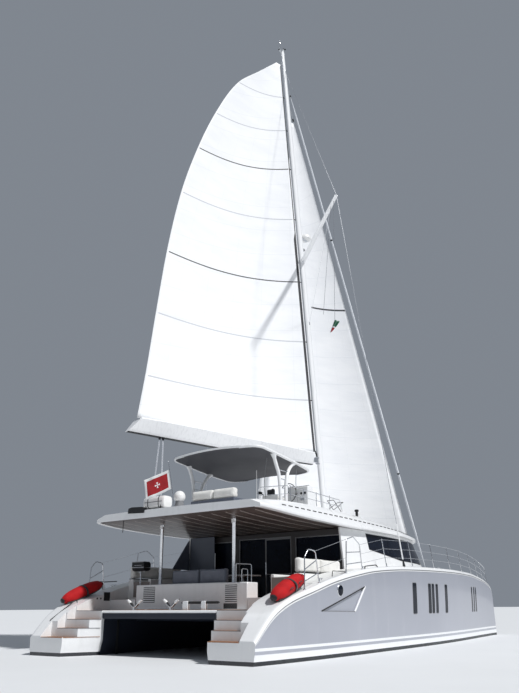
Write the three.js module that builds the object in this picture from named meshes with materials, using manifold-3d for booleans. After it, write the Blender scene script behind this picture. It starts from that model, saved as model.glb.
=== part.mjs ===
// A 21 m cruising catamaran under sail: two decked hulls joined by a bridgedeck with a saloon,
// a hardtop with a flybridge, a raked mast with its boom and sails, rudders and propellers.
// Millimetres. +X is starboard, +Y is the bow and +Z is up. The origin is on the centreline,
// amidships, at the waterline.
import * as THREE from "three";
import { mergeVertices } from "three/addons/utils/BufferGeometryUtils.js";
import Module from "manifold-3d";

const wasm = await Module();
wasm.setup();

// Driving dimensions
const GAP = 0.3; // between pieces that touch
const SHORTEST = 0.05; // edges below this are closed up after a cut
const DEG = Math.PI / 180;

const deck = {
  soleZ: 1600, // cockpit and saloon floor
  tunnelHalf: 2280, // inner face of each hull above the tunnel
  tunnelTopZ: 950,
  aftY: -8150, // aft face of the bridgedeck
  lockerFrontY: -7600,
  bridgeFrontY: 6900,
  foredeckZ: 2620,
};

const house = {
  aftY: -4300,
  wall: 60,
  sillZ: 2720, // where the sides start to lean in
  topZ: 3870, // underside of the hardtop
  bulkheadY: -3950,
  // plan outline of the starboard half: y, half breadth below the sill, y and half breadth at the top
  outline: [
    { y: -4300, x: 3450, topY: -4300, topX: 3350 },
    { y: -2500, x: 3500, topY: -2500, topX: 3400 },
    { y: -500, x: 3500, topY: -500, topX: 3380 },
    { y: 1200, x: 3420, topY: 1200, topX: 3250 },
    { y: 2900, x: 3180, topY: 2600, topX: 2960 },
    { y: 4300, x: 2700, topY: 3650, topX: 2480 },
    { y: 5250, x: 1800, topY: 4400, topX: 1620 },
    { y: 5700, x: 700, topY: 4720, topX: 620 },
  ],
};

// Hull stations, starboard: y, outer edge and height of the sheer, inner edge of the deck, height
// where the inner side starts to lean out, outer and inner edge at the waterline, depth below it.
const hullStations = [
  { y: -10600, sheerX: 4300, sheerZ: 560, innerX: 2800, shelfZ: 280, outerW: 4230, innerW: 2850, depth: 70 },
  { y: -10250, sheerX: 4350, sheerZ: 930, innerX: 2625, shelfZ: 360, outerW: 4280, innerW: 2690, depth: 150 },
  { y: -9900, sheerX: 4390, sheerZ: 1220, innerX: 2450, shelfZ: 400, outerW: 4315, innerW: 2540, depth: 220 },
  { y: -9560, sheerX: 4420, sheerZ: 1410, innerX: 2280, shelfZ: 440, outerW: 4340, innerW: 2400, depth: 280 },
  { y: -9100, sheerX: 4460, sheerZ: 1590, innerX: 2280, shelfZ: 480, outerW: 4370, innerW: 2410, depth: 350 },
  { y: -8100, sheerX: 4530, sheerZ: 1850, innerX: 2280, shelfZ: 560, outerW: 4420, innerW: 2460, depth: 480 },
  { y: -7000, sheerX: 4580, sheerZ: 2120, innerX: 2280, shelfZ: 640, outerW: 4450, innerW: 2520, depth: 600 },
  { y: -5700, sheerX: 4610, sheerZ: 2340, innerX: 2280, shelfZ: 720, outerW: 4465, innerW: 2580, depth: 690 },
  { y: -4300, sheerX: 4620, sheerZ: 2510, innerX: 2280, shelfZ: 780, outerW: 4470, innerW: 2630, depth: 750 },
  { y: -1900, sheerX: 4620, sheerZ: 2640, innerX: 2280, shelfZ: 820, outerW: 4460, innerW: 2700, depth: 820 },
  { y: 700, sheerX: 4590, sheerZ: 2690, innerX: 2280, shelfZ: 840, outerW: 4410, innerW: 2760, depth: 850 },
  { y: 3300, sheerX: 4460, sheerZ: 2710, innerX: 2280, shelfZ: 860, outerW: 4270, innerW: 2860, depth: 830 },
  { y: 5600, sheerX: 4240, sheerZ: 2690, innerX: 2280, shelfZ: 1000, outerW: 4060, innerW: 3000, depth: 780 },
  { y: 6900, sheerX: 4090, sheerZ: 2640, innerX: 2280, shelfZ: 1300, outerW: 3930, innerW: 3110, depth: 730 },
  { y: 7050, sheerX: 4070, sheerZ: 2630, innerX: 3080, shelfZ: 1900, outerW: 3910, innerW: 3130, depth: 720 },
  { y: 8200, sheerX: 3930, sheerZ: 2550, innerX: 3240, shelfZ: 1900, outerW: 3800, innerW: 3270, depth: 650 },
  { y: 9300, sheerX: 3790, sheerZ: 2440, innerX: 3400, shelfZ: 1850, outerW: 3700, innerW: 3430, depth: 570 },
  { y: 10100, sheerX: 3690, sheerZ: 2280, innerX: 3510, shelfZ: 1700, outerW: 3640, innerW: 3530, depth: 480 },
  { y: 10500, sheerX: 3640, sheerZ: 2080, innerX: 3565, shelfZ: 1500, outerW: 3620, innerW: 3570, depth: 400 },
  { y: 10630, sheerX: 3615, sheerZ: 1800, innerX: 3585, shelfZ: 1300, outerW: 3610, innerW: 3590, depth: 300 },
];

// What is cut out of each hull's quarter: from y, to y, outer edge of the cut and its floor
const quarterCuts = [
  { from: -8150, to: -3000, edge: 3550, floor: 1600 },
  { from: -9570, to: -8150, edge: 3460, floor: 1275 },
  { from: -9900, to: -9570, edge: 3500, floor: 1027 },
  { from: -10200, to: -9900, edge: 3560, floor: 779 },
  { from: -10700, to: -10200, edge: 3820, floor: 531 },
];

// A shallow three-cornered recess in each hull's outer side: y and z of its corners
const recess = { corners: [[-7740, 1230], [-5160, 1910], [-5840, 1200]], depth: 45 };

const keel = { topZ: -600, footZ: -1850, aftY: -2000, foreY: 1900, footAftY: -1500, footForeY: 1500, half: 170 };

const rudder = { x: 3360, stockY: -9400, stock: 40, clear: 1, topZ: -390, footZ: -1500, chord: 620, lead: 190 };

const shaft = { x: 3420, propY: -8350, propZ: -800, slope: 8 * DEG, casing: 42, bore: 20.5, bladeReach: 270, hub: 60 };

const platform = { halfX: 2254, aftY: -9570, foreY: -8165, underZ: 1030, topZ: 1275 };
const rail = { inX: 2254.3, y0: -8900, y1: -8820, footZ: -300, topZ: 1250 }; // the platform's guide on each hull

const roof = {
  lip: 110, // height of the upright edge
  shoulder: 380, // how far the top edge lies inside the lip
  // stations: y, half breadth at the lip, underside, top
  stations: [
    { y: -9060, half: 3400, under: 4040, top: 4310 },
    { y: -8900, half: 3510, under: 4023, top: 4327 },
    { y: -7500, half: 3620, under: 3935, top: 4420 },
    { y: -5900, half: 3630, under: 3885, top: 4450 },
    { y: -4400, half: 3630, under: 3870, top: 4450 },
    { y: -2700, half: 3620, under: 3870, top: 4400 },
    { y: 100, half: 3550, under: 3870, top: 4300 },
    { y: 1700, half: 3330, under: 3870, top: 4220 },
    { y: 3000, half: 3000, under: 3870, top: 4140 },
    { y: 4000, half: 2450, under: 3870, top: 4070 },
    { y: 4700, half: 1600, under: 3870, top: 4020 },
    { y: 5020, half: 600, under: 3870, top: 3995 },
  ],
};

const mast = {
  footZ: 4200,
  headZ: 28500,
  y5600: 543, // y of its axis at a height of 5600
  rake: 6.07 * DEG,
  halfDepth: 185,
  halfWidth: 115,
};

const boom = {
  swing: 13 * DEG, // to port, as it is trimmed
  pinBack: 275, // hinge pin behind the mast's axis
  pinZ: 7250,
  pin: 24,
  underZ: 7000,
  topZ: 7550,
};

// Mainsail: height and chord, with the belly as a share of the chord
const mainSections = [
  { z: 7550, chord: 9050, belly: 0.03 },
  { z: 9300, chord: 8600, belly: 0.07 },
  { z: 11800, chord: 8030, belly: 0.09 },
  { z: 14800, chord: 7320, belly: 0.1 },
  { z: 17600, chord: 6500, belly: 0.1 },
  { z: 20200, chord: 5480, belly: 0.1 },
  { z: 22700, chord: 4270, belly: 0.09 },
  { z: 25000, chord: 2830, belly: 0.07 },
  { z: 26300, chord: 1500, belly: 0.05 },
  { z: 27500, chord: 260, belly: 0.02 },
];
const mainsail = { luffBack: 330, thick: 16, twist: 5 * DEG, twistHeight: 20000 };

const genoaStay = { tack: [0, 10320, 2620], mastZ: 25800 };
const outerStay = { tack: [0, 11600, 2620], mastZ: 26980 };
const genoa = { tackAt: 0.045, headAt: 0.945, clew: [-3000, -300, 5050], belly: 0.1, thick: 14, rows: 9 };

const spreader = { rootZ: 16580, tip: [3300, -3100, 17750], half: 45 };
const chainplate = [4560, -1950, 2600];
const shroudRadius = 11;

const bimini = {
  thick: 80,
  camber: 70,
  // stations: y, half breadth, underside at the edges
  stations: [
    { y: -7180, half: 1300, under: 6345 },
    { y: -7050, half: 1800, under: 6340 },
    { y: -6750, half: 2000, under: 6310 },
    { y: -5300, half: 2020, under: 6150 },
    { y: -3900, half: 1950, under: 6010 },
    { y: -3600, half: 1750, under: 5985 },
    { y: -3480, half: 1250, under: 5975 },
  ],
};

// Finishes
const finish = (color, roughness, metalness = 0) =>
  new THREE.MeshStandardMaterial({ color, roughness, metalness });
const white = finish(0xf0f0ee, 0.35);
const silver = finish(0xb4b8c2, 0.3, 0.3);
const glass = finish(0x10151c, 0.08);
const steel = finish(0xc0c4c8, 0.2, 1);
const sailcloth = finish(0xf2f2f0, 0.8);
const black = finish(0x15171a, 0.5);
const bronze = finish(0xa8874a, 0.35, 1);
const red = finish(0xc81e1e, 0.6);
const greyCushion = finish(0x8d909a, 0.9);
const whiteCushion = finish(0xe6e5e0, 0.9);
const net = finish(0xd8d8d4, 0.9);
const antifoul = finish(0x1a1d22, 0.7);

// Solids and meshes
function toSolid(geometry) {
  const bare = new THREE.BufferGeometry();
  bare.setAttribute("position", geometry.getAttribute("position"));
  if (geometry.index) bare.setIndex(geometry.index);
  const merged = mergeVertices(bare, 1e-3);
  const triVerts = new Uint32Array(merged.index.array);
  const vertProperties = merged.getAttribute("position").array;
  return new wasm.Manifold(new wasm.Mesh({ numProp: 3, vertProperties, triVerts }));
}

function toGeometry(solid) {
  const mesh = solid.getMesh();
  const points = new Float32Array(mesh.numVert * 3);
  for (let i = 0; i < mesh.numVert; i++) {
    points.set(mesh.vertProperties.subarray(i * mesh.numProp, i * mesh.numProp + 3), i * 3);
  }
  const geometry = new THREE.BufferGeometry();
  geometry.setAttribute("position", new THREE.BufferAttribute(points, 3));
  geometry.setIndex(new THREE.BufferAttribute(mesh.triVerts, 1));
  return geometry;
}

const join = (first, ...rest) =>
  toGeometry(rest.reduce((solid, piece) => solid.add(toSolid(piece)), toSolid(first)).simplify(SHORTEST));
const cut = (first, ...rest) =>
  toGeometry(rest.reduce((solid, piece) => solid.subtract(toSolid(piece)), toSolid(first)).simplify(SHORTEST));
const overlapOf = (first, second) => toGeometry(toSolid(first).intersect(toSolid(second)));
const moved = (geometry, x, y, z) => geometry.clone().translate(x, y, z);

// The same shape on the other side of the centreline
function mirrored(geometry) {
  const loose = geometry.index ? geometry.toNonIndexed() : geometry.clone();
  const from = loose.getAttribute("position").array;
  const to = new Float32Array(from.length);
  for (let i = 0; i < from.length; i += 9) {
    [0, 6, 3].forEach((corner, k) => {
      to[i + 3 * k] = -from[i + corner];
      to[i + 3 * k + 1] = from[i + corner + 1];
      to[i + 3 * k + 2] = from[i + corner + 2];
    });
  }
  return new THREE.BufferGeometry().setAttribute("position", new THREE.BufferAttribute(to, 3));
}

// Triangles that fill a flat ring of points, in the ring's own order
function fillRing(ring) {
  const normal = new THREE.Vector3();
  ring.forEach((p, i) => {
    const q = ring[(i + 1) % ring.length];
    normal.x += (p.y - q.y) * (p.z + q.z);
    normal.y += (p.z - q.z) * (p.x + q.x);
    normal.z += (p.x - q.x) * (p.y + q.y);
  });
  normal.normalize();
  const across = new THREE.Vector3(1, 0, 0);
  if (Math.abs(normal.x) > 0.9) across.set(0, 1, 0);
  const u = across.cross(normal).normalize();
  const v = normal.clone().cross(u);
  const flat = ring.map((p) => new THREE.Vector2(p.dot(u), p.dot(v)));
  return THREE.ShapeUtils.triangulateShape(flat, []).map(([a, b, c]) => {
    const ab = flat[b].clone().sub(flat[a]);
    const ac = flat[c].clone().sub(flat[a]);
    return ab.cross(ac) > 0 ? [a, b, c] : [a, c, b];
  });
}

// A skin through rings of points, closed at both ends; all rings have as many points
function loft(rings) {
  const count = rings[0].length;
  const index = [];
  for (let r = 0; r + 1 < rings.length; r++) {
    for (let i = 0; i < count; i++) {
      const a = r * count + i;
      const b = r * count + ((i + 1) % count);
      index.push(a, b, b + count, a, b + count, a + count);
    }
  }
  fillRing(rings[0]).forEach(([a, b, c]) => index.push(a, c, b));
  const last = (rings.length - 1) * count;
  fillRing(rings[rings.length - 1]).forEach(([a, b, c]) => index.push(last + a, last + b, last + c));
  const points = rings.flat();
  let volume = 0;
  for (let i = 0; i < index.length; i += 3) {
    const [p, q, s] = [points[index[i]], points[index[i + 1]], points[index[i + 2]]];
    volume += p.dot(q.clone().cross(s));
  }
  if (volume < 0) index.reverse();
  const geometry = new THREE.BufferGeometry().setFromPoints(points);
  geometry.setIndex(index);
  return geometry;
}

const at = (x, y, z) => new THREE.Vector3(x, y, z);

function block(x0, x1, y0, y1, z0, z1) {
  return new THREE.BoxGeometry(x1 - x0, y1 - y0, z1 - z0).translate((x0 + x1) / 2, (y0 + y1) / 2, (z0 + z1) / 2);
}

function extruded(outline, depth, basis, origin) {
  const shape = new THREE.Shape(outline.map(([a, b]) => new THREE.Vector2(a, b)));
  const geometry = new THREE.ExtrudeGeometry(shape, { depth, bevelEnabled: false });
  return geometry.applyMatrix4(new THREE.Matrix4().makeBasis(...basis).setPosition(origin));
}

// Outlines in (y, z), (x, z) and (x, y), pushed along the third axis
const sideSlab = (outline, x0, x1) =>
  extruded(outline, x1 - x0, [at(0, 1, 0), at(0, 0, 1), at(1, 0, 0)], at(x0, 0, 0));
const frontSlab = (outline, y0, y1) =>
  extruded(outline, y1 - y0, [at(1, 0, 0), at(0, 0, 1), at(0, -1, 0)], at(0, y1, 0));
const planSlab = (outline, z0, z1) =>
  extruded(outline, z1 - z0, [at(1, 0, 0), at(0, 1, 0), at(0, 0, 1)], at(0, 0, z0));

// A round rod between two points; radiusTo lets it taper
function rod(from, to, radius, sides = 8, radiusTo = radius) {
  const span = to.clone().sub(from);
  const geometry = new THREE.CylinderGeometry(radiusTo, radius, span.length(), sides);
  const turn = new THREE.Quaternion().setFromUnitVectors(at(0, 1, 0), span.clone().normalize());
  return geometry.applyQuaternion(turn).translate(...from.clone().add(to).multiplyScalar(0.5).toArray());
}

// A mitred tube along a chain of points
function bentRod(points, radius, sides = 6) {
  const direction = (i) => points[i + 1].clone().sub(points[i]).normalize();
  const last = points.length - 1;
  const rings = points.map((p, i) => {
    const along = at(0, 0, 0);
    if (i > 0) along.add(direction(i - 1));
    if (i < last) along.add(direction(i));
    along.normalize();
    const across = at(1, 0.02, 0.01).cross(along).normalize();
    const third = along.clone().cross(across);
    return Array.from({ length: sides }, (_, k) => {
      const angle = (2 * Math.PI * k) / sides;
      const offset = across.clone().multiplyScalar(radius * Math.cos(angle));
      return p.clone().add(offset).addScaledVector(third, radius * Math.sin(angle));
    });
  });
  return loft(rings);
}

// A body of round rings along a line, from rows of distance and radius
function turned(from, to, rows, sides = 12) {
  const along = to.clone().sub(from).normalize();
  const across = at(1, 0.02, 0.01).cross(along).normalize();
  const third = along.clone().cross(across);
  return loft(rows.map(([distance, radius]) =>
    Array.from({ length: sides }, (_, k) => {
      const angle = (2 * Math.PI * k) / sides;
      return from.clone().addScaledVector(along, distance)
        .addScaledVector(across, radius * Math.cos(angle)).addScaledVector(third, radius * Math.sin(angle));
    }),
  ));
}

// Value of one column of a table of stations at y
function tableAt(rows, column, y) {
  const i = Math.max(1, rows.findIndex((row) => row.y >= y));
  const [a, b] = y > rows[rows.length - 1].y ? rows.slice(-2) : [rows[i - 1], rows[i]];
  return a[column] + ((b[column] - a[column]) * (y - a.y)) / (b.y - a.y);
}

const boat = new THREE.Group();
function add(name, geometry, material, parent = boat) {
  const mesh = new THREE.Mesh(geometry, material);
  mesh.name = name;
  parent.add(mesh);
}

const SIDES = [
  { name: "starboard", of: (geometry) => geometry },
  { name: "port", of: mirrored },
];
// One piece on each side, trimmed by pieces on the centreline
function addPair(name, geometry, material, ...trimmers) {
  SIDES.forEach((side) => {
    const piece = side.of(geometry);
    add(name + "_" + side.name, trimmers.length ? cut(piece, ...trimmers) : piece, material);
  });
}

// Hulls
function hullRing(s) {
  const ring = [];
  const centre = (s.outerW + s.innerW) / 2;
  const half = (s.outerW - s.innerW) / 2;
  const bilgeSteps = 8;
  for (let i = 0; i <= bilgeSteps; i++) {
    const angle = Math.PI * (1 + i / bilgeSteps);
    const c = Math.cos(angle);
    ring.push(at(centre + half * Math.sign(c) * Math.abs(c) ** 0.8, s.y, -s.depth * Math.abs(Math.sin(angle)) ** 0.8));
  }
  const side = s.sheerX - s.outerW;
  ring.push(at(s.outerW + 0.72 * side, s.y, 0.5 * s.sheerZ));
  ring.push(at(s.sheerX, s.y, s.sheerZ - Math.min(110, 0.15 * s.sheerZ)));
  const chamfer = Math.min(90, 0.3 * (s.sheerX - s.innerX));
  ring.push(at(s.sheerX - chamfer, s.y, s.sheerZ));
  ring.push(at(s.innerX, s.y, s.sheerZ));
  ring.push(at(s.innerX, s.y, s.shelfZ));
  return ring;
}

// x of the outer side above the waterline
function sideX(y, z) {
  const outer = tableAt(hullStations, "outerW", y);
  const side = tableAt(hullStations, "sheerX", y) - outer;
  const top = tableAt(hullStations, "sheerZ", y);
  const knee = 0.5 * top;
  const upper = 0.72 + (0.28 * (z - knee)) / (top - 110 - knee);
  return outer + side * (z < knee ? (0.72 * z) / knee : upper);
}

// The house's outline at a height, moved out by grow, for one share of the lean between sill and top
function houseRing(z, lean, grow, aftY = house.aftY) {
  const half = house.outline.map((p) => [p.x + (p.topX - p.x) * lean, p.y + (p.topY - p.y) * lean]);
  half[0][1] = aftY;
  const ring = half.map(([x, y], i) => {
    const before = half[Math.max(0, i - 1)];
    const after = half[i + 1] || [-x, y];
    const along = new THREE.Vector2(after[0] - before[0], after[1] - before[1]).normalize();
    const push = i === 0 ? [grow, 0] : [grow * along.y, -grow * along.x];
    return at(x + push[0], y + push[1], z);
  });
  return [...ring, ...ring.slice().reverse().map((p) => at(-p.x, p.y, p.z))];
}

function houseBody(grow, bottomZ, aftY) {
  return loft([
    houseRing(bottomZ, 0, grow, aftY),
    houseRing(house.sillZ, 0, grow, aftY),
    houseRing(house.topZ, 1, grow, aftY),
    houseRing(house.topZ + 200, 1, grow, aftY),
  ]);
}
const houseSpace = block(-5000, 5000, -6000, 7000, deck.soleZ + GAP, house.topZ - GAP);

const houseWell = houseBody(GAP, deck.soleZ, house.aftY - 200);

function quarterCutter() {
  const inner = deck.tunnelHalf - 200;
  const top = 4000;
  const blocks = quarterCuts.map((c) => block(inner, c.edge, c.from, c.to, c.floor, top));
  return join(...blocks);
}

// A lens-shaped ring, for fins and blades
function lensRing(z, aftY, foreY, half, x) {
  const ring = [];
  const steps = 6;
  for (const side of [1, -1]) {
    for (let i = 0; i < steps; i++) {
      const t = side > 0 ? i / steps : 1 - i / steps;
      const swell = 4 * t * (1 - t) * (0.7 + 0.6 * t);
      ring.push(at(x + side * half * swell, aftY + (foreY - aftY) * t, z));
    }
  }
  return ring;
}

// Each hull has its fin keel and the platform's guide rail moulded on, and a bore for the rudder stock
const hull = (() => {
  const x = (tableAt(hullStations, "outerW", 0) + tableAt(hullStations, "innerW", 0)) / 2;
  const fin = loft([
    lensRing(keel.topZ, keel.aftY, keel.foreY, keel.half, x),
    lensRing(keel.footZ, keel.footAftY, keel.footForeY, keel.half * 0.8, x),
  ]);
  const guide = block(rail.inX, deck.tunnelHalf + 10, rail.y0, rail.y1, rail.footZ, rail.topZ);
  const body = join(loft(hullStations.map(hullRing)), fin, guide);
  const stock = at(rudder.x, rudder.stockY, -1000);
  const bore = rod(stock, at(rudder.x, rudder.stockY, 60), rudder.stock + rudder.clear, 24);
  const floor = recess.corners.map(([y, z]) => at(sideX(y, z) - recess.depth, y, z));
  const hollow = loft([floor, floor.map((p) => at(p.x + 400, p.y, p.z))]);
  return cut(body, quarterCutter(), houseWell, bore, hollow);
})();
addPair("hull", hull, silver);

// Rudders: blade and stock
{
  const trail = rudder.stockY - (rudder.chord - rudder.lead);
  const blade = loft([
    lensRing(rudder.topZ, trail, rudder.stockY + rudder.lead, 42, rudder.x),
    lensRing(rudder.footZ, trail + 120, rudder.stockY + rudder.lead - 60, 26, rudder.x),
  ]);
  const foot = at(rudder.x, rudder.stockY, rudder.topZ - 300);
  const head = at(rudder.x, rudder.stockY, 50);
  addPair("rudder", join(blade, rod(foot, head, rudder.stock, 24)), antifoul);
}

// Propeller shafts in their casings, each with a strut, and the propellers
const shaftAxis = at(0, Math.cos(shaft.slope), Math.sin(shaft.slope));
const onShaft = (distance) => at(shaft.x, shaft.propY, shaft.propZ).addScaledVector(shaftAxis, distance);
{
  const casing = rod(onShaft(170), onShaft(2000), shaft.casing, 12);
  const strutY = onShaft(260).y;
  const strut = block(shaft.x - 16, shaft.x + 16, strutY - 70, strutY + 110, onShaft(260).z, -300);
  const bore = rod(onShaft(160), onShaft(260), shaft.bore, 24);
  addPair("shaft_casing", cut(join(casing, strut), bore, moved(hull, 0, 0, -GAP)), bronze);

  const pieces = [rod(onShaft(-110), onShaft(160), shaft.hub, 12), rod(onShaft(100), onShaft(240), 20, 24)];
  const bladeCount = 4;
  for (let i = 0; i < bladeCount; i++) {
    const outline = [[-30, 30], [30, 30], [75, 150], [60, 235], [0, shaft.bladeReach], [-60, 235], [-75, 150]];
    const blade = frontSlab(outline, -7, 7).rotateZ(35 * DEG).rotateY((i * 2 * Math.PI) / bladeCount);
    pieces.push(blade.rotateX(shaft.slope).translate(...onShaft(20).toArray()));
  }
  addPair("propeller", join(...pieces), bronze);
}

// Bridgedeck between the hulls, with the cockpit sole, the foredeck and its two lockers
const hatch = { x: 1150, halfX: 420, aftY: 5900, foreY: 6600, thick: 30, depth: 350 };
{
  const half = deck.tunnelHalf - GAP;
  const profile = [
    [deck.aftY, deck.tunnelTopZ], [5200, deck.tunnelTopZ], [6500, 1500], [deck.bridgeFrontY, 2100],
    [deck.bridgeFrontY, deck.foredeckZ], [-4000, deck.foredeckZ], [-4000, deck.soleZ],
    [deck.lockerFrontY, deck.soleZ], [deck.lockerFrontY, 1270], [deck.aftY, 1270],
  ];
  const wells = [-1, 1].map((side) =>
    block(side * hatch.x - 380, side * hatch.x + 380, hatch.aftY + 60, hatch.foreY - 60,
      deck.foredeckZ - hatch.depth, deck.foredeckZ + 10),
  );
  add("bridgedeck", cut(sideSlab(profile, -half, half), houseWell, ...wells), white);
  const lid = block(hatch.x - hatch.halfX, hatch.x + hatch.halfX, hatch.aftY, hatch.foreY,
    deck.foredeckZ + GAP, deck.foredeckZ + GAP + hatch.thick);
  addPair("foredeck_hatch", lid, white);
}

// House: walls, panes, aft bulkhead and sliding door
const windowFrame = { low: 2990, high: 3760 };
const mullion = { width: 40, sideYs: [-750, 1150], frontXs: [-1550, 0, 1550] };
const sideWindow = [[-2360, 3250], [300, windowFrame.low], [3150, windowFrame.low - 30], [2950, windowFrame.high],
  [-2500, windowFrame.high]];
const frontWindow = [[-2950, windowFrame.low - 30], [2950, windowFrame.low - 30], [2450, windowFrame.high],
  [-2450, windowFrame.high]];
{
  const half = mullion.width / 2;
  const sidePosts = mullion.sideYs.map((y) => block(-4100, 4100, y - half, y + half, 2000, 4500));
  const frontPosts = mullion.frontXs.map((x) => block(x - half, x + half, 3200, 6600, 2000, 4500));
  const shell = cut(
    overlapOf(houseBody(0, deck.soleZ - 50), houseSpace),
    houseBody(-house.wall, deck.soleZ - 100, house.aftY - 100),
    cut(sideSlab(sideWindow, 2600, 4000), ...sidePosts), cut(sideSlab(sideWindow, -4000, -2600), ...sidePosts),
    cut(frontSlab(frontWindow, 3300, 6500), ...frontPosts),
  );
  add("house_shell", shell, white);
  // one wrapped sheet of glass, bonded behind the openings
  const sheet = cut(
    houseBody(-house.wall - GAP, deck.soleZ - 50, house.aftY - 100),
    houseBody(-house.wall - 12, deck.soleZ - 100, house.aftY - 200),
  );
  const band = block(-4000, 4000, -2620, 7000, windowFrame.low - 120, windowFrame.high + 70);
  add("saloon_glass", overlapOf(sheet, band), glass);
}

const door = { x0: -40, x1: 1160, headZ: 3700, thick: 36 };
{
  const y = house.bulkheadY;
  const room = overlapOf(houseBody(-house.wall - GAP, deck.soleZ - 50, house.aftY - 100), houseSpace);
  const panel = block(-3600, 3600, y, y + house.wall, deck.soleZ, 4000);
  const bulkhead = cut(overlapOf(panel, room),
    block(-1150, 1150, y - 10, y + 100, deck.soleZ - 10, door.headZ),
    block(-3150, -1350, y - 10, y + 100, 2350, 3650),
    block(1350, 3150, y - 10, y + 100, 2350, 3650),
  );
  add("aft_bulkhead", bulkhead, white);
  const inside = y + house.wall + GAP;
  const sheet = [
    [-3230, 2270], [-1300, 2270], [-1300, deck.soleZ + GAP], [-20, deck.soleZ + GAP], [-20, door.headZ + 10],
    [1300, door.headZ + 10], [1300, 2270], [3230, 2270], [3230, 3780], [-3230, 3780],
  ];
  add("bulkhead_glass", frontSlab(sheet, inside, inside + 12), glass);
  const doorY = inside + 12 + 6;
  const leaf = block(door.x0, door.x1, doorY, doorY + door.thick, deck.soleZ + 6, door.headZ);
  const runners = [door.x0 + 150, door.x1 - 150].map((x) =>
    block(x - 40, x + 40, doorY + 8, doorY + 28, deck.soleZ + GAP, deck.soleZ + 20),
  );
  add("saloon_door", join(leaf, ...runners), glass);
}

// Hardtop over cockpit and house
function roofRing(s) {
  const edge = Math.min(roof.shoulder, s.half * 0.4);
  const half = [[s.half, s.under], [s.half, s.under + roof.lip], [s.half - edge, s.top - 30], [0, s.top]];
  const right = half.map(([x, z]) => at(x, s.y, z));
  const left = half.slice(0, 3).reverse().map(([x, z]) => at(-x, s.y, z));
  return [...right, ...left];
}
const roofBody = loft(roof.stations.map(roofRing));
const roofTop = moved(roofBody, 0, 0, GAP);
add("hardtop", roofBody, white);
const roofZ = (y) => tableAt(roof.stations, "top", y);

// Transom locker, roof posts, cockpit furniture
const locker = { halfX: 2270, topZ: 2040 };
const louvre = { xs: [[-1920, -1430], [1460, 1890]], lowZ: 1520, slats: 8, pitch: 58, height: 30, proud: 14 };
{
  const body = block(-locker.halfX, locker.halfX, deck.aftY, deck.lockerFrontY - GAP, 1270 + GAP, locker.topZ);
  const slats = louvre.xs.flatMap(([x0, x1]) =>
    Array.from({ length: louvre.slats }, (_, i) => {
      const z = louvre.lowZ + i * louvre.pitch;
      return block(x0, x1, deck.aftY - louvre.proud, deck.aftY + 5, z, z + louvre.height);
    }),
  );
  add("transom_locker", join(body, ...slats), white);
}
const post = { x: 1520, y: -7820, radius: 62 };
addPair("roof_post",
  rod(at(post.x, post.y, locker.topZ + GAP),
    at(post.x, post.y, tableAt(roof.stations, "under", post.y + post.radius) - GAP), post.radius, 16), steel);
add("cockpit_sofa", join(
  block(-1300, 1050, -7500, -6850, deck.soleZ + GAP, 2020),
  block(-1300, 1050, -7590, -7400, deck.soleZ + GAP, 2500),
), greyCushion);
add("cockpit_table", join(
  block(-1200, 950, -6350, -5450, 2300, 2345),
  block(-800, -600, -6000, -5800, deck.soleZ + GAP, 2310),
  block(350, 550, -6000, -5800, deck.soleZ + GAP, 2310),
), white);
addPair("cockpit_lounge", join(
  block(2500, 3549, -7250, -4700, deck.soleZ + GAP, 2060),
  block(2500, 2620, -7250, -4700, deck.soleZ + GAP, 2270),
  block(3330, 3549, -7250, -4700, deck.soleZ + GAP, 2740),
), white);

// Lifting platform between the hulls, with the dinghy's chocks
{
  const edge = 60;
  const { halfX, aftY, foreY, underZ, topZ } = platform;
  const profile = [[foreY, underZ], [foreY, topZ], [aftY + edge, topZ], [aftY + edge / 4, topZ - edge / 4],
    [aftY, topZ - edge], [aftY, underZ + edge], [aftY + edge, underZ]];
  add("tender_platform", sideSlab(profile.reverse(), -halfX, halfX), white);
  const cradles = [-1200, 300].map((x) => {
    const arm = [[x - 70, topZ + GAP], [x + 70, topZ + GAP], [x + 40, topZ + 90], [x + 330, topZ + 260],
      [x + 290, topZ + 320], [x, topZ + 170], [x - 290, topZ + 320], [x - 330, topZ + 260], [x - 40, topZ + 90]];
    return frontSlab(arm, -9300, -9230);
  });
  add("dinghy_chocks", join(...cradles, block(-1300, 400, -9290, -9240, topZ + GAP, topZ + 60)), steel);
}

// Bow: crossbeam, longeron with bowsprit and anchor, nets
const beam = { y: 9700, z: 2280, radius: 130 };
{
  const tube = rod(at(-3560, beam.y, beam.z), at(3560, beam.y, beam.z), beam.radius, 16);
  const hulls = [moved(hull, -GAP, 0, GAP), moved(mirrored(hull), GAP, 0, GAP)];
  add("crossbeam", cut(tube, ...hulls), silver);
  const topZ = beam.z + beam.radius + GAP;
  const spar = [[deck.bridgeFrontY + GAP, topZ], [beam.y + 300, topZ], [11800, topZ + 100], [11800, 2620],
    [deck.bridgeFrontY + GAP, 2620]];
  const shank = sideSlab([[10200, topZ], [11300, topZ - 60], [11300, topZ + 120], [10200, topZ + 60]], -20, 20);
  const fluke = loft([
    [at(-20, 11280, topZ), at(20, 11280, topZ), at(20, 11320, topZ - 60), at(-20, 11320, topZ - 60)],
    [at(-220, 10800, 2080), at(220, 10800, 2080), at(200, 10900, 2020), at(-200, 10900, 2020)],
  ]);
  add("bowsprit", join(sideSlab(spar, -110, 110), shank, fluke), silver);
  const y0 = deck.bridgeFrontY + GAP;
  const y1 = beam.y - 160;
  const edge = (y) => [tableAt(hullStations, "innerX", y) - 30, y];
  const netOutline = [[111, y0], [2230, y0], edge(7100), edge(8200), edge(y1), [111, y1]];
  addPair("trampoline", planSlab(netOutline, 2480, 2500), net);
}

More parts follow.
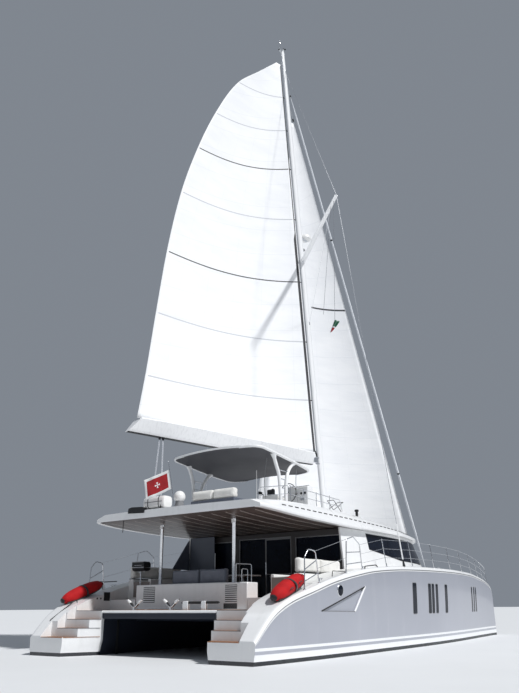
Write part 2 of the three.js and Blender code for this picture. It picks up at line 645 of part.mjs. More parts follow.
// Mast with its gooseneck pin, spreaders, stays and shrouds
const mastY = (z) => mast.y5600 - Math.tan(mast.rake) * (z - 5600);
function mastRing(z, scale) {
  const ring = [];
  const sides = 16;
  for (let i = 0; i < sides; i++) {
    const angle = (i * 2 * Math.PI) / sides;
    ring.push(at(scale * mast.halfWidth * Math.cos(angle), mastY(z) + scale * mast.halfDepth * Math.sin(angle), z));
  }
  return ring;
}
const mastTube = loft([mastRing(mast.footZ, 1), mastRing(22000, 1), mastRing(mast.headZ, 0.62)]);
const rakeAxis = at(0, -Math.sin(mast.rake), Math.cos(mast.rake));
const pinPoint = at(0, mastY(boom.pinZ) - boom.pinBack, boom.pinZ);
const onPin = (distance) => pinPoint.clone().addScaledVector(rakeAxis, distance);
{
  const lug = (low, high) =>
    loft([low, high].map((distance) => {
      const c = onPin(distance);
      return [at(-55, c.y - 45, c.z), at(55, c.y - 45, c.z), at(70, c.y + 200, c.z), at(-70, c.y + 200, c.z)];
    }));
  const root = at(0, mastY(spreader.rootZ), spreader.rootZ);
  const tip = at(...spreader.tip);
  const arm = rod(root, tip, spreader.half * 1.35, 8, spreader.half * 0.7);
  const body = join(mastTube, lug(-150, -110), lug(110, 150), rod(onPin(-150), onPin(150), boom.pin, 16),
    arm, mirrored(arm));
  add("mast", cut(body, roofTop), white);

  // the shroud runs over the spreader's tip, and leans in below it by a quarter of its length
  const masthead = at(60, mastY(27300), 27300);
  const reach = tip.clone().sub(root).normalize();
  const bend = tip.clone().addScaledVector(reach, shroudRadius * 1.04 + spreader.half * 0.7 * 0.25 + GAP);
  const wire = bentRod([masthead, bend, at(...chainplate)], shroudRadius, 6);
  addPair("cap_shroud", cut(wire, moved(mastTube, GAP, 0, 0), moved(hull, 0, 0, GAP)), steel);
}

function stayEnds(stay) {
  return [at(...stay.tack), at(0, mastY(stay.mastZ), stay.mastZ)];
}
const longeronTop = block(-200, 200, 6000, 12500, 2000, 2620 + GAP);
const mastFront = moved(mastTube, 0, GAP, 0);
{
  const [foot, top] = stayEnds(genoaStay);
  const length = top.distanceTo(foot);
  const stay = turned(foot, top, [[-200, 18], [180, 18], [190, 120], [410, 120], [420, 18], [length, 18]]);
  add("forestay_furler", cut(stay, longeronTop, mastFront), steel);

  const luffAt = (t) => foot.clone().lerp(top, t);
  const clew = at(...genoa.clew);
  const head = luffAt(genoa.headAt).add(at(-60, -150, 0));
  const rings = [];
  for (let r = 0; r < genoa.rows; r++) {
    const h = r / (genoa.rows - 1);
    const luff = luffAt(genoa.tackAt + (genoa.headAt - genoa.tackAt) * h);
    const leech = clew.clone().lerp(head, h).add(at(0, 900 * h * (1 - h), 0));
    const chord = leech.clone().sub(luff);
    const lee = at(chord.y, -chord.x, 0).normalize();
    if (lee.x > 0) lee.negate();
    const steps = 8;
    const side = (offset) => {
      const row = [];
      for (let i = 0; i <= steps; i++) {
        const s = i / steps;
        const belly = genoa.belly * chord.length() * 4 * s * (1 - s) * (1.2 - 0.4 * s);
        row.push(luff.clone().addScaledVector(chord, s).addScaledVector(lee, belly + offset));
      }
      return row;
    };
    rings.push([...side(genoa.thick / 2), ...side(-genoa.thick / 2).reverse()]);
  }
  const sleeve = turned(foot, top, [[0, 18 + GAP], [length, 18 + GAP]]);
  add("genoa", cut(loft(rings), sleeve), sailcloth);
}
{
  const [foot, top] = stayEnds(outerStay);
  const length = top.distanceTo(foot);
  const roll = turned(foot, top, [[-200, 14], [160, 14], [170, 100], [350, 100], [360, 14], [500, 14], [700, 62],
    [length - 1100, 40], [length - 900, 14], [length, 14]], 10);
  add("furled_code_sail", cut(roll, longeronTop, mastFront), sailcloth);
}

// Boom and mainsail, built on the centreline and swung to port about the gooseneck pin
const boomGroup = new THREE.Group();
boomGroup.position.copy(pinPoint);
boomGroup.quaternion.setFromAxisAngle(rakeAxis, -boom.swing);
boat.add(boomGroup);
const fromPin = (geometry) => geometry.translate(...pinPoint.clone().negate().toArray());
{
  // boom stations: y at the underside and at the top, half breadths there
  const stations = [
    { lowY: -230, topY: -230, low: 90, top: 200, under: boom.underZ + 40 },
    { lowY: -2600, topY: -2600, low: 110, top: 360, under: boom.underZ },
    { lowY: -6600, topY: -6600, low: 110, top: 360, under: boom.underZ },
    { lowY: -9420, topY: -8960, low: 90, top: 240, under: boom.underZ },
  ];
  const rings = stations.map((s) => [
    at(-s.low, s.lowY, s.under), at(s.low, s.lowY, s.under),
    at(s.top, s.topY, boom.topZ - 60), at(s.top - 40, s.topY, boom.topZ),
    at(-s.top + 40, s.topY, boom.topZ), at(-s.top, s.topY, boom.topZ - 60),
  ]);
  const tongue = loft([-100, 100].map((distance) => {
    const c = onPin(distance);
    return [at(-50, c.y + 45, c.z), at(50, c.y + 45, c.z), at(70, -400, c.z), at(-70, -400, c.z)];
  }));
  const eye = rod(onPin(-200), onPin(200), boom.pin + 1, 16);
  add("boom", fromPin(cut(join(loft(rings), tongue), eye)), white, boomGroup);
}
{
  const rings = mainSections.map((section) => {
    const luff = at(0, mastY(section.z) - mainsail.luffBack, section.z === boom.topZ ? boom.topZ + GAP : section.z);
    const twist = (mainsail.twist * (section.z - boom.topZ)) / mainsail.twistHeight;
    const aft = at(-Math.sin(twist), -Math.cos(twist), 0);
    const lee = at(-Math.cos(twist), Math.sin(twist), 0);
    const steps = 8;
    const side = (offset) => {
      const row = [];
      for (let i = 0; i <= steps; i++) {
        const s = i / steps;
        const belly = section.belly * section.chord * 4 * s * (1 - s) * (1.25 - 0.5 * s);
        row.push(luff.clone().addScaledVector(aft, section.chord * s).addScaledVector(lee, belly + offset));
      }
      return row;
    };
    return [...side(mainsail.thick / 2), ...side(-mainsail.thick / 2).reverse()];
  });
  add("mainsail", fromPin(loft(rings)), sailcloth, boomGroup);
}

// Flybridge: sunshade top on two pillars, helm, seats, rails, case, dome, ensign
function biminiRing(s) {
  const xs = [1, 0.6, 0, -0.6, -1];
  const low = xs.map((t) => at(t * s.half, s.y, s.under + bimini.camber * (1 - t * t)));
  const high = xs.map((t) => at(t * s.half, s.y, s.under + bimini.thick + bimini.camber * (1 - t * t))).reverse();
  return [...low, ...high];
}
const biminiBody = loft(bimini.stations.map(biminiRing));
add("bimini_top", biminiBody, white);
{
  const x = 1900;
  const legTop = (y) => at(x, y, tableAt(bimini.stations, "under", y) + 30);
  const aftLeg = [legTop(-6120), at(x, -5950, 5900), at(x + 20, -5800, 5450), at(x + 40, -5740, 4200)];
  const foreLeg = [legTop(-4850), at(x, -5150, 5850), at(x + 20, -5380, 5450), at(x + 40, -5440, 4200)];
  const rung = (z, a, b) => rod(at(x + 10, a, z), at(x + 10, b, z), 22, 6);
  const pillar = join(bentRod(aftLeg, 62, 8), bentRod(foreLeg, 62, 8), rung(5750, -5920, -5200), rung(5450, -5800, -5380));
  addPair("bimini_pillar", pillar, white, roofTop, moved(biminiBody, 0, 0, -GAP));
}
const helm = { x: 1480, wheelY: -4560, wheelZ: 5150, wheelRadius: 330 };
{
  const profile = [[-4400, 4200], [-3800, 4200], [-3800, 5000], [-4150, 5420], [-4400, 5350]];
  add("helm_console", cut(sideSlab(profile, 1250, 2200), roofTop,
    rod(at(helm.x, -4420, helm.wheelZ), at(helm.x, -4300, helm.wheelZ), 22, 16)), white);
  const seat = join(block(1160, 1790, -5650, -5150, 4200, 4900), block(1160, 1790, -5760, -5600, 4200, 5150));
  add("helm_seat", cut(seat, roofTop), black);
  const rim = new THREE.TorusGeometry(helm.wheelRadius, 17, 5, 20).rotateX(Math.PI / 2)
    .translate(helm.x, helm.wheelY, helm.wheelZ);
  const hubAt = (y) => at(helm.x, y, helm.wheelZ);
  const spokes = [0, 1, 2].map((i) => {
    const angle = (i * 2 * Math.PI) / 3 + Math.PI / 2;
    const end = at(Math.cos(angle), 0, Math.sin(angle)).multiplyScalar(helm.wheelRadius);
    return rod(hubAt(helm.wheelY), hubAt(helm.wheelY).add(end), 12, 6);
  });
  add("helm_wheel", join(rim, rod(hubAt(helm.wheelY - 30), hubAt(-4330), 21, 16), ...spokes), black);
}
{
  const base = join(block(-700, 1150, -7350, -6300, 4200, 4720), block(-700, -100, -7350, -5200, 4200, 4720));
  add("flybridge_sofa", cut(base, roofTop), white);
  const pads = join(block(-690, 1140, -7340, -7080, 4720 + GAP, 5060), block(-690, -440, -7340, -5210, 4720 + GAP, 5060));
  add("flybridge_cushions", pads, whiteCushion);
  add("liferaft_case", cut(block(-1650, -700, -8700, -8250, 4300, 4800), roofTop), white);
  const dome = join(new THREE.SphereGeometry(200, 12, 8).translate(-950, -7650, 4870),
    rod(at(-950, -7650, 4300), at(-950, -7650, 4870), 190, 12));
  add("satellite_dome", cut(dome, roofTop), white);
  const railTop = 4940;
  const line = [at(2050, -7250, 4200), at(2050, -7250, railTop), at(3050, -7000, railTop), at(3080, -3700, railTop - 90),
    at(3060, -3500, 4200)];
  const rails = bentRod(line, 14, 6);
  const legs = [-6900, -5300].map((y) => rod(at(3060, y, 4200), at(3060, y, railTop - 5), 12, 6));
  addPair("flybridge_rail", join(rails, ...legs), steel, roofTop);
  const staffFoot = at(-100, -8840, 4200);
  const staffHead = at(-350, -8930, 5820);
  add("ensign_staff", cut(rod(staffFoot, staffHead, 16, 8), roofTop), steel);
  const edge = (high, low) => {
    const off = at(0.3, -0.95, 0).multiplyScalar(6);
    return [high.clone().add(off), low.clone().add(off), low.clone().sub(off), high.clone().sub(off)];
  };
  const onStaff = (z) => staffFoot.clone().lerp(staffHead, (z - staffFoot.z) / (staffHead.z - staffFoot.z));
  const flag = loft([edge(onStaff(5540), onStaff(4920)), edge(at(-1180, -9170, 5250), at(-1060, -9170, 4590))]);
  add("ensign", cut(flag, rod(staffFoot, staffHead, 16 + GAP, 8)), red);
}

// Guard rails along each hull's edge: two hoops at the quarter, stanchions, a wire and the pulpit
{
  const edgeX = (y) => tableAt(hullStations, "sheerX", y) - 150;
  const edgeZ = (y) => tableAt(hullStations, "sheerZ", y) - 60;
  const above = (y, rise) => at(edgeX(y), y, edgeZ(y) + 60 + rise);
  const hoop = (points) => bentRod(points.map(([y, rise]) => above(y, rise)), 16, 6);
  const aftHoop = hoop([[-8350, -100], [-8300, 850], [-8100, 1020], [-7750, 900], [-7600, -100]]);
  const gate = hoop([[-6070, -100], [-5950, 980], [-5500, 1020], [-5100, 750], [-5000, -100]]);
  const topRise = 950;
  const stanchionYs = [-3200, -1000, 1200, 3250, 5100, 6900, 8300, 9500];
  const topOf = (y) => at(edgeX(y) - 90, y - 40, edgeZ(y) + topRise);
  const posts = stanchionYs.map((y) => rod(at(edgeX(y), y, edgeZ(y)), topOf(y), 15, 6));
  const pulpitTop = at(3500, 10200, 3080);
  const pulpitFoot = rod(pulpitTop, at(3580, 10150, 2150), 15, 6);
  const quarterWire = rod(above(-7750, 900), above(-5950, 980), 7, 4);
  const wire = bentRod([above(-5100, 750), ...stanchionYs.map(topOf), pulpitTop], 7, 4);
  const rails = join(aftHoop, gate, quarterWire, wire, pulpitFoot, ...posts);
  addPair("guard_rail", cut(rails, moved(hull, 0, 0, GAP)), steel);
}

// Strapped bags on the quarters
{
  const bag = new THREE.SphereGeometry(1, 12, 8).scale(260, 900, 210);
  bag.rotateX(22 * DEG).rotateZ(3 * DEG).translate(4130, -8850, 1860);
  addPair("quarter_bag", cut(bag, moved(hull, 0, 0, GAP)), red);
}

// Radar on the mast and the grill on its stand
{
  const z = 18000;
  const y = mastY(z) + mast.halfDepth;
  const radar = join(rod(at(0, y + 330, z), at(0, y + 330, z + 220), 290, 16), block(-60, 60, y - 100, y + 330, z - 60, z));
  add("mast_radar", cut(radar, mastFront), white);
  const grill = join(block(-3150, -2560, -7550, -7200, 2500, 2840), block(-2900, -2820, -7420, -7340, deck.soleZ + GAP, 2510));
  add("grill", grill, black);
}

export default boat;
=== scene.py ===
from math import atan2, cos, pi, radians, sin, sqrt, tan

import bmesh
import bpy
import numpy as np
from mathutils import Matrix, Quaternion, Vector


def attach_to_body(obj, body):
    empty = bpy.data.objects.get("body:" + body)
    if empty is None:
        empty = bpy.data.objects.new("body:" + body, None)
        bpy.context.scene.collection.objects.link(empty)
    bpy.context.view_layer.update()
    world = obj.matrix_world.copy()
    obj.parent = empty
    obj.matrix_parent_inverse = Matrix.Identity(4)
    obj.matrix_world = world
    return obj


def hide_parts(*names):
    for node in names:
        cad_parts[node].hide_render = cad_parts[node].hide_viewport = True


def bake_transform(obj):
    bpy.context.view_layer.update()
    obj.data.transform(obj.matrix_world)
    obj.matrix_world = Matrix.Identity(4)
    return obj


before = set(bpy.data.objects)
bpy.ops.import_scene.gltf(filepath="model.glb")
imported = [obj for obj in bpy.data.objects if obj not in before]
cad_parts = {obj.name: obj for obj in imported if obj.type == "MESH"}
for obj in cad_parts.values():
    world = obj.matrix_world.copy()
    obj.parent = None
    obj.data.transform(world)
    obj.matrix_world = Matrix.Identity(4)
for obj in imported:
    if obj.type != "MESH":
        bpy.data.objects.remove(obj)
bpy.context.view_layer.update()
print("frame loaded")

# camera
camera = {"lens": 35.05, "place": (14.703, -25.186, 1.367), "turn": 34.999, "pitch": 21.048, "roll": -0.402}


def setCamera(c):
    a, b, r = radians(c["turn"]), radians(c["pitch"]), radians(c["roll"])
    ahead = Vector((-sin(a) * cos(b), cos(a) * cos(b), sin(b)))
    level = Vector((cos(a), sin(a), 0))
    upright = level.cross(ahead)
    right = level * cos(r) + upright * sin(r)
    up = upright * cos(r) - level * sin(r)
    data = bpy.data.cameras.new("camera")
    data.lens, data.sensor_width, data.sensor_fit = c["lens"], 36, "AUTO"
    data.clip_start, data.clip_end = 0.1, 2000
    made = bpy.data.objects.new("camera", data)
    matrix = Matrix((right, up, -ahead)).transposed().to_4x4()
    matrix.translation = Vector(c["place"])
    made.matrix_world = matrix
    bpy.context.scene.collection.objects.link(made)
    bpy.context.scene.camera = made


setCamera(camera)


# materials
class Signal:
    # one value in a material's nodes; arithmetic on it adds Math nodes
    def __init__(self, paint, socket):
        self.paint, self.socket = paint, socket

    def maths(self, kind, a, b):
        return self.paint.node("Math", {"operation": kind}, {0: a, 1: b})

    def __add__(self, other):
        return self.maths("ADD", self, other)

    def __radd__(self, other):
        return self.maths("ADD", other, self)

    def __sub__(self, other):
        return self.maths("SUBTRACT", self, other)

    def __rsub__(self, other):
        return self.maths("SUBTRACT", other, self)

    def __mul__(self, other):
        return self.maths("MULTIPLY", self, other)

    def __rmul__(self, other):
        return self.maths("MULTIPLY", other, self)

    def __truediv__(self, other):
        return self.maths("DIVIDE", self, other)

    def __gt__(self, other):
        return self.maths("GREATER_THAN", self, other)

    def __lt__(self, other):
        return self.maths("LESS_THAN", self, other)

    def __mod__(self, other):
        return self.maths("FLOORED_MODULO", self, other)

    def __abs__(self):
        return self.maths("ABSOLUTE", self, 0)


class Paint:
    def __init__(self, name, **fixed):
        self.material = bpy.data.materials.new(name)
        self.material.use_nodes = True
        self.tree = self.material.node_tree
        self.shader = self.tree.nodes["Principled BSDF"]
        self.set(**fixed)

    def set(self, **values):
        # socket names with underscores for spaces
        self.feed(self.shader, {key.replace("_", " "): value for key, value in values.items()})
        return self

    def feed(self, made, values):
        for key, value in values.items():
            if isinstance(value, Signal):
                self.tree.links.new(value.socket, made.inputs[key])
            else:
                made.inputs[key].default_value = value

    def node(self, kind, settings=None, values=None, output=0):
        made = self.tree.nodes.new("ShaderNode" + kind)
        for key, value in (settings or {}).items():
            if key == "stops":
                while len(made.color_ramp.elements) < len(value):
                    made.color_ramp.elements.new(0.5)
                for element, (at, shade) in zip(made.color_ramp.elements, value):
                    element.position, element.color = at, shade
            else:
                setattr(made, key, value)
        self.feed(made, values or {})
        return Signal(self, made.outputs[output])

    def place(self, scale=(1, 1, 1), kind="Object"):
        at = self.node("TexCoord", output=kind)
        return self.node("Mapping", values={"Vector": at, "Scale": scale})

    def axis(self, vector, name):
        return self.node("SeparateXYZ", values={0: vector}, output=name)

    def noise(self, vector, scale, detail=3, roughness=0.55):
        return self.node("TexNoise", values={"Vector": vector, "Scale": scale, "Detail": detail,
                                             "Roughness": roughness})

    def mix(self, factor, a, b):
        return self.node("Mix", {"data_type": "RGBA"}, {0: factor, 6: a, 7: b}, 2)

    def range(self, value, low, high, to0=0.0, to1=1.0):
        return self.node("MapRange", {"clamp": True}, {0: value, 1: low, 2: high, 3: to0, 4: to1})

    def bump(self, height, strength, distance):
        self.set(Normal=self.node("Bump", values={"Height": height, "Strength": strength,
                                                  "Distance": distance}))
        return self


def rgb(r, g, b):
    return (r, g, b, 1)


def gelcoat(name, base, worn, rough=0.22, coat=0.5, shine=0.5, boot=None):
    # boot is the height that dark antifouling reaches to
    p = Paint(name, Coat_Weight=coat, Coat_Roughness=0.06, Specular_IOR_Level=shine)
    at = p.place()
    cloud = p.noise(at, 0.9, 4)
    fine = p.noise(at, 60, 2)
    streak = p.noise(p.place((5, 5, 0.35)), 1.0, 4)
    dirt = p.range(streak, 0.55, 0.85) * 0.35 + p.range(cloud, 0.4, 0.8) * 0.25
    shade = p.mix(dirt, base, worn)
    if boot is not None:
        shade = p.mix(p.axis(at, "Z") < boot, shade, rgb(0.014, 0.016, 0.022))
    p.set(Base_Color=shade, Roughness=rough + p.range(cloud, 0.3, 0.7) * 0.1 + fine * 0.05)
    return p.bump(p.noise(at, 7, 2) * 0.4 + fine * 0.05, 0.06, 0.01)


def metal(name, base, rough=0.2, brushed=(40, 40, 400)):
    p = Paint(name, Metallic=1.0)
    grain = p.noise(p.place(brushed), 1.0, 3)
    cloud = p.noise(p.place(), 9, 3)
    dull = (base[0] * 0.72, base[1] * 0.73, base[2] * 0.76, 1)
    p.set(Base_Color=p.mix(p.range(cloud, 0.45, 0.75) * 0.5, base, dull), Roughness=rough + grain * 0.12)
    return p.bump(grain, 0.05, 0.001)


def cloth(name, base, shade, weave=900, puff=0.0012, frost=0.25):
    p = Paint(name, Sheen_Weight=frost, Sheen_Roughness=0.5, Specular_IOR_Level=0.3)
    at = p.place()
    warp = p.node("TexWave", {"bands_direction": "X"},
                  {"Vector": at, "Scale": weave / 20, "Distortion": 0.6})
    weft = p.node("TexWave", {"bands_direction": "Z"},
                  {"Vector": at, "Scale": weave / 20, "Distortion": 0.6})
    cloud = p.noise(at, 4, 4)
    p.set(Base_Color=p.mix(p.range(cloud, 0.35, 0.75), base, shade), Roughness=0.85 - cloud * 0.1)
    return p.bump(warp * weft + p.noise(at, 30, 3), 0.35, puff)


def moulded(name, base, rough=0.45):
    p = Paint(name, Specular_IOR_Level=0.4)
    at = p.place()
    grain = p.node("TexVoronoi", {}, {"Vector": at, "Scale": 260})
    cloud = p.noise(at, 5, 3)
    light = tuple(min(1, v * 1.7 + 0.01) for v in base[:3]) + (1,)
    p.set(Base_Color=p.mix(p.range(cloud, 0.5, 0.9) * 0.5, base, light), Roughness=rough + cloud * 0.12)
    return p.bump(grain, 0.12, 0.0006)


def topsidePaint():
    # silver topside over a thin white line, a silver strip, a white band and dark antifouling
    p = Paint("topsidePaint", Coat_Weight=0.35, Coat_Roughness=0.08)
    at = p.place()
    z = p.axis(at, "Z")
    cloud, streak = p.noise(at, 0.35, 4), p.noise(p.place((3, 3, 0.25)), 1, 4)
    silver = p.mix(p.range(cloud, 0.3, 0.75), rgb(0.445, 0.46, 0.515), rgb(0.4, 0.415, 0.47))
    silver = p.mix(p.range(streak, 0.58, 0.9) * 0.35, silver, rgb(0.58, 0.585, 0.61))
    white = p.mix(p.range(streak, 0.5, 0.9) * 0.3, rgb(0.86, 0.87, 0.88), rgb(0.62, 0.64, 0.62))
    line, band = (z > 0.33) * (z < 0.4), (z > 0.1) * (z < 0.25)
    below = z < 0.1
    painted = p.mix(line + band, silver, white)
    slime = p.mix(p.range(p.noise(at, 3, 5), 0.4, 0.7), rgb(0.012, 0.014, 0.02), rgb(0.03, 0.04, 0.04))
    salt = p.noise(at, 45, 3)
    p.set(Base_Color=p.mix(below, painted, slime), Metallic=(1 - (line + band)) * (1 - below) * 0.35,
          Roughness=0.3 + below * 0.4 + salt * 0.06)
    return p.bump(p.noise(at, 5, 2) + salt * 0.04, 0.05, 0.012)


def deckGrip():
    p = Paint("deckGrip", Specular_IOR_Level=0.4)
    at = p.place()
    grip = p.node("TexVoronoi", {}, {"Vector": at, "Scale": 130})
    cloud = p.noise(at, 1.3, 5)
    p.set(Base_Color=p.mix(p.range(cloud, 0.4, 0.75), rgb(0.84, 0.84, 0.83), rgb(0.72, 0.72, 0.7)),
          Roughness=0.5 + cloud * 0.15)
    return p.bump(grip, 0.35, 0.0015)


def teakDeck():
    p = Paint("teakDeck", Specular_IOR_Level=0.3)
    at = p.place()
    across = p.axis(at, "X")
    plank = across / 0.055
    seam = (plank % 1.0) < 0.09
    board = p.node("Math", {"operation": "FLOOR"}, {0: plank})
    tint = p.node("TexWhiteNoise", {"noise_dimensions": "1D"}, {"W": board})
    grain = p.noise(p.place((60, 4, 60)), 1, 5, 0.65)
    wood = p.mix(p.range(grain, 0.3, 0.75), rgb(0.36, 0.17, 0.085), rgb(0.21, 0.09, 0.045))
    wood = p.mix(tint * 0.35, wood, rgb(0.46, 0.27, 0.16))
    p.set(Base_Color=p.mix(seam, wood, rgb(0.012, 0.012, 0.012)), Roughness=0.55 + grain * 0.2)
    return p.bump(grain * 0.4 - seam, 0.4, 0.002)


def sailcloth():
    # panels come from the piece's own UV map: u runs along the foot, v up the luff
    p = Paint("sailcloth", Sheen_Weight=0.15)
    uv = p.place(kind="UV")
    u, v = p.axis(uv, "X"), p.axis(uv, "Y")
    at = p.place()
    creaseAndShade = p.noise(p.place((0.5, 0.5, 2.2)), 1.0, 5)
    weave = p.noise(at, 260, 2)
    seam = (abs(((v * 16 + u * 1.1) % 1.0) - 0.5) < 0.011) + (abs(((u * 5 + v * 0.6) % 1.0) - 0.5) < 0.005)
    # the cloth is darker where the crease noise rises: painted shade in the creases, which also bump
    white = p.mix(p.range(creaseAndShade, 0.35, 0.7), rgb(0.89, 0.895, 0.905), rgb(0.83, 0.84, 0.86))
    p.set(Base_Color=p.mix(p.range(seam, 0, 1) * 0.22, white, rgb(0.6, 0.63, 0.68)),
          Roughness=0.62 + weave * 0.12)
    return p.bump(creaseAndShade * 0.9 + weave * 0.03 + seam * 0.12, 0.5, 0.03)


def tintedGlassAndShade():
    # nearly opaque and almost black: tinted glass, with the dark of the empty rooms behind painted in as
    # shade
    p = Paint("tintedGlassAndShade", IOR=1.45, Specular_IOR_Level=0.12, Alpha=0.985)
    film = p.noise(p.place(), 1.4, 4)
    tint = p.mix(p.range(film, 0.35, 0.7), rgb(0.003, 0.005, 0.012), rgb(0.008, 0.012, 0.022))
    p.set(Base_Color=tint, Roughness=0.05 + film * 0.06)
    return p


def roofLining():
    # polished brown-grey panels
    p = Paint("roofLining", Coat_Weight=0.12, Coat_Roughness=0.1, Specular_IOR_Level=0.3)
    cloud = p.noise(p.place((1.2, 0.35, 1)), 1.5, 5)
    base = p.mix(p.range(cloud, 0.35, 0.7), rgb(0.085, 0.066, 0.062), rgb(0.13, 0.1, 0.088))
    p.set(Base_Color=base, Roughness=0.3 + cloud * 0.15)
    return p.bump(cloud, 0.03, 0.01)


def sparPaint():
    p = Paint("sparPaint", Coat_Weight=0.6, Coat_Roughness=0.05)
    scuff = p.noise(p.place((12, 12, 0.7)), 1, 5)
    p.set(Base_Color=p.mix(p.range(scuff, 0.5, 0.85) * 0.6, rgb(0.86, 0.865, 0.875), rgb(0.6, 0.61, 0.62)),
          Roughness=0.26 + scuff * 0.12)
    return p.bump(p.noise(p.place(), 20, 3), 0.04, 0.003)


def ropePaint(name, base, fleck):
    p = Paint(name, Sheen_Weight=0.3)
    lay = p.node("TexWave", {"wave_type": "BANDS", "bands_direction": "DIAGONAL"},
                 {"Vector": p.place(), "Scale": 60, "Distortion": 1})
    p.set(Base_Color=p.mix(p.range(lay, 0.4, 0.8), base, fleck), Roughness=0.8)
    return p.bump(lay, 0.5, 0.002)


def ensignPaint():
    # red field in a white border, with a small white cross
    p = Paint("ensignCloth", Sheen_Weight=0.2)
    uv = p.place(kind="UV")
    u, v = p.axis(uv, "X"), p.axis(uv, "Y")
    edge = (u < 0.09) + (u > 0.91) + (v < 0.13) + (v > 0.87)
    du, dv = abs(u - 0.5) * 1.5, abs(v - 0.5)
    near = (du < 0.14) * (dv < 0.14)
    arms = ((dv - du * 0.3) < 0.006) + ((du - dv * 0.3) < 0.006)
    weave = p.noise(p.place(), 220, 2)
    red = p.mix(p.range(p.noise(p.place(), 5, 3), 0.3, 0.7), rgb(0.44, 0.005, 0.01),
                rgb(0.33, 0.003, 0.008))
    p.set(Base_Color=p.mix(p.range(edge + near * arms, 0.5, 0.9), red, rgb(0.84, 0.84, 0.83)),
          Roughness=0.75 + weave * 0.1)
    return p.bump(weave, 0.2, 0.001)


def netPaint():
    # mesh of cords 40 mm apart, see-through between them
    p = Paint("netting", Roughness=0.8)
    at = p.place()
    across, along = (abs(((p.axis(at, name) / 0.04) % 1.0) - 0.5) > 0.36 for name in "XY")
    lines = across + along
    shade = p.noise(at, 30, 2)
    return p.set(Base_Color=p.mix(shade, rgb(0.72, 0.72, 0.7), rgb(0.6, 0.6, 0.58)),
                 Alpha=p.range(lines, 0, 1, 0.04, 1))


white = gelcoat("whiteGelcoat", rgb(0.85, 0.855, 0.86), rgb(0.66, 0.665, 0.66))
sternWhite = gelcoat("sternGelcoat", rgb(0.84, 0.845, 0.85), rgb(0.66, 0.665, 0.66), boot=0.1)
warmWhite = gelcoat("furnitureGelcoat", rgb(0.82, 0.82, 0.81), rgb(0.68, 0.67, 0.65), 0.3, 0.3)
# painted shade: blue-grey for faces in shade, the port corner screen, the sofa backs' aft panels and the
# flybridge sofa
paintedShadeGrey = gelcoat("paintedShadePanel", rgb(0.10, 0.115, 0.15), rgb(0.06, 0.07, 0.1), 0.35, 0.2)
# painted shade: near black for the tunnel side of the hulls, the bridgedeck's underside and the platform's
# lower face
tunnel = gelcoat("tunnelPaint", rgb(0.022, 0.027, 0.042), rgb(0.014, 0.017, 0.026), 0.45, 0.05, 0.25)
# painted shade: near black for the aft bulkhead in the deep shade under the roof
bulkheadPaintedShade = gelcoat("paintedShadeBulkhead", rgb(0.05, 0.045, 0.045), rgb(0.03, 0.028, 0.03), 0.4, 0.1, 0.3)
topside, grip, teak, sail = topsidePaint(), deckGrip(), teakDeck(), sailcloth()
glass, lining, spar = tintedGlassAndShade(), roofLining(), sparPaint()
ensignCloth, netting = ensignPaint(), netPaint()
# light joints of the roof lining: real seams, painted light as the reflections along them
jointAndHighlight = gelcoat("jointAndHighlight", rgb(0.62, 0.56, 0.52), rgb(0.5, 0.45, 0.42), 0.3, 0.2)
steel = metal("polishedSteel", rgb(0.72, 0.73, 0.75), 0.14)
alloy = metal("brushedAlloy", rgb(0.62, 0.64, 0.67), 0.3)
bronze = metal("bronze", rgb(0.56, 0.38, 0.17), 0.25, (90, 90, 90))
blackPlastic = moulded("blackPlastic", rgb(0.015, 0.016, 0.018))
greyPlastic = moulded("greyPlastic", rgb(0.22, 0.225, 0.235), 0.4)
rubber = moulded("rubber", rgb(0.02, 0.02, 0.021), 0.75)
antifoul = gelcoat("antifouling", rgb(0.016, 0.018, 0.024), rgb(0.035, 0.045, 0.045), 0.6, 0.0)
redCloth = cloth("redBagCloth", rgb(0.46, 0.006, 0.008), rgb(0.34, 0.003, 0.006), 700, frost=0.02)
greyCloth = cloth("greyCushionCloth", rgb(0.2, 0.21, 0.245), rgb(0.155, 0.165, 0.2))
darkCloth = cloth("darkCushionCloth", rgb(0.03, 0.032, 0.038), rgb(0.018, 0.019, 0.023))
paleCloth = cloth("paleCushionCloth", rgb(0.78, 0.77, 0.74), rgb(0.66, 0.65, 0.62))
webbing = cloth("webbing", rgb(0.02, 0.02, 0.022), rgb(0.035, 0.035, 0.04), 1500, 0.0008)
whiteRope = ropePaint("whiteRope", rgb(0.75, 0.75, 0.74), rgb(0.3, 0.34, 0.45))
darkRope = ropePaint("darkRope", rgb(0.05, 0.06, 0.09), rgb(0.3, 0.3, 0.32))
shadeLining = gelcoat("shadeLining", rgb(0.05, 0.05, 0.058), rgb(0.075, 0.075, 0.085), 0.45, 0.0, 0.3)
# grey-brown for the lounges' aft faces: a taupe panel, darkened as painted shade
taupeAndShade = gelcoat("taupeShadePanel", rgb(0.23, 0.2, 0.185), rgb(0.17, 0.15, 0.14), 0.4, 0.2)
galvanised = metal("galvanised", rgb(0.5, 0.51, 0.52), 0.45, (60, 60, 60))
# near black: painted shadow lines on the mainsail, and the headsail's draft stripe
shadowAndStripeGrey = moulded("shadowAndStripeGrey", rgb(0.045, 0.045, 0.05), 0.6)
sailSeam = ropePaint("sailSeam", rgb(0.6, 0.61, 0.64), rgb(0.5, 0.51, 0.55))
sailRoll = ropePaint("sailRoll", rgb(0.8, 0.82, 0.85), rgb(0.66, 0.69, 0.74))
flagGreen = cloth("greenFlagCloth", rgb(0.006, 0.13, 0.06), rgb(0.004, 0.1, 0.045), 1500, 0.0005)
flagWhite = cloth("whiteFlagCloth", rgb(0.8, 0.8, 0.8), rgb(0.7, 0.7, 0.7), 1500, 0.0005)
flagRed = cloth("redFlagCloth", rgb(0.42, 0.01, 0.02), rgb(0.34, 0.008, 0.015), 1500, 0.0005)
clearPlastic = gelcoat("lampGlass", rgb(0.6, 0.62, 0.63), rgb(0.5, 0.52, 0.53), 0.1, 0.6)
print("materials made")


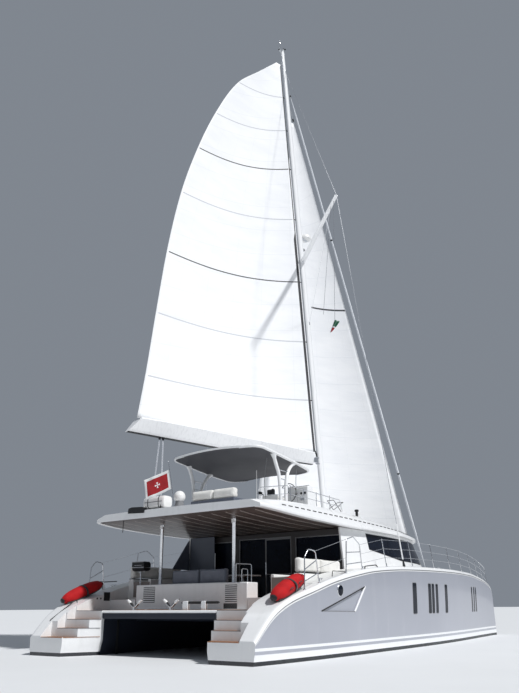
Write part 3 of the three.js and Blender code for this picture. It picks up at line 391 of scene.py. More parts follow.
# shapes
def smoothLine(xs, ys):
    # monotone cubic through the points, as a function
    xs, ys = np.array(xs, float), np.array(ys, float)
    h, slope = np.diff(xs), np.diff(ys) / np.diff(xs)
    m = np.zeros(len(xs))
    m[0], m[-1] = slope[0], slope[-1]
    for i in range(1, len(xs) - 1):
        if slope[i - 1] * slope[i] > 0:
            w1, w2 = 2 * h[i] + h[i - 1], h[i] + 2 * h[i - 1]
            m[i] = (w1 + w2) / (w1 / slope[i - 1] + w2 / slope[i])

    def at(x):
        i = int(np.clip(np.searchsorted(xs, x) - 1, 0, len(h) - 1))
        t = min(1.0, max(0.0, (x - xs[i]) / h[i]))
        a, b = (1 + 2 * t) * (1 - t) ** 2, t * (1 - t) ** 2
        c, d = t * t * (3 - 2 * t), t * t * (t - 1)
        return float(a * ys[i] + b * h[i] * m[i] + c * ys[i + 1] + d * h[i] * m[i + 1])

    return at


def spread(low, high, count):
    # even steps from low to high
    return [low + (high - low) * i / (count - 1) for i in range(count)]


def turns(count, shift=0):
    # even angles round a circle
    return [2 * pi * (k + shift) / count for k in range(count)]


def roundedBox(x0, x1, y0, y1, r, steps):
    # outline of a rectangle with round corners
    corners = ((x1 - r, y1 - r, 0), (x0 + r, y1 - r, 1), (x0 + r, y0 + r, 2), (x1 - r, y0 + r, 3))
    return [(x + r * cos(pi / 2 * (k + t / steps)), y + r * sin(pi / 2 * (k + t / steps)))
            for x, y, k in corners for t in range(steps + 1)]


class Shape:
    def __init__(self):
        self.points, self.faces, self.kinds, self.paints, self.uvs = [], [], [], [], {}

    def kind(self, paint):
        if paint not in self.paints:
            self.paints.append(paint)
        return self.paints.index(paint)

    def add(self, points, faces, paint):
        start, kind = len(self.points), self.kind(paint)
        self.points += [tuple(p) for p in points]
        self.faces += [tuple(start + i for i in face) for face in faces]
        self.kinds += [kind] * len(faces)
        return self

    def grid(self, rows, paint, ring=False, caps=False, uv=False):
        # rows of points; ring closes each row on itself, caps (or a paint for them) closes the ends;
        # paint may be a function of a face's row and column
        n = len(rows[0])
        start = len(self.faces)
        points, faces, kinds = [p for row in rows for p in row], [], []
        for r in range(len(rows) - 1):
            for i in range(n if ring else n - 1):
                j = (i + 1) % n
                faces.append((r * n + i, r * n + j, (r + 1) * n + j, (r + 1) * n + i))
                kinds.append(self.kind(paint(r, i) if callable(paint) else paint))
                if uv:
                    u, v = 1 / (n - 1), 1 / (len(rows) - 1)
                    self.uvs[start + len(faces) - 1] = [(i * u, r * v), (j * u, r * v),
                                                        (j * u, (r + 1) * v), (i * u, (r + 1) * v)]
        if caps:
            faces += [tuple(reversed(range(n))), tuple((len(rows) - 1) * n + i for i in range(n))]
            kinds += [self.kind(caps if isinstance(caps, Paint) else paint)] * 2
        first = len(self.points)
        self.points += [tuple(p) for p in points]
        self.faces += [tuple(first + i for i in face) for face in faces]
        self.kinds += kinds
        return self

    def tube(self, path, radius, paint, sides=10):
        path = [Vector(p) for p in path]
        radii = radius if isinstance(radius, (list, tuple)) else [radius] * len(path)
        ahead = (path[1] - path[0]).normalized()
        across = ahead.orthogonal().normalized()
        rows = []
        for i, p in enumerate(path):
            before = (p - path[i - 1]).normalized() if i else ahead
            after = (path[i + 1] - p).normalized() if i + 1 < len(path) else before
            along = (before + after).normalized()
            across = (across - along * across.dot(along)).normalized()
            third = along.cross(across)
            stretch = 1 / max(0.5, along.dot(before))
            rows.append([p + (across * cos(a) + third * sin(a)) * radii[i] * stretch
                         for a in turns(sides)])
        return self.grid(rows, paint, ring=True, caps=True)

    def turned(self, foot, ahead, rows, paint, sides=24):
        # rows of distance along ahead and radius
        foot, ahead = Vector(foot), Vector(ahead).normalized()
        across = ahead.orthogonal().normalized()
        third = ahead.cross(across)
        made = [[foot + ahead * d + (across * cos(a) + third * sin(a)) * max(r, 1e-4)
                 for a in turns(sides)] for d, r in rows]
        return self.grid(made, paint, ring=True, caps=True)

    def block(self, low, high, paint):
        (a, b, c), (d, e, f) = low, high
        points = [(a, b, c), (d, b, c), (d, e, c), (a, e, c), (a, b, f), (d, b, f), (d, e, f), (a, e, f)]
        return self.add(points, [(0, 3, 2, 1), (4, 5, 6, 7), (0, 1, 5, 4), (1, 2, 6, 5), (2, 3, 7, 6),
                                 (3, 0, 4, 7)], paint)

    def slab(self, outline, low, high, paint, axis="x"):
        # an outline pushed along an axis: (y, z) along x, (x, z) along y, (x, y) along z
        put = {"x": lambda a, b, c: (c, a, b), "y": lambda a, b, c: (a, c, b),
               "z": lambda a, b, c: (a, b, c)}[axis]
        n = len(outline)
        points = [put(a, b, low) for a, b in outline] + [put(a, b, high) for a, b in outline]
        faces = [tuple(range(n)), tuple(reversed(range(n, 2 * n)))]
        faces += [(i, i + n, (i + 1) % n + n, (i + 1) % n) for i in range(n)]
        return self.add(points, faces, paint)

    def ball(self, centre, radii, paint, sides=24, rows=14):
        made = []
        for h in spread(-1.0, 1.0, rows):
            r = sqrt(max(0, 1 - h * h)) or 1e-4
            made.append([(centre[0] + radii[0] * r * cos(a), centre[1] + radii[1] * r * sin(a),
                          centre[2] + radii[2] * h)
                         for a in turns(sides)])
        return self.grid(made, paint, ring=True, caps=True)

    def mirrored(self):
        other = Shape()
        other.points = [(-x, y, z) for x, y, z in self.points]
        other.faces = [tuple(reversed(f)) for f in self.faces]
        other.kinds, other.paints = list(self.kinds), list(self.paints)
        return other

    def make(self, name, body="boat", finish=None, stands=(), bevel=0, segments=2, sharp=35, fix=True,
             weld=True):
        data = bpy.data.meshes.new(name)
        data.from_pydata(self.points, [], self.faces)
        data.polygons.foreach_set("material_index", self.kinds)
        if self.uvs:
            layer = data.uv_layers.new(name="cut")
            for index, corners in self.uvs.items():
                for loop, corner in zip(data.polygons[index].loop_indices, corners):
                    layer.data[loop].uv = corner
        for paint in self.paints:
            data.materials.append(paint.material)
        data.update()
        made = bpy.data.objects.new(name, data)
        bpy.context.scene.collection.objects.link(made)
        tidyMesh(data, weld, fix)
        smooth(data, sharp)
        if bevel:
            edge = made.modifiers.new("edges", "BEVEL")
            edge.width, edge.segments = bevel, segments
            edge.limit_method, edge.angle_limit = "ANGLE", radians(40)
        return attach(made, body, stands)


def attach(made, body, stands=()):
    # the body that carries the piece and the nodes that it stands for
    if body:
        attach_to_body(made, body)
    if stands:
        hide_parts(*stands)
    return made


def smooth(data, angle):
    data.shade_smooth()
    data.set_sharp_from_angle(angle=radians(angle))


def tidyMesh(data, weld, fix):
    bm = bmesh.new()
    bm.from_mesh(data)
    if weld:
        bmesh.ops.remove_doubles(bm, verts=bm.verts, dist=2e-4)
    if fix:
        bmesh.ops.recalc_face_normals(bm, faces=bm.faces)
    bm.to_mesh(data)
    bm.free()


def applied(made):
    # the object's mesh with its modifiers worked in
    dg = bpy.context.evaluated_depsgraph_get()
    data = bpy.data.meshes.new_from_object(made.evaluated_get(dg))
    made.modifiers.clear()
    made.data = data
    return made


def carve(made, cutters):
    for cutter in cutters:
        step = made.modifiers.new("cut", "BOOLEAN")
        step.operation, step.solver, step.object = "DIFFERENCE", "EXACT", cutter
        step.material_mode = "TRANSFER"
    applied(made)
    for cutter in cutters:
        bpy.data.objects.remove(cutter)
    return made


def loose(shape):
    return shape.make("cutter", body=None, weld=False)


bothSides = (("Starboard", 1, "_starboard"), ("Port", -1, "_port"))


def pair(shape, name, finish, stands=(), body=None, **how):
    # the starboard piece and its mirror image, on the boat or each on the body of its own side
    for label, side, tail in bothSides:
        half = shape if side > 0 else shape.mirrored()
        half.make(name + label, body + tail if body else "boat", finish, [s + tail for s in stands], **how)


# hulls
hull = {
    # y, sheer x and z, inner edge of the deck, shelf z, outer and inner x at the waterline, depth below it
    "stations": [
        (-10.6, 4.3, 0.56, 2.8, 0.28, 4.23, 2.85, 0.07),
        (-10.25, 4.35, 0.93, 2.625, 0.36, 4.28, 2.69, 0.15),
        (-9.9, 4.39, 1.22, 2.45, 0.4, 4.315, 2.54, 0.22),
        (-9.56, 4.42, 1.41, 2.28, 0.44, 4.34, 2.4, 0.28),
        (-9.1, 4.46, 1.59, 2.28, 0.48, 4.37, 2.41, 0.35),
        (-8.1, 4.53, 1.85, 2.28, 0.56, 4.42, 2.46, 0.48),
        (-7.0, 4.58, 2.12, 2.28, 0.64, 4.45, 2.52, 0.6),
        (-5.7, 4.61, 2.34, 2.28, 0.72, 4.465, 2.58, 0.69),
        (-4.3, 4.62, 2.51, 2.28, 0.78, 4.47, 2.63, 0.75),
        (-1.9, 4.62, 2.64, 2.28, 0.82, 4.46, 2.7, 0.82),
        (0.7, 4.59, 2.69, 2.28, 0.84, 4.41, 2.76, 0.85),
        (3.3, 4.46, 2.71, 2.28, 0.86, 4.27, 2.86, 0.83),
        (5.6, 4.24, 2.69, 2.28, 1.0, 4.06, 3.0, 0.78),
        (6.9, 4.09, 2.64, 2.28, 1.3, 3.93, 3.11, 0.73),
        (7.05, 4.07, 2.63, 3.08, 1.9, 3.91, 3.13, 0.72),
        (8.2, 3.93, 2.55, 3.24, 1.9, 3.8, 3.27, 0.65),
        (9.3, 3.79, 2.44, 3.4, 1.85, 3.7, 3.43, 0.57),
        (10.1, 3.69, 2.28, 3.51, 1.7, 3.64, 3.53, 0.48),
        (10.5, 3.64, 2.08, 3.565, 1.5, 3.62, 3.57, 0.4),
        (10.63, 3.615, 1.8, 3.585, 1.3, 3.61, 3.59, 0.3),
    ],
    # from y, to y, outer edge of the cut and its floor: steps, cockpit and saloon
    "cuts": [(-10.75, -10.2, 3.82, 0.531), (-10.2, -9.9, 3.56, 0.779), (-9.9, -9.57, 3.5, 1.027),
             (-9.57, -8.15, 3.46, 1.275), (-8.15, -4.25, 3.55, 1.6), (-4.25, 0.5, 3.4, 1.6)],
    # extra rows of points beside the ends of the painted tunnel shade and the bow
    "rub": 0.032, "groove": 0.03, "lip": 0.11, "rows": 150, "extraRows": [7.0, 10.57],
    # windows of the outer side: from y, to y, from z, to z, slant
    "panes": [(-1.47, -1.13, 1.09, 2.1, 0), (0.0, 0.27, 1.09, 2.1, 0), (0.36, 0.6, 1.09, 2.1, 0),
              (0.76, 1.0, 1.09, 2.1, 0), (1.81, 2.11, 1.09, 2.1, 0), (5.85, 6.03, 1.09, 2.09, 0),
              (6.22, 6.4, 1.09, 2.09, 0.06), (6.62, 6.8, 1.09, 2.09, 0)],
    # round portlight: y, z, radius; between two ys the tunnel side is painted near black as shade
    "port": (-6.71, 1.78, 0.15), "tunnel": (-9.5, 6.85),
    "recess": [(-7.74, 1.23), (-5.16, 1.91), (-5.84, 1.2)], "recessDepth": 0.04,
    # z and aft end of the strips along the inner wall, a teak nosing low down and dark grey painted shadow
    # lines above it, the nosing on the stern, a small door and two sockets
    "nosingsAndShadowLines": [(0.527, -10.58), (0.775, -10.2), (1.023, -9.9)],
    "sternNosing": ((2.81, -10.607, 0.515), (3.8, -10.59, 0.533)),
    "smallDoor": (-8.45, -8.18, 1.57, 1.84), "sockets": (-8.58, -8.74, 1.64),
}
stationYs = [row[0] for row in hull["stations"]]
sheerX, sheerZ, innerX, shelfZ, outerW, innerW, depth = (
    smoothLine(stationYs, [row[i] for row in hull["stations"]]) for i in range(1, 8))


def hullSide(y, z, out=0.0):
    # a point of the starboard hull's outer side above the waterline
    t = min(1.0, z / (sheerZ(y) - min(hull["lip"], 0.15 * sheerZ(y))))
    return Vector((outerW(y) + (sheerX(y) - outerW(y)) * (1.8 * t - 0.8 * t * t) + out, y, z))


def hullSection(y):
    # points from the deck's inner edge, down and round to the gunwale and over the deck, with their kinds
    top, lip = sheerZ(y), min(hull["lip"], 0.15 * sheerZ(y))
    size = min(1.0, top / 1.4)
    points = [(innerX(y), z, "inner") for z in spread(top, shelfZ(y), 6)]
    points += [(innerX(y) + (innerW(y) - innerX(y)) * t, shelfZ(y) * (1 - t), "inner") for t in (0.35, 0.7)]
    centre, half = (outerW(y) + innerW(y)) / 2, (outerW(y) - innerW(y)) / 2
    for angle in spread(pi, 2 * pi, 25):
        c = cos(angle)
        points.append((centre + half * (abs(c) ** 0.8) * (1 if c > 0 else -1),
                       -depth(y) * abs(sin(angle)) ** 0.8, "side"))
    low = top - lip
    for z in spread(0, low - (hull["rub"] + hull["groove"]) * size, 17)[1:]:
        points.append((hullSide(y, z).x, z, "side"))
    x, edge = sheerX(y), min(0.09, 0.3 * (sheerX(y) - innerX(y)))
    rubZ, grooveZ = low - (hull["rub"] + hull["groove"]) * size, low - hull["groove"] * size
    points += [(x + 0.012 * size, rubZ + 0.004, "rub"), (x + 0.012 * size, grooveZ - 0.004, "rub"),
               (x - 0.01 * size, grooveZ, "groove"), (x - 0.01 * size, low, "groove"),
               (x + 0.004 * size, low + 0.004, "top")]
    for k in range(1, 5):
        turn = pi / 2 * k / 4
        points.append((x - edge * (1 - cos(turn)), low + (lip - 0.004) * sin(turn) + 0.004, "top"))
    for t in (0.04, 0.12, 0.9, 0.97):
        points.append((x - edge - (x - edge - innerX(y)) * t, top, "grip" if t == 0.12 else "top"))
    return [Vector((px, y, pz)) for px, pz, kind in points], [kind for px, pz, kind in points]


def hullShape():
    even = [round(y, 4) for y in spread(stationYs[0], stationYs[-1], hull["rows"])]
    rows = sorted(set(even + stationYs + hull["extraRows"]))
    sections = [hullSection(y) for y in rows]
    kinds = sections[0][1]
    paints = {"side": topside, "rub": white, "groove": greyPlastic, "top": white}

    def paint(r, i):
        if kinds[i] == "grip":
            return grip if rows[r] > -8.0 else white
        # the inner side: white aft, near-black painted shade in the tunnel, topside paint forward
        if kinds[i] == "inner":
            if rows[r] < hull["tunnel"][0]:
                return sternWhite
            return tunnel if rows[r] < hull["tunnel"][1] else topside
        return paints[kinds[i]]
    return Shape().grid([section[0] for section in sections], paint, ring=True, caps=sternWhite)


def makeHulls():
    cutters = []
    for low, high, edge, floor in hull["cuts"]:
        block = Shape().block((1.9, low, floor), (edge, high, 4.2), white)
        block.kinds[0] = block.kind(teak)
        cutters.append(block)
    triangle = Shape()
    near = [hullSide(y, z, -hull["recessDepth"]) for y, z in hull["recess"]]
    far = [p + Vector((0.4, 0, 0)) for p in near]
    triangle.add(near + far, [(0, 1, 2), (5, 4, 3), (0, 3, 4, 1), (1, 4, 5, 2), (2, 5, 3, 0)], topside)
    cutters.append(triangle)
    shape = hullShape()
    for label, side, tail in bothSides:
        made = (shape if side > 0 else shape.mirrored()).make("hull" + label, body=None)
        carve(made, [loose(c if side > 0 else c.mirrored()) for c in cutters])
        smooth(made.data, 30)
        attach(made, "boat", ["hull" + tail])


makeHulls()
print("hulls made")


def rounded(low, high, radius, at):
    # how far a rounded rectangle's edge stands back at a height
    reach = max(0.0, radius - min(at - low, high - at))
    return radius - sqrt(max(0.0, radius * radius - reach * reach))


def hullPane(shape, y0, y1, z0, z1, slant, radius, out, paint):
    rows = []
    steps = [radius * (1 - cos(pi / 2 * k / 4)) for k in range(4)]
    ends = [z0 + d for d in steps], [z1 - d for d in reversed(steps)]
    for z in ends[0] + spread(z0 + radius, z1 - radius, 7) + ends[1]:
        back = rounded(z0, z1, radius, z)
        lean = slant * (z - z0) / (z1 - z0)
        across = spread(y0 + back + lean, y1 - back + lean, 4)
        rows.append([hullSide(y, z, out) for y in across]
                    + [hullSide(y, z, -0.02) for y in reversed(across)])
    shape.grid(rows, paint, ring=True, caps=True)


def makeHullWindows():
    shape = Shape()
    for y0, y1, z0, z1, slant in hull["panes"]:
        hullPane(shape, y0 - 0.025, y1 + 0.025, z0 - 0.025, z1 + 0.025, slant, 0.06, 0.002, greyPlastic)
        hullPane(shape, y0, y1, z0, z1, slant, 0.045, 0.005, glass)
    y, z, radius = hull["port"]
    centre = hullSide(y, z)
    aim = Vector((1, 0, -0.06))
    shape.turned(centre - aim * 0.03, aim, [(0, radius + 0.03), (0.036, radius + 0.03),
                                            (0.046, radius + 0.02), (0.046, radius)], steel, 40)
    shape.turned(centre - aim * 0.02, aim,
                 [(0, radius - 0.002), (0.039, radius - 0.002), (0.043, radius - 0.02)], glass, 40)
    a, b, c = hull["recess"]
    # along the recess: a black line under its upper edge as painted shadow, a white one on its right edge as
    # painted highlight, and a thin grey one along its lower edge as painted shade
    for (y0, z0), (y1, z1), size, paint in ((a, b, 0.018, rubber), (b, c, 0.028, white),
                                            (a, c, 0.01, greyPlastic)):
        path = [hullSide(y0 + (y1 - y0) * t, z0 + (z1 - z0) * t, 0.0) for t in spread(0, 1, 12)]
        shape.tube(path, size, paint, 8)
    pair(shape, "hullWindows", finish="tinted_glass")


def makeStepEdges():
    # thin strips where the steps run out to the stern's slanting inner wall, and along their aft edges: a
    # teak nosing on the lowest, dark grey painted shadow lines on the rest
    shape = Shape()
    for z, start in hull["nosingsAndShadowLines"]:
        line = [(innerX(y) - 0.012, y) for y in spread(start, -9.59, 12)]
        rows = [[(x, y, z - 0.01), (x, y, z + 0.004), (x + 0.03, y, z + 0.004), (x + 0.03, y, z - 0.01)]
                for x, y in line]
        shape.grid(rows, teak if z < 0.6 else greyPlastic, ring=True, caps=True)
    # the aft edges get dark grey strips as painted shadow lines
    for y, front, edge, z in hull["cuts"][1:4]:
        shape.block((innerX(y) - 0.004, y - 0.006, z - 0.016), (edge, y + 0.01, z + 0.002), greyPlastic)
    shape.block(*hull["sternNosing"], teak)
    # a small locker door and two sockets in the inner face of the side deck
    x = hull["cuts"][3][2]
    y0, y1, z0, z1 = hull["smallDoor"]
    shape.block((x - 0.004, y0, z0), (x + 0.01, y1, z1), blackPlastic)
    for y in hull["sockets"][:2]:
        shape.turned((x + 0.006, y, hull["sockets"][2]), (-1, 0, 0),
                     [(0, 0.03), (0.012, 0.03), (0.016, 0.02)], blackPlastic, 16)
    pair(shape, "stepEdges", finish="black_fitting")


makeHullWindows()
makeStepEdges()

# bridgedeck
bridge = {"half": 2.28, "low": 0.95, "aft": -8.15, "lockerFront": -7.6, "front": 6.9, "top": 2.62,
          "sole": 1.6, "steps": 14}


def makeBridgedeck():
    b = bridge
    shape = Shape()
    under = [(y, b["low"]) for y in spread(b["aft"] + 0.06, 5.0, 8)]
    under += [(5.0 + 1.9 * sin(a), b["low"] + 1.15 * (1 - cos(a)))
              for a in spread(0, pi / 2, b["steps"])[1:]]
    under = [(b["aft"], b["low"] + 0.06)] + under
    over = [(b["front"], b["top"] - 0.05), (b["front"] - 0.05, b["top"]), (-4.0, b["top"]),
            (-4.0, b["sole"]), (b["lockerFront"], b["sole"]), (b["lockerFront"], 1.27), (b["aft"], 1.27)]
    shape.slab(under + over, -b["half"], b["half"], white)
    made = shape.make("bridgedeck", body=None)
    carve(made, [loose(Shape().block((-3.6, -4.3, b["sole"]), (3.6, 3.2, 3.2), warmWhite)),
                 *[loose(Shape().block((x - 0.38, 5.96, 2.27), (x + 0.38, 6.54, 2.7), white))
                   for x in (-1.15, 1.15)]])
    # the underside gets the near-black painted shade of the tunnel
    paint = {"deck": grip, "sole": teak, "under": tunnel}
    slots = {}
    for name, shade in paint.items():
        made.data.materials.append(shade.material)
        slots[name] = len(made.data.materials) - 1
    for face in made.data.polygons:
        if face.normal.z > 0.9 and face.center.z > 2.6:
            face.material_index = slots["deck"]
        elif face.normal.z > 0.9 and abs(face.center.z - b["sole"]) < 0.05:
            face.material_index = slots["sole"]
        elif face.normal.z < -0.2:
            face.material_index = slots["under"]
    smooth(made.data, 30)
    attach(made, "boat", ["bridgedeck"])


makeBridgedeck()
print("bridgedeck made")

# house
house = {
    # plan outline of the starboard half: y and half breadth up to the sill, y and half breadth at the top
    "outline": [(-4.3, 3.45, -4.3, 3.35), (-2.5, 3.5, -2.5, 3.4), (-0.5, 3.5, -0.5, 3.38),
                (1.2, 3.42, 1.2, 3.25), (2.9, 3.18, 2.6, 2.96), (4.3, 2.7, 3.65, 2.48),
                (5.25, 1.8, 4.4, 1.62), (5.7, 0.7, 4.72, 0.62), (5.76, 0, 4.76, 0)],
    "foot": 1.61, "sill": 2.72, "top": 3.868, "wall": 0.06, "glassTop": 3.76,
    "panes": [-2.36, -0.75, 1.15, 3.05], "seam": 0.012, "frontX": 2.78, "frontSill": 2.965,
    # the side windows' lower edge: z aft and amidships, y and length of its slope, and the fall from there
    "glassSill": {"aft": 3.25, "middle": 2.985, "from": -2.36, "length": 2.66, "to": 0.3, "fall": 0.01},
}
outlineSteps = list(range(len(house["outline"])))
wayRound = 2 * outlineSteps[-1]
houseLines = [smoothLine(outlineSteps, [row[i] for row in house["outline"]]) for i in range(4)]


def houseAt(s, z, out=0.0):
    # a point of the outer wall; s runs from 0 at the starboard aft end over 8 at the bow to 16 at port
    last = outlineSteps[-1]
    side = 1 if s <= last else -1
    k = s if s <= last else wayRound - s
    lean = max(0.0, (z - house["sill"]) / (house["top"] - house["sill"]))

    def plan(k):
        y, x, topY, topX = (line(k) for line in houseLines)
        return Vector((x + (topX - x) * lean, y + (topY - y) * lean, 0))
    a, b = plan(max(0, k - 0.02)), plan(min(last, k + 0.02))
    along = (b - a).normalized()
    p = plan(k) + Vector((along.y, -along.x, 0)) * out
    return Vector((side * p.x, p.y, z))


def houseStep(axis, value, z):
    # the place along the starboard outline where the wall's x or y has a value
    low, high = 0.0, float(outlineSteps[-1])
    for _ in range(30):
        middle = (low + high) / 2
        at = houseAt(middle, z)[axis]
        if (at < value) == (axis == 1):
            low = middle
        else:
            high = middle
    return low


def sillLine(y):
    g = house["glassSill"]
    if y < g["to"]:
        return g["aft"] + (g["middle"] - g["aft"]) * min(1.0, (y - g["from"]) / g["length"])
    return g["middle"] - g["fall"] * (y - g["to"])


def makeHouse():
    h = house
    shape = Shape()
    inside = -h["wall"]
    zs = [h["foot"], 2.2, h["sill"]] + spread(h["sill"] + 0.03, h["top"], 8)
    rows = []
    for s in spread(0, wayRound, 129):
        rows.append([houseAt(s, z, 0) for z in zs] + [houseAt(s, z, inside) for z in reversed(zs)])
    shape.grid(rows, lambda r, i: white if i < len(zs) else warmWhite, ring=True, caps=white)
    shape.make("houseShell", finish="white_gelcoat", stands=["house_shell"], sharp=40)

    def pane(corners, out, paint, grow):
        # corners give the outline step and the heights of both edges at a share u of the pane
        rows = []
        for u in spread(0, 1, 13):
            column = []
            for v in spread(0, 1, 7):
                s, z0, z1 = corners(u, v, grow)
                column.append((s, z0 + (z1 - z0) * v))
            rows.append([houseAt(s, z, out) for s, z in column]
                        + [houseAt(s, z, -0.02) for s, z in reversed(column)])
        glazing.grid(rows, paint, ring=True, caps=True)

    glazing = Shape()
    for side in (1, -1):
        for k, (y0, y1) in enumerate(zip(h["panes"], h["panes"][1:])):
            def corners(u, v, grow, y0=y0, y1=y1, k=k):
                start = y0 + h["seam"] - grow - (0.14 * v if k == 0 else 0)
                y = start + (y1 - h["seam"] + grow - start) * u
                s = houseStep(1, y, 3.4)
                return (s if side > 0 else wayRound - s), sillLine(y) - grow, h["glassTop"] + grow
            pane(corners, 0.006, rubber, 0.022)
            pane(corners, 0.014, glass, 0)
    first = houseStep(0, h["frontX"], 3.3)
    fronts = spread(first, wayRound - first, 5)
    for s0, s1 in zip(fronts, fronts[1:]):
        def corners(u, v, grow, s0=s0, s1=s1):
            edge = 0.02 - grow
            return s0 + edge + (s1 - s0 - 2 * edge) * u, h["frontSill"] - grow, h["glassTop"] + grow
        pane(corners, 0.006, rubber, 0.018)
        pane(corners, 0.014, glass, 0)
    glazing.make("houseGlazing", finish="tinted_glass", stands=["saloon_glass"], sharp=40)


makeHouse()
print("house made")

# hardtop
roof = {
    # y, half breadth at the lip, underside, top
    "stations": [(-9.06, 3.4, 4.04, 4.31), (-8.9, 3.51, 4.023, 4.327), (-7.5, 3.62, 3.935, 4.42),
                 (-5.9, 3.63, 3.885, 4.45), (-4.4, 3.63, 3.87, 4.45), (-2.7, 3.62, 3.87, 4.4),
                 (0.1, 3.55, 3.87, 4.3), (1.7, 3.33, 3.87, 4.22), (3.0, 3.0, 3.87, 4.14),
                 (4.0, 2.45, 3.87, 4.07), (4.7, 1.6, 3.87, 4.02), (5.02, 0.6, 3.87, 3.995)],
    "lip": 0.11, "shoulder": 0.38, "rim": 0.2, "recess": 0.012, "rows": 90,
    "extraRows": [-9.04, -8.98, 4.98],
    # joints of the lining, light strips that are partly painted reflection: x, and the y that they run
    # between
    "joints": [-3.0, -2.45, -1.9, -1.35, -0.8, -0.25, 0.25, 0.8, 1.35, 1.9, 2.45, 3.0],
    "jointYs": (-8.75, -4.1),
}
roofYs = [row[0] for row in roof["stations"]]
roofHalf, roofUnder, roofTop = (smoothLine(roofYs, [row[i] for row in roof["stations"]]) for i in (1, 2, 3))


def roofEdge(y):
    # the starboard half from the middle of the underside, round the lip to the crown
    half, under, top = roofHalf(y), roofUnder(y), roofTop(y)
    shoulder = min(roof["shoulder"], half * 0.4)
    rim = min(roof["rim"], half * 0.3)
    inner = [((half - rim) * t, under + roof["recess"]) for t in (0, 0.35, 0.7, 1)]
    lip = [(half - rim + 0.006, under), (half - 0.03, under), (half - 0.009, under + 0.009),
           (half, under + 0.03), (half, under + roof["lip"] - 0.02), (half - 0.012, under + roof["lip"])]
    slope = []
    for t in (0.33, 0.66, 1.0):
        z = under + roof["lip"] + (top - 0.045 - under - roof["lip"]) * t
        slope.append((half - 0.012 - (shoulder - 0.06) * t, z))
    over = [(half - shoulder - 0.01, top - 0.03), (half - shoulder - 0.12, top - 0.024)]
    over += [((half - shoulder - 0.12) * (1 - t), top - 0.024 * (1 - t) ** 2) for t in (0.2, 0.5, 0.8, 1)]
    return inner + lip + slope + over


def makeHardtop():
    rows = []
    even = [round(y, 3) for y in spread(roofYs[0], roofYs[-1], roof["rows"])]
    for y in sorted(set(even + roof["extraRows"])):
        half = roofEdge(y)
        rows.append([Vector((x, y, z)) for x, z in half]
                    + [Vector((-x, y, z)) for x, z in reversed(half[1:-1])])
    n = len(rows[0])

    def paint(r, i):
        return lining if i < 3 or i >= n - 3 else white
    shape = Shape().grid(rows, paint, ring=True, caps=white)
    for x in roof["joints"]:
        path = [(x, y, roofUnder(y) + roof["recess"]) for y in spread(*roof["jointYs"], 14)]
        rows = [[(px - 0.011, y, z + 0.01), (px + 0.011, y, z + 0.01), (px + 0.011, y, z - 0.004),
                 (px - 0.011, y, z - 0.004)]
                for px, y, z in path]
        shape.grid(rows, jointAndHighlight, ring=True, caps=True)
    shape.make("hardtop", finish="white_gelcoat", stands=["hardtop"], sharp=40)


makeHardtop()
print("hardtop made")

# spars and sails
mast = {
    "foot": 4.2, "head": 28.5, "yAt": (0.543, 5.6), "rake": radians(6.07), "halfDepth": 0.185,
    "halfWidth": 0.115,
    # it narrows by this share over the length above taperFrom
    "taper": 0.38, "taperFrom": 22, "taperLength": 6.5,
}
boom = {
    "swing": radians(13), "pinBack": 0.275, "pinZ": 7.25, "top": 7.55,
    # y at the underside and at the top, half breadths there, underside
    "stations": [(-0.23, -0.23, 0.09, 0.2, 7.04), (-1.0, -1.0, 0.1, 0.29, 7.015),
                 (-2.6, -2.6, 0.11, 0.36, 7.0), (-6.6, -6.6, 0.11, 0.36, 7.0),
                 (-8.2, -8.0, 0.105, 0.32, 7.0), (-9.42, -8.96, 0.09, 0.24, 7.0)],
}
mainsail = {
    # z, chord and belly
    "sections": [(7.55, 9.05, 0.03), (9.3, 8.6, 0.07), (11.8, 8.03, 0.09), (14.8, 7.32, 0.1),
                 (17.6, 6.5, 0.1), (20.2, 5.48, 0.1), (22.7, 4.27, 0.09), (25.0, 2.83, 0.07),
                 (26.3, 1.5, 0.05), (27.5, 0.26, 0.02)],
    "luffBack": 0.33, "twist": radians(5), "flat": (9.2, 20.6), "reach": (7.56, 27.5),
    # z at the luff and at the leech; the last entry lists those painted near black as shadow lines
    "battens": [(9.9, 9.2), (12.6, 11.8), (15.51, 14.58), (18.72, 17.6), (21.44, 20.2), (23.61, 22.52),
                (25.53, 24.98)],
    "darkShadowBattens": (2, 4),
}
genoa = {
    "tack": (0, 10.32, 2.62), "mastZ": 25.8, "from": 0.045, "to": 0.945, "clew": (-3.0, -0.3, 5.05),
    "belly": 0.1, "flat": (12.0, 22.5),
    # the draft stripe's ends along the chord, its height at the luff, its fall and half its breadth
    "stripe": {"from": 0.006, "to": 0.46, "luff": 0.575, "fall": 0.044, "half": 0.0018},
}


def mastScale(z):
    return 1 - mast["taper"] * max(0, (z - mast["taperFrom"]) / mast["taperLength"])


def mastY(z):
    return mast["yAt"][0] - tan(mast["rake"]) * (z - mast["yAt"][1])


pin = Vector((0, mastY(boom["pinZ"]) - boom["pinBack"], boom["pinZ"]))
rakeAxis = Vector((0, -sin(mast["rake"]), cos(mast["rake"])))
swing = Matrix.Translation(pin) @ Matrix.Rotation(-boom["swing"], 4, rakeAxis) @ Matrix.Translation(-pin)


def swung(p):
    return swing @ Vector(p)


def makeMast():
    m = mast
    shape = Shape()
    rows = []
    for z in spread(m["foot"], m["head"], 40):
        scale = mastScale(z)
        rows.append([(scale * m["halfWidth"] * cos(a) * (1.08 if sin(a) < 0 else 1),
                      mastY(z) + scale * m["halfDepth"] * sin(a), z) for a in turns(28)])
    shape.grid(rows, spar, ring=True, caps=True)
    shape.make("mast", finish="white_spar", stands=["mast"])


makeMast()


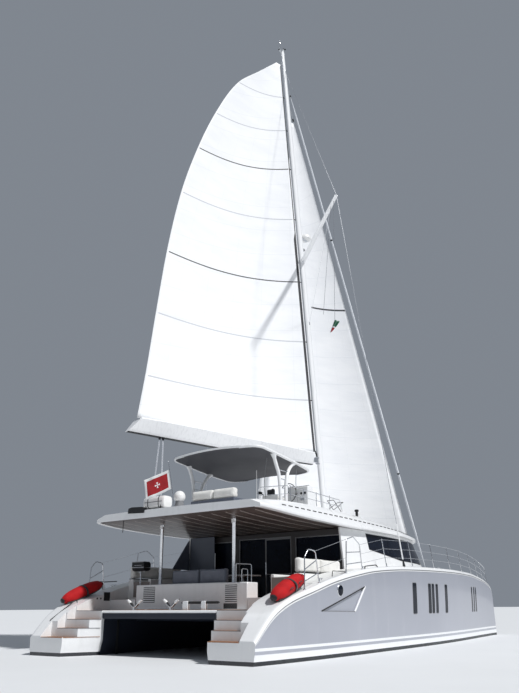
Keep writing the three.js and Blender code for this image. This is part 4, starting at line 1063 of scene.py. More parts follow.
def mainAt(s, z):
    chord, belly = mainChord(z), mainBelly(z)
    twist = mainsail["twist"] * (z - boom["top"]) / 20
    luff = Vector((0, mastY(z) - mainsail["luffBack"], z))
    aft, lee = Vector((-sin(twist), -cos(twist), 0)), Vector((-cos(twist), sin(twist), 0))
    return swung(luff + aft * chord * s + lee * belly * chord * 4 * s * (1 - s) * (1.25 - 0.5 * s))


sectionZs = [row[0] for row in mainsail["sections"]]
mainChord, mainBelly = (smoothLine(sectionZs, [row[i] for row in mainsail["sections"]]) for i in (1, 2))


def areaOf(rows):
    total = 0
    for a, b in zip(rows, rows[1:]):
        for i in range(len(a) - 1):
            near = (a[i + 1] - a[i]).cross(b[i] - a[i]).length / 2
            far = (b[i + 1] - a[i + 1]).cross(b[i + 1] - b[i]).length / 2
            total += near + far
    return total


def sheetPiece(name, rows, paint, body, stands, thick, uv=True):
    made = Shape().grid(rows, paint, uv=uv).make(name, body=None, fix=False, sharp=80)
    wall = made.modifiers.new("thickness", "SOLIDIFY")
    wall.thickness, wall.offset = thick, 0
    applied(made)
    attach(made, body, stands)
    areaOf(rows)


def makeMainsail():
    rows = [[mainAt(s, z) for s in spread(0, 1, 45)] for z in spread(*mainsail["reach"], 96)]
    sheetPiece("mainsail", rows, sail, "boom", ["mainsail"],
               0.006)


makeMainsail()


def genoaAt(s, h):
    g = genoa
    foot, top = Vector(g["tack"]), Vector((0, mastY(g["mastZ"]), g["mastZ"]))
    luff = foot.lerp(top, g["from"] + (g["to"] - g["from"]) * h)
    head = foot.lerp(top, g["to"]) + Vector((-0.06, -0.15, 0))
    leech = Vector(g["clew"]).lerp(head, h) + Vector((0, 0.9 * h * (1 - h), 0))
    chord = leech - luff
    lee = Vector((chord.y, -chord.x, 0)).normalized()
    if lee.x > 0:
        lee.negate()
    return luff + chord * s + lee * (g["belly"] * chord.length * 4 * s * (1 - s) * (1.2 - 0.4 * s))


def makeGenoa():
    rows = [[genoaAt(s, h) for s in spread(0.002, 1, 41)] for h in spread(0, 1, 90)]
    sheetPiece("genoa", rows, sail, "boat", ["genoa"], 0.006)


makeGenoa()


def makeBoom():
    rows = []
    topZ = boom["top"]
    for lowY, topY, low, top, under in boom["stations"]:
        half = [(0.0, under - 0.02), (low * 0.8, under - 0.012), (low, under + 0.01)]
        half += [(low + (top - low) * t, under + 0.01 + (topZ - 0.06 - under) * t)
                 for t in (0.25, 0.5, 0.75, 1)]
        half += [(top - 0.012, topZ - 0.012), (top - 0.04, topZ), (top - 0.07, topZ - 0.03),
                 (0.0, topZ - 0.06)]
        ring = []
        for x, z in half + [(-x, z) for x, z in reversed(half[1:-1])]:
            share = (z - under) / (topZ - under)
            ring.append(swung((x, lowY + (topY - lowY) * share, z)))
        rows.append(ring)
    n = len(rows[0])

    def paint(r, i):
        return blackPlastic if i < 2 or i >= n - 2 else spar
    shape = Shape().grid(rows, paint, ring=True, caps=spar)
    shape.make("boom", "boom", "white_spar", ["boom"])


makeBoom()
print("spars and sails made")

# sunshade
bimini = {
    # y, half breadth, underside
    "stations": [(-7.18, 1.3, 6.345), (-7.05, 1.8, 6.34), (-6.75, 2.0, 6.31), (-5.3, 2.02, 6.15),
                 (-3.9, 1.95, 6.01), (-3.6, 1.75, 5.985), (-3.48, 1.25, 5.975)],
    "thick": 0.08, "camber": 0.07, "rim": 0.09, "rows": 60, "extraRows": [-7.17, -7.14, -3.5],
}
biminiYs = [row[0] for row in bimini["stations"]]
biminiHalf, biminiUnder = (smoothLine(biminiYs, [row[i] for row in bimini["stations"]]) for i in (1, 2))


def makeBimini():
    b = bimini
    rows = []
    even = [round(y, 3) for y in spread(biminiYs[0], biminiYs[-1], b["rows"])]
    for y in sorted(set(even + b["extraRows"])):
        half, under = biminiHalf(y), biminiUnder(y)

        def rise(x):
            return b["camber"] * (1 - (x / half) ** 2)
        xs = [(half - b["rim"]) * t for t in (-1, -0.8, -0.5, -0.2, 0.2, 0.5, 0.8, 1)]
        ring = [(x, under + rise(x) + 0.008) for x in xs]
        ring += [(half - b["rim"] + 0.008, under), (half - 0.02, under), (half, under + 0.02),
                 (half, under + b["thick"] - 0.03), (half - 0.03, under + b["thick"])]
        ring += [(x, under + b["thick"] + rise(x)) for x in reversed(xs)]
        ring += [(-half + 0.03, under + b["thick"]), (-half, under + b["thick"] - 0.03),
                 (-half, under + 0.02), (-half + 0.02, under), (-half + b["rim"] - 0.008, under)]
        rows.append([(x, y, z) for x, z in ring])
    shape = Shape().grid(rows, lambda r, i: shadeLining if i < 7 else white, ring=True, caps=white)
    shape.make("bimini", finish="white_gelcoat", stands=["bimini_top"], sharp=40)


makeBimini()


pillars = {
    "x": 1.9, "radius": 0.062, "flare": 0.05,
    # distance outboard of x, y and z on the way down; the top sits under the shade
    "aft": [(0, -6.12, None), (0, -6.05, 6.1), (0, -5.95, 5.9), (0.02, -5.83, 5.6), (0.03, -5.78, 5.2),
            (0.04, -5.74, 4.4)],
    "fore": [(0, -4.85, None), (0, -4.98, 6.02), (0, -5.15, 5.85), (0.02, -5.33, 5.55), (0.03, -5.41, 5.1),
             (0.04, -5.44, 4.4)],
    # z, from y, to y
    "rungs": [(5.75, -5.92, -5.2), (5.45, -5.8, -5.38), (5.15, -5.78, -5.41), (4.85, -5.76, -5.42)],
    "rung": 0.018,
    # top, foot, sag
    "cables": [((1.36, -5.72, 6.24), (1.5, -5.9, 4.42), -0.12),
               ((1.86, -4.55, 6.1), (2.02, -4.66, 4.42), -0.1)],
    "cable": 0.011,
}


def makePillars():
    p = pillars
    shape = Shape()
    for path in (p["aft"], p["fore"]):
        path = [(p["x"] + dx, y, z or biminiUnder(y) + 0.04) for dx, y, z in path]
        line = [smoothLine(range(len(path)), [point[i] for point in path]) for i in range(3)]
        points = [tuple(f(k) for f in line) for k in spread(0, len(path) - 1, 26)]
        shape.tube(points, [p["radius"] + p["flare"] * max(0, 1 - k / 5) for k in range(26)], white, 16)
    for z, a, b in p["rungs"]:
        shape.tube([(p["x"] + 0.02, a, z), (p["x"] + 0.02, b, z)], p["rung"], steel, 10)
    pair(shape, "biminiPillar", finish="white_gelcoat", stands=["bimini_pillar"])
    cables = Shape()
    for top, foot, sag in p["cables"]:
        top, foot = Vector(top), Vector(foot)
        cables.tube([top.lerp(foot, t) + Vector((sag * sin(pi * t), 0, 0)) for t in spread(0, 1, 16)],
                    p["cable"], greyPlastic, 8)
    cables.make("sunshadeCables", finish="black_fitting")


makePillars()
print("sunshade made")

# repeats and path followers
class Tree:
    # a geometry node group with named inputs; what it makes ends as one painted mesh
    def __init__(self, name, **inputs):
        self.group = bpy.data.node_groups.new(name, "GeometryNodeTree")
        face = self.group.interface
        face.new_socket("Source", in_out="INPUT", socket_type="NodeSocketGeometry")
        face.new_socket("Result", in_out="OUTPUT", socket_type="NodeSocketGeometry")
        for label, (kind, value) in inputs.items():
            socket = face.new_socket(label, in_out="INPUT", socket_type="NodeSocket" + kind)
            if value is not None:
                socket.default_value = value
        self.start, self.end = self.group.nodes.new("NodeGroupInput"), self.group.nodes.new("NodeGroupOutput")

    def given(self, label):
        return self.start.outputs[label]

    def node(self, kind, settings=None, values=None, output=0):
        made = self.group.nodes.new(kind)
        for key, value in (settings or {}).items():
            setattr(made, key, value)
        for key, value in (values or {}).items():
            if isinstance(value, bpy.types.NodeSocket):
                self.group.links.new(value, made.inputs[key])
            else:
                made.inputs[key].default_value = value
        return made.outputs[output]

    def finish(self, geometry):
        solid = self.node("GeometryNodeRealizeInstances", values={0: geometry})
        painted = self.node("GeometryNodeSetMaterial",
                            values={"Geometry": solid, "Material": self.given("Paint")})
        self.group.links.new(painted, self.end.inputs[0])
        return self


def pipeWork():
    # tubes along the source's edges, their corners rounded
    tree = Tree("pipeWork", Radius=("Float", 0.014), Bend=("Float", 0.06), Sides=("Int", 10),
                Paint=("Material", None))
    curve = tree.node("GeometryNodeMeshToCurve", values={"Mesh": tree.given("Source")})
    bent = tree.node("GeometryNodeFilletCurve", {"mode": "POLY"},
                     {"Curve": curve, "Count": 5, "Radius": tree.given("Bend"), "Limit Radius": True})
    ring = tree.node("GeometryNodeCurvePrimitiveCircle",
                     values={"Resolution": tree.given("Sides"), "Radius": tree.given("Radius")})
    solid = tree.node("GeometryNodeCurveToMesh",
                      values={"Curve": bent, "Profile Curve": ring, "Fill Caps": True})
    return tree.finish(solid)


def rowWork():
    # copies of a part at even steps along the source's edges, each turned on from the one before
    tree = Tree("rowWork", Part=("Object", None), Count=("Int", 8), Turn=("Float", 0.0),
                Paint=("Material", None))
    curve = tree.node("GeometryNodeMeshToCurve", values={"Mesh": tree.given("Source")})
    even = tree.node("GeometryNodeResampleCurve", values={"Curve": curve, "Count": tree.given("Count")})
    points = tree.node("GeometryNodeCurveToPoints", {"mode": "EVALUATED"}, {"Curve": even})
    aim = points.node.outputs["Rotation"]
    index = tree.node("GeometryNodeInputIndex")
    angle = tree.node("ShaderNodeMath", {"operation": "MULTIPLY"}, {0: index, 1: tree.given("Turn")})
    twist = tree.node("FunctionNodeAxisAngleToRotation", values={"Axis": (0, 0, 1), "Angle": angle})
    aim = tree.node("FunctionNodeRotateRotation", {"rotation_space": "LOCAL"},
                    {"Rotation": aim, "Rotate By": twist})
    part = tree.node("GeometryNodeObjectInfo", values={"Object": tree.given("Part")}, output=4)
    placed = tree.node("GeometryNodeInstanceOnPoints",
                       values={"Points": points, "Instance": part, "Rotation": aim})
    return tree.finish(placed)


pipeTree, rowTree = pipeWork(), rowWork()


def wires(paths):
    data = bpy.data.meshes.new("paths")
    points, edges = [], []
    for path in paths:
        edges += [(len(points) + i, len(points) + i + 1) for i in range(len(path) - 1)]
        points += [tuple(p) for p in path]
    data.from_pydata(points, edges, [])
    return data


def grown(tree, source, name, **values):
    made = bpy.data.objects.new(name, source)
    bpy.context.scene.collection.objects.link(made)
    step = made.modifiers.new("grow", "NODES")
    step.node_group = tree.group
    for socket in tree.group.interface.items_tree:
        if socket.name in values:
            step[socket.identifier] = values[socket.name]
    applied(made)
    smooth(made.data, 40)
    return made


def pipes(name, paths, radius, paint, body="boat", stands=(), bend=0.05, sides=10):
    made = grown(pipeTree, wires(paths), name, Radius=radius, Bend=bend, Sides=sides, Paint=paint.material)
    return attach(made, body, stands)


def pairedPipes(name, paths, radius, paint, stands=(), bend=0.05, sides=10):
    for label, side, tail in bothSides:
        turned = [[(side * x, y, z) for x, y, z in path] for path in paths]
        pipes(name + label, turned, radius, paint, "boat", [s + tail for s in stands], bend, sides)


def repeated(name, part, path, count, paint, turn=0.0):
    # the part's own z lies along the path
    unit = part.make(name + "Unit", body=None)
    made = grown(rowTree, wires([path]), name, Part=unit, Count=count, Turn=turn, Paint=paint.material)
    bpy.data.objects.remove(unit)
    return attach(made, "boat")


# cushions
cushioning = {"pressure": 4.0, "frames": 20, "cap": 0.018, "voxel": 0.035, "edge": 0.24}
cushionsToSettle = []


def cushion(name, low, high, paint, finish, body="boat", stands=(), fill=0.9, source=None):
    # a bevelled block, remeshed, for the cloth solver to fill out
    made = (source or Shape().block(low, high, paint)).make(name, body=None)
    size = min(b - a for a, b in zip(low, high))
    if not source:
        edge = made.modifiers.new("edges", "BEVEL")
        edge.width, edge.segments = size * cushioning["edge"], 3
    step = made.modifiers.new("even", "REMESH")
    step.mode, step.voxel_size = "VOXEL", max(cushioning["voxel"], size / 7)
    applied(made)
    made.data.materials.clear()
    made.data.materials.append(paint.material)
    cushionsToSettle.append((made, body, finish, stands, fill))
    return made


def settleCushions():
    scene = bpy.context.scene
    rest = {}
    for made, *others in cushionsToSettle:
        rest[made.name] = [v.co.copy() for v in made.data.vertices]
        step = made.modifiers.new("filling", "CLOTH")
        step.settings.use_pressure, step.settings.uniform_pressure_force = True, cushioning["pressure"]
        step.settings.effector_weights.gravity = 0
        step.settings.tension_stiffness = step.settings.compression_stiffness = 25
        step.settings.quality = 4
        step.point_cache.frame_start, step.point_cache.frame_end = 1, cushioning["frames"]
    for number in range(1, cushioning["frames"] + 1):
        scene.frame_set(number)
    for made, body, finish, stands, fill in cushionsToSettle:
        applied(made)
        for vertex, home in zip(made.data.vertices, rest[made.name]):
            away = vertex.co - home
            if away.length > cushioning["cap"]:
                vertex.co = home + away.normalized() * cushioning["cap"]
        step = made.modifiers.new("finer", "SUBSURF")
        step.levels = step.render_levels = 1
        applied(made)
        made.data.shade_smooth()
        attach(made, body, stands)
    scene.frame_set(1)


# keels, rudders, shafts and propellers
under = {
    # height, aft end, fore end, half thickness
    "keelX": 3.5836, "keel": [(-0.55, -2.02, 1.92, 0.17), (-1.2, -1.76, 1.71, 0.155),
                              (-1.78, -1.53, 1.53, 0.135), (-1.848, -1.5, 1.5, 0.1)],
    "rudderX": 3.36, "stockY": -9.4, "stock": 0.04,
    "rudder": [(-0.39, -9.83, -9.21, 0.042), (-0.95, -9.768, -9.24, 0.034), (-1.46, -9.713, -9.268, 0.027),
               (-1.5, -9.69, -9.3, 0.016)],
    "hub": Vector((3.42, -8.35, -0.8)), "slope": radians(8),
    # distance from the shaft, breadth and thickness of a blade
    "blade": [(0.045, 0.075, 0.017), (0.09, 0.115, 0.014), (0.15, 0.158, 0.011), (0.2, 0.168, 0.009),
              (0.235, 0.14, 0.007), (0.258, 0.085, 0.006), (0.267, 0.03, 0.004)],
    "blades": 4, "pitch": 0.5,
    # outline of the platform's guide, a channel: x and y
    "guide": [(2.2545, -8.9), (2.29, -8.9), (2.29, -8.82), (2.2545, -8.82), (2.2545, -8.845),
              (2.272, -8.845), (2.272, -8.875), (2.2545, -8.875)],
    # distance along the shaft and radius: casing, its collar and the propeller's hub
    "casing": [(0, 0.03), (0.01, 0.04), (0.09, 0.042), (0.1, 0.036), (0.6, 0.034), (1.83, 0.034)],
    "collar": [(0, 0.035), (0.008, 0.042), (0.05, 0.042), (0.058, 0.035)],
    "boss": [(-0.11, 0.0), (-0.108, 0.018), (-0.085, 0.03), (-0.08, 0.036), (-0.062, 0.038), (-0.06, 0.052),
             (0.0, 0.06), (0.09, 0.058), (0.15, 0.046), (0.16, 0.03), (0.164, 0.02), (0.23, 0.02)],
}
shaftLine = Vector((0, cos(under["slope"]), sin(under["slope"])))


def foil(c):
    return 10 * (0.2969 * sqrt(c) - 0.126 * c - 0.3516 * c * c + 0.2843 * c ** 3 - 0.1036 * c ** 4)


def finRing(z, aftY, foreY, half, x, count=32):
    ring = []
    for a in turns(count):
        c = (1 - cos(a)) / 2
        ring.append((x + (1 if a < pi else -1) * half * foil(c), foreY - (foreY - aftY) * c, z))
    return ring


def makeUnderwater():
    u = under
    pair(Shape().grid([finRing(*row, u["keelX"]) for row in u["keel"]], antifoul, ring=True, caps=True),
         "keel", finish="antifoul", sharp=50)
    pair(Shape().slab(u["guide"], -0.3, 1.25, blackPlastic, "z"), "platformGuide", finish="black_fitting",
         bevel=0.003)
    blade = Shape().grid([finRing(*row, u["rudderX"]) for row in u["rudder"]], antifoul, ring=True,
                         caps=True)
    blade.turned((u["rudderX"], u["stockY"], -0.6), (0, 0, 1),
                 [(0, 0.03), (0.2, u["stock"]), (0.64, u["stock"])], steel)
    pair(blade, "rudder", "antifoul", ["rudder"], "rudder", sharp=50)

    foot = u["hub"] + shaftLine * 0.17
    tube = Shape().turned(foot, shaftLine, u["casing"], bronze)
    tube.turned(foot + shaftLine * 0.3, shaftLine, u["collar"], alloy)
    arm = u["hub"] + shaftLine * 0.26
    tube.grid([finRing(z, arm.y - 0.07, arm.y + 0.11, 0.015, arm.x, 20) for z in spread(arm.z, -0.3, 5)],
              bronze, ring=True, caps=True)
    pair(tube, "shaftCasing", finish="bronze", stands=["shaft_casing"], sharp=40)

    screw = Shape().turned(u["hub"], shaftLine, u["boss"], bronze, 32)
    for spin in turns(u["blades"]):
        out = Quaternion(shaftLine, spin) @ Vector((0, -sin(u["slope"]), cos(u["slope"])))
        side = shaftLine.cross(out)
        rows = []
        for r, breadth, thick in u["blade"]:
            turn = -atan2(u["pitch"], 2 * pi * r)
            along, flat = side * cos(turn) + shaftLine * sin(turn), shaftLine * cos(turn) - side * sin(turn)
            middle = u["hub"] + shaftLine * (0.02 - 0.04 * r) + out * r
            rows.append([middle + along * breadth / 2 * cos(a) + flat * thick / 2 * sin(a)
                         for a in turns(16)])
        screw.grid(rows, bronze, ring=True, caps=True)
    pair(screw, "propeller", "bronze", ["propeller"], "propeller", sharp=50)


makeUnderwater()
print("underwater gear made")

# platform, chocks and locker
stern = {
    "platform": {"half": 2.2537, "aft": -9.57, "front": -8.165, "low": 1.03, "top": 1.275, "edge": 0.06,
                 "shade": 1.2,
                 "boards": [(-2.14, -0.74), (-0.7, 0.7), (0.74, 2.14)]},
    "chocks": {"xs": [-1.2, 0.3], "y": -9.265, "reach": 0.3, "foot": 1.2753, "valley": 1.365, "tip": 1.575,
               "bar": (-1.3, 0.4), "beam": (0.72, 2.12, 1.475)},
    "locker": {"half": 2.27, "aft": -8.15, "front": -7.6003, "low": 1.2703, "top": 2.04,
               "louvres": [(-1.92, -1.43), (1.46, 1.89)], "firstZ": 1.535, "slats": 8, "pitch": 0.058,
               "vent": (1.4, 1.9, 1.3, 1.45), "lids": [(-1.36, -0.03), (0.03, 1.36)],
               # y, x and z of both upper corners
               "rails": [(-7.86, 1.64, 2.59, 2.22, 2.55), (-7.78, 1.8, 2.44, 2.02, 2.42)]},
    "posts": {"x": 1.52, "y": -7.82, "foot": 2.0403, "radius": 0.054},
}


def makePlatform():
    p = stern["platform"]
    e = p["edge"]
    outline = [(p["front"], p["low"]), (p["front"], p["top"])]
    outline += [(p["aft"] + e - e * sin(a), p["top"] - e + e * cos(a)) for a in spread(0, pi / 2, 7)]
    outline.append((p["aft"], p["shade"]))
    outline += [(p["aft"] + e - e * cos(a), p["low"] + e - e * sin(a)) for a in spread(0, pi / 2, 7)]
    shape = Shape().slab(outline, -p["half"], p["half"], white)
    # faces below the shade height get the near-black painted shade of the tunnel
    for i, (a, b) in enumerate(zip(outline, outline[1:] + outline[:1])):
        if a[1] + b[1] < 2 * p["shade"]:
            shape.kinds[i + 2] = shape.kind(tunnel)
    shape.make("platform", "tender_platform", "white_gelcoat", ["tender_platform"], bevel=0.004, sharp=30)
    boards = Shape()
    for x0, x1 in p["boards"]:
        boards.block((x0, p["aft"] + 0.2, p["top"] - 0.004), (x1, p["front"] - 0.12, p["top"] + 0.005),
                     teak)
    boards.make("platformBoards", "tender_platform", "bronze", bevel=0.003)


def makeChocks():
    c = stern["chocks"]
    arms, pads, bolts = [], Shape(), Shape()
    for x in c["xs"]:
        for y in (c["y"] - 0.022, c["y"] + 0.022):
            arms.append([(x - c["reach"], y, c["tip"]), (x - 0.05, y, c["valley"]),
                         (x + 0.05, y, c["valley"]), (x + c["reach"], y, c["tip"])])
        bolts.slab([(x - 0.07, c["foot"]), (x + 0.07, c["foot"]), (x + 0.07, c["foot"] + 0.012),
                    (x + 0.03, c["foot"] + 0.018), (x + 0.03, c["valley"] - 0.01),
                    (x - 0.03, c["valley"] - 0.01), (x - 0.03, c["foot"] + 0.018),
                    (x - 0.07, c["foot"] + 0.012)],
                   c["y"] - 0.034, c["y"] + 0.034, steel, "y")
        for side in (-1, 1):
            pads.tube([(x + side * 0.05, c["y"], c["valley"] + 0.01),
                       (x + side * 0.12, c["y"], c["valley"] + 0.073),
                       (x + side * 0.17, c["y"], c["valley"] + 0.118)],
                      [0.03, 0.04, 0.036], rubber, 12)
            pads.tube([(x + side * 0.16, c["y"], c["valley"] + 0.11),
                       (x + side * 0.2, c["y"], c["valley"] + 0.145),
                       (x + side * 0.29, c["y"], c["tip"] - 0.012)],
                      [0.04, 0.048, 0.034], warmWhite, 12)
    arms.append([(c["bar"][0], c["y"], c["foot"] + 0.028), (c["bar"][1], c["y"], c["foot"] + 0.028)])
    pipes("dinghyChocks", arms, 0.02, steel, "tender_platform", ["dinghy_chocks"], bend=0.03)
    bolts.make("chockFeet", "tender_platform", "steel", bevel=0.003)
    # a lifting beam lies beside them on its own brackets
    x0, x1, z = c["beam"]
    pads.tube([(x0, c["y"], z), (x0 + 0.06, c["y"], z), (x1 - 0.06, c["y"], z), (x1, c["y"], z)],
              [0.02, 0.035, 0.035, 0.02], rubber, 14)
    pads.make("chockPads", "tender_platform", "black_fitting")
    brackets = Shape()
    for x, wide in ((x0 + 0.17, 0.1), (1.57, 0.08)):
        brackets.slab([(x - wide, c["foot"]), (x + wide, c["foot"]), (x + wide, z + 0.02),
                       (x + wide - 0.03, z + 0.042), (x - wide + 0.03, z + 0.042), (x - wide, z + 0.02)],
                      c["y"] - 0.05, c["y"] + 0.05, white, "y")
    brackets.make("beamBrackets", "tender_platform", "white_gelcoat", bevel=0.008)


def makeLocker():
    l = stern["locker"]
    box = Shape().block((-l["half"], l["aft"], l["low"]), (l["half"], l["front"], l["top"]), white)
    box.make("transomLocker", finish="white_gelcoat", stands=["transom_locker"], bevel=0.024, segments=4)
    lids, dark = Shape(), Shape()
    for x0, x1 in l["lids"]:
        lids.block((x0, l["aft"] + 0.1, l["top"] - 0.01), (x1, l["front"] - 0.06, l["top"] + 0.012),
                   warmWhite)
        dark.block(((x0 + x1) / 2 - 0.07, l["aft"] + 0.13, l["top"] + 0.005),
                   ((x0 + x1) / 2 + 0.07, l["aft"] + 0.17, l["top"] + 0.016), blackPlastic)
    lids.make("lockerLids", finish="white_gelcoat", bevel=0.01, segments=3)
    tall = l["slats"] * l["pitch"]
    for k, (x0, x1) in enumerate(l["louvres"]):
        middle, low = (x0 + x1) / 2, l["firstZ"] - l["pitch"] / 2
        dark.block((x0 - 0.008, l["aft"] - 0.0035, low - 0.012),
                   (x1 + 0.008, l["aft"] + 0.02, low + tall + 0.004), blackPlastic)
        slat = Shape().slab([(-0.002, -0.016), (-0.0135, -0.019), (-0.014, -0.013), (-0.004, 0.012),
                             (-0.002, 0.012)], (x0 - x1) / 2, (x1 - x0) / 2, white)
        repeated("lockerLouvre%d" % k, slat,
                 [(middle, l["aft"], l["firstZ"]),
                  (middle, l["aft"], l["firstZ"] + (l["slats"] - 1) * l["pitch"])],
                 l["slats"], white)
    x0, x1, z0, z1 = l["vent"]
    dark.block((x0, l["aft"] - 0.008, z0), (x1, l["aft"] + 0.02, z1), blackPlastic)
    for z in spread(z0 + 0.025, z1 - 0.025, 4):
        dark.slab([(l["aft"] - 0.014, z - 0.008), (l["aft"] - 0.002, z - 0.008),
                   (l["aft"] - 0.002, z + 0.006)], x0 + 0.02, x1 - 0.02, greyPlastic)
    dark.make("lockerVents", finish="black_fitting", bevel=0.0025)
    hoops = [[(a, y, l["top"]), (a, y, high), (b, y, low), (b, y, l["top"])]
             for y, a, high, b, low in l["rails"]]
    pipes("lockerRail", hoops, 0.014, steel)


def makeRoofPosts():
    p = stern["posts"]
    top = roofUnder(p["y"]) + roof["recess"]
    shape = Shape().turned((p["x"], p["y"], p["foot"]), (0, 0, 1),
                           [(0, 0.062), (0.008, 0.062), (0.016, 0.058), (0.04, p["radius"]),
                            (top - p["foot"] - 0.1, p["radius"]), (top - p["foot"] - 0.09, 0.061),
                            (top - p["foot"], 0.062)], steel, 32)
    shape.block((p["x"] - 0.05, p["y"] - 0.075, top - 0.14), (p["x"] + 0.05, p["y"] - 0.03, top - 0.02),
                white)
    pair(shape, "roofPost", finish="steel", stands=["roof_post"], sharp=40)


makePlatform()
makeChocks()
makeLocker()
makeRoofPosts()
print("stern made")

# cockpit
cockpit = {
    # the sole is the height that things on its floor start from
    "sole": 1.6003,
    "bulkhead": {"y": (-3.95, -3.89), "half": 3.398, "topHalf": 3.292, "sill": 2.72, "top": 3.868,
                 "openings": [(-1.15, 1.15, 1.5, 3.7), (-3.15, -1.35, 2.35, 3.65),
                              (1.35, 3.15, 2.35, 3.65)]},
    # fixed panes inside the bulkhead: y, then x and z of each; the frame round the doorway
    "glass": (-3.8897, -3.8777),
    "panes": [(-3.2, -1.3, 2.3, 3.7), (1.3, 3.2, 2.3, 3.7), (-1.2, -0.03, 1.602, 3.705)],
    "doorway": (-1.162, 1.162, 1.602, 3.712),
    "screen": {"x": (-3.33, -2.12), "y": -4.26, "z": (1.605, 3.862),
               "wing": [(-4.27, 2.68), (-5.22, 2.68), (-4.36, 3.72), (-4.27, 3.8)]},
    "door": {"x": (-0.04, 1.16), "y": (-3.8717, -3.8357), "z": (1.606, 3.7), "stile": 0.07},
    "sofa": {"x": (-1.3, 1.05), "y": (-7.59, -6.85), "seat": 1.88,
             "backs": [(-1.2, -0.06), (-0.035, 1.04)]},
    "table": {"x": (-1.2, 0.95), "y": (-6.35, -5.45), "z": (2.3, 2.345),
              "legs": [(-0.7, -5.9), (0.45, -5.9)]},
    "lounge": {"x": (2.5, 3.549), "y": (-7.25, -4.7), "coaming": 2.27, "seat": 2.05,
               "back": (3.335, 2.3, 2.735)},
    "grill": {"x": (-3.15, -2.56), "y": (-7.55, -7.2), "z": (2.5, 2.84), "stand": (-2.86, -7.38)},
}


def frameAround(shape, x0, x1, low, high, near, far, wide, paint, flat=False):
    # four bars round an opening, which runs from x0 to x1 and from low to high; flat when it looks up
    for a, b, c, d in ((x0, x0 + wide, low, high), (x1 - wide, x1, low, high),
                       (x0 + wide, x1 - wide, low, low + wide), (x0 + wide, x1 - wide, high - wide, high)):
        shape.block((a, c, near) if flat else (a, near, c), (b, d, far) if flat else (b, far, d), paint)


def makeBulkhead():
    b = cockpit["bulkhead"]
    outline = [(-b["half"], cockpit["sole"]), (b["half"], cockpit["sole"]), (b["half"], b["sill"]),
               (b["topHalf"], b["top"]), (-b["topHalf"], b["top"]), (-b["half"], b["sill"])]
    # the bulkhead is painted near black as the shade under the roof
    made = Shape().slab(outline, b["y"][0], b["y"][1], bulkheadPaintedShade, "y").make("aftBulkhead", body=None)
    cutters = [loose(Shape().block((x0, b["y"][0] - 0.05, z0), (x1, b["y"][1] + 0.05, z1), bulkheadPaintedShade))
               for x0, x1, z0, z1 in b["openings"]]
    carve(made, cutters)
    edge = made.modifiers.new("edges", "BEVEL")
    edge.width, edge.segments, edge.limit_method = 0.008, 2, "ANGLE"
    applied(made)
    attach(made, "boat", ["aft_bulkhead"])
    y0, y1 = cockpit["glass"]
    panes = Shape()
    for x0, x1, z0, z1 in cockpit["panes"]:
        panes.block((x0, y0, z0), (x1, y1, z1), glass)
    panes.make("bulkheadGlass", finish="tinted_glass", stands=["bulkhead_glass"], bevel=0.002)
    frames = Shape()
    near, far = b["y"][0] - 0.006, b["y"][0] + 0.02
    for x0, x1, z0, z1 in b["openings"][1:]:
        frameAround(frames, x0 - 0.012, x1 + 0.012, z0 - 0.012, z1 + 0.012, near, far, 0.03, greyPlastic)
    frameAround(frames, *cockpit["doorway"], near, far, 0.035, greyPlastic)
    frames.make("bulkheadFrames", finish="steel", bevel=0.004)


def makeScreen():
    # a panel and a raked wing close off the port corner under the roof, painted blue-grey as the shade there
    s = cockpit["screen"]
    shape = Shape().slab([(s["x"][0], s["z"][0]), (s["x"][1], s["z"][0]), (s["x"][1], s["z"][1]),
                          (s["x"][0], s["z"][1])], s["y"], s["y"] + 0.04, paintedShadeGrey, "y")
    shape.slab(s["wing"], s["x"][0] - 0.05, s["x"][0] - 0.01, paintedShadeGrey)
    shape.make("cornerScreen", finish="grey_cushion", bevel=0.008)
    pipes("screenRail", [[(s["x"][1] + 0.06, s["y"] - 0.02, 1.61),
                          (s["x"][1] + 0.06, s["y"] - 0.02, 3.25)]], 0.016, alloy)


def makeDoor():
    d = cockpit["door"]
    (x0, x1), (y0, y1), (z0, z1) = d["x"], d["y"], d["z"]
    frames = Shape()
    frameAround(frames, x0, x1, z0, z1, y0, y1, d["stile"], greyPlastic)
    frames.block((x0 + d["stile"], y0 + 0.006, 2.42), (x1 - d["stile"], y1 - 0.006, 2.46), greyPlastic)
    frames.make("doorFrame", "saloon_door", "steel", bevel=0.004)
    pane = Shape().block((x0 + 0.05, y0 + 0.012, z0 + 0.05), (x1 - 0.05, y1 - 0.012, z1 - 0.05), glass)
    pane.make("saloonDoor", "saloon_door", "tinted_glass", ["saloon_door"], bevel=0.002)
    # a flush plate outside, so that the leaf clears the fixed pane, and a bar inside
    pull = Shape().block((x0 + 0.018, y0 - 0.0018, 2.43), (x0 + 0.052, y0 + 0.004, 2.87), steel)
    pull.tube([(x0 + 0.035, y1 - 0.002, z) if k in (0, 3) else (x0 + 0.035, y1 + 0.045, z)
               for k, z in enumerate((2.45, 2.45, 2.85, 2.85))], 0.009, steel, 14)
    pull.make("doorPull", "saloon_door", "steel")


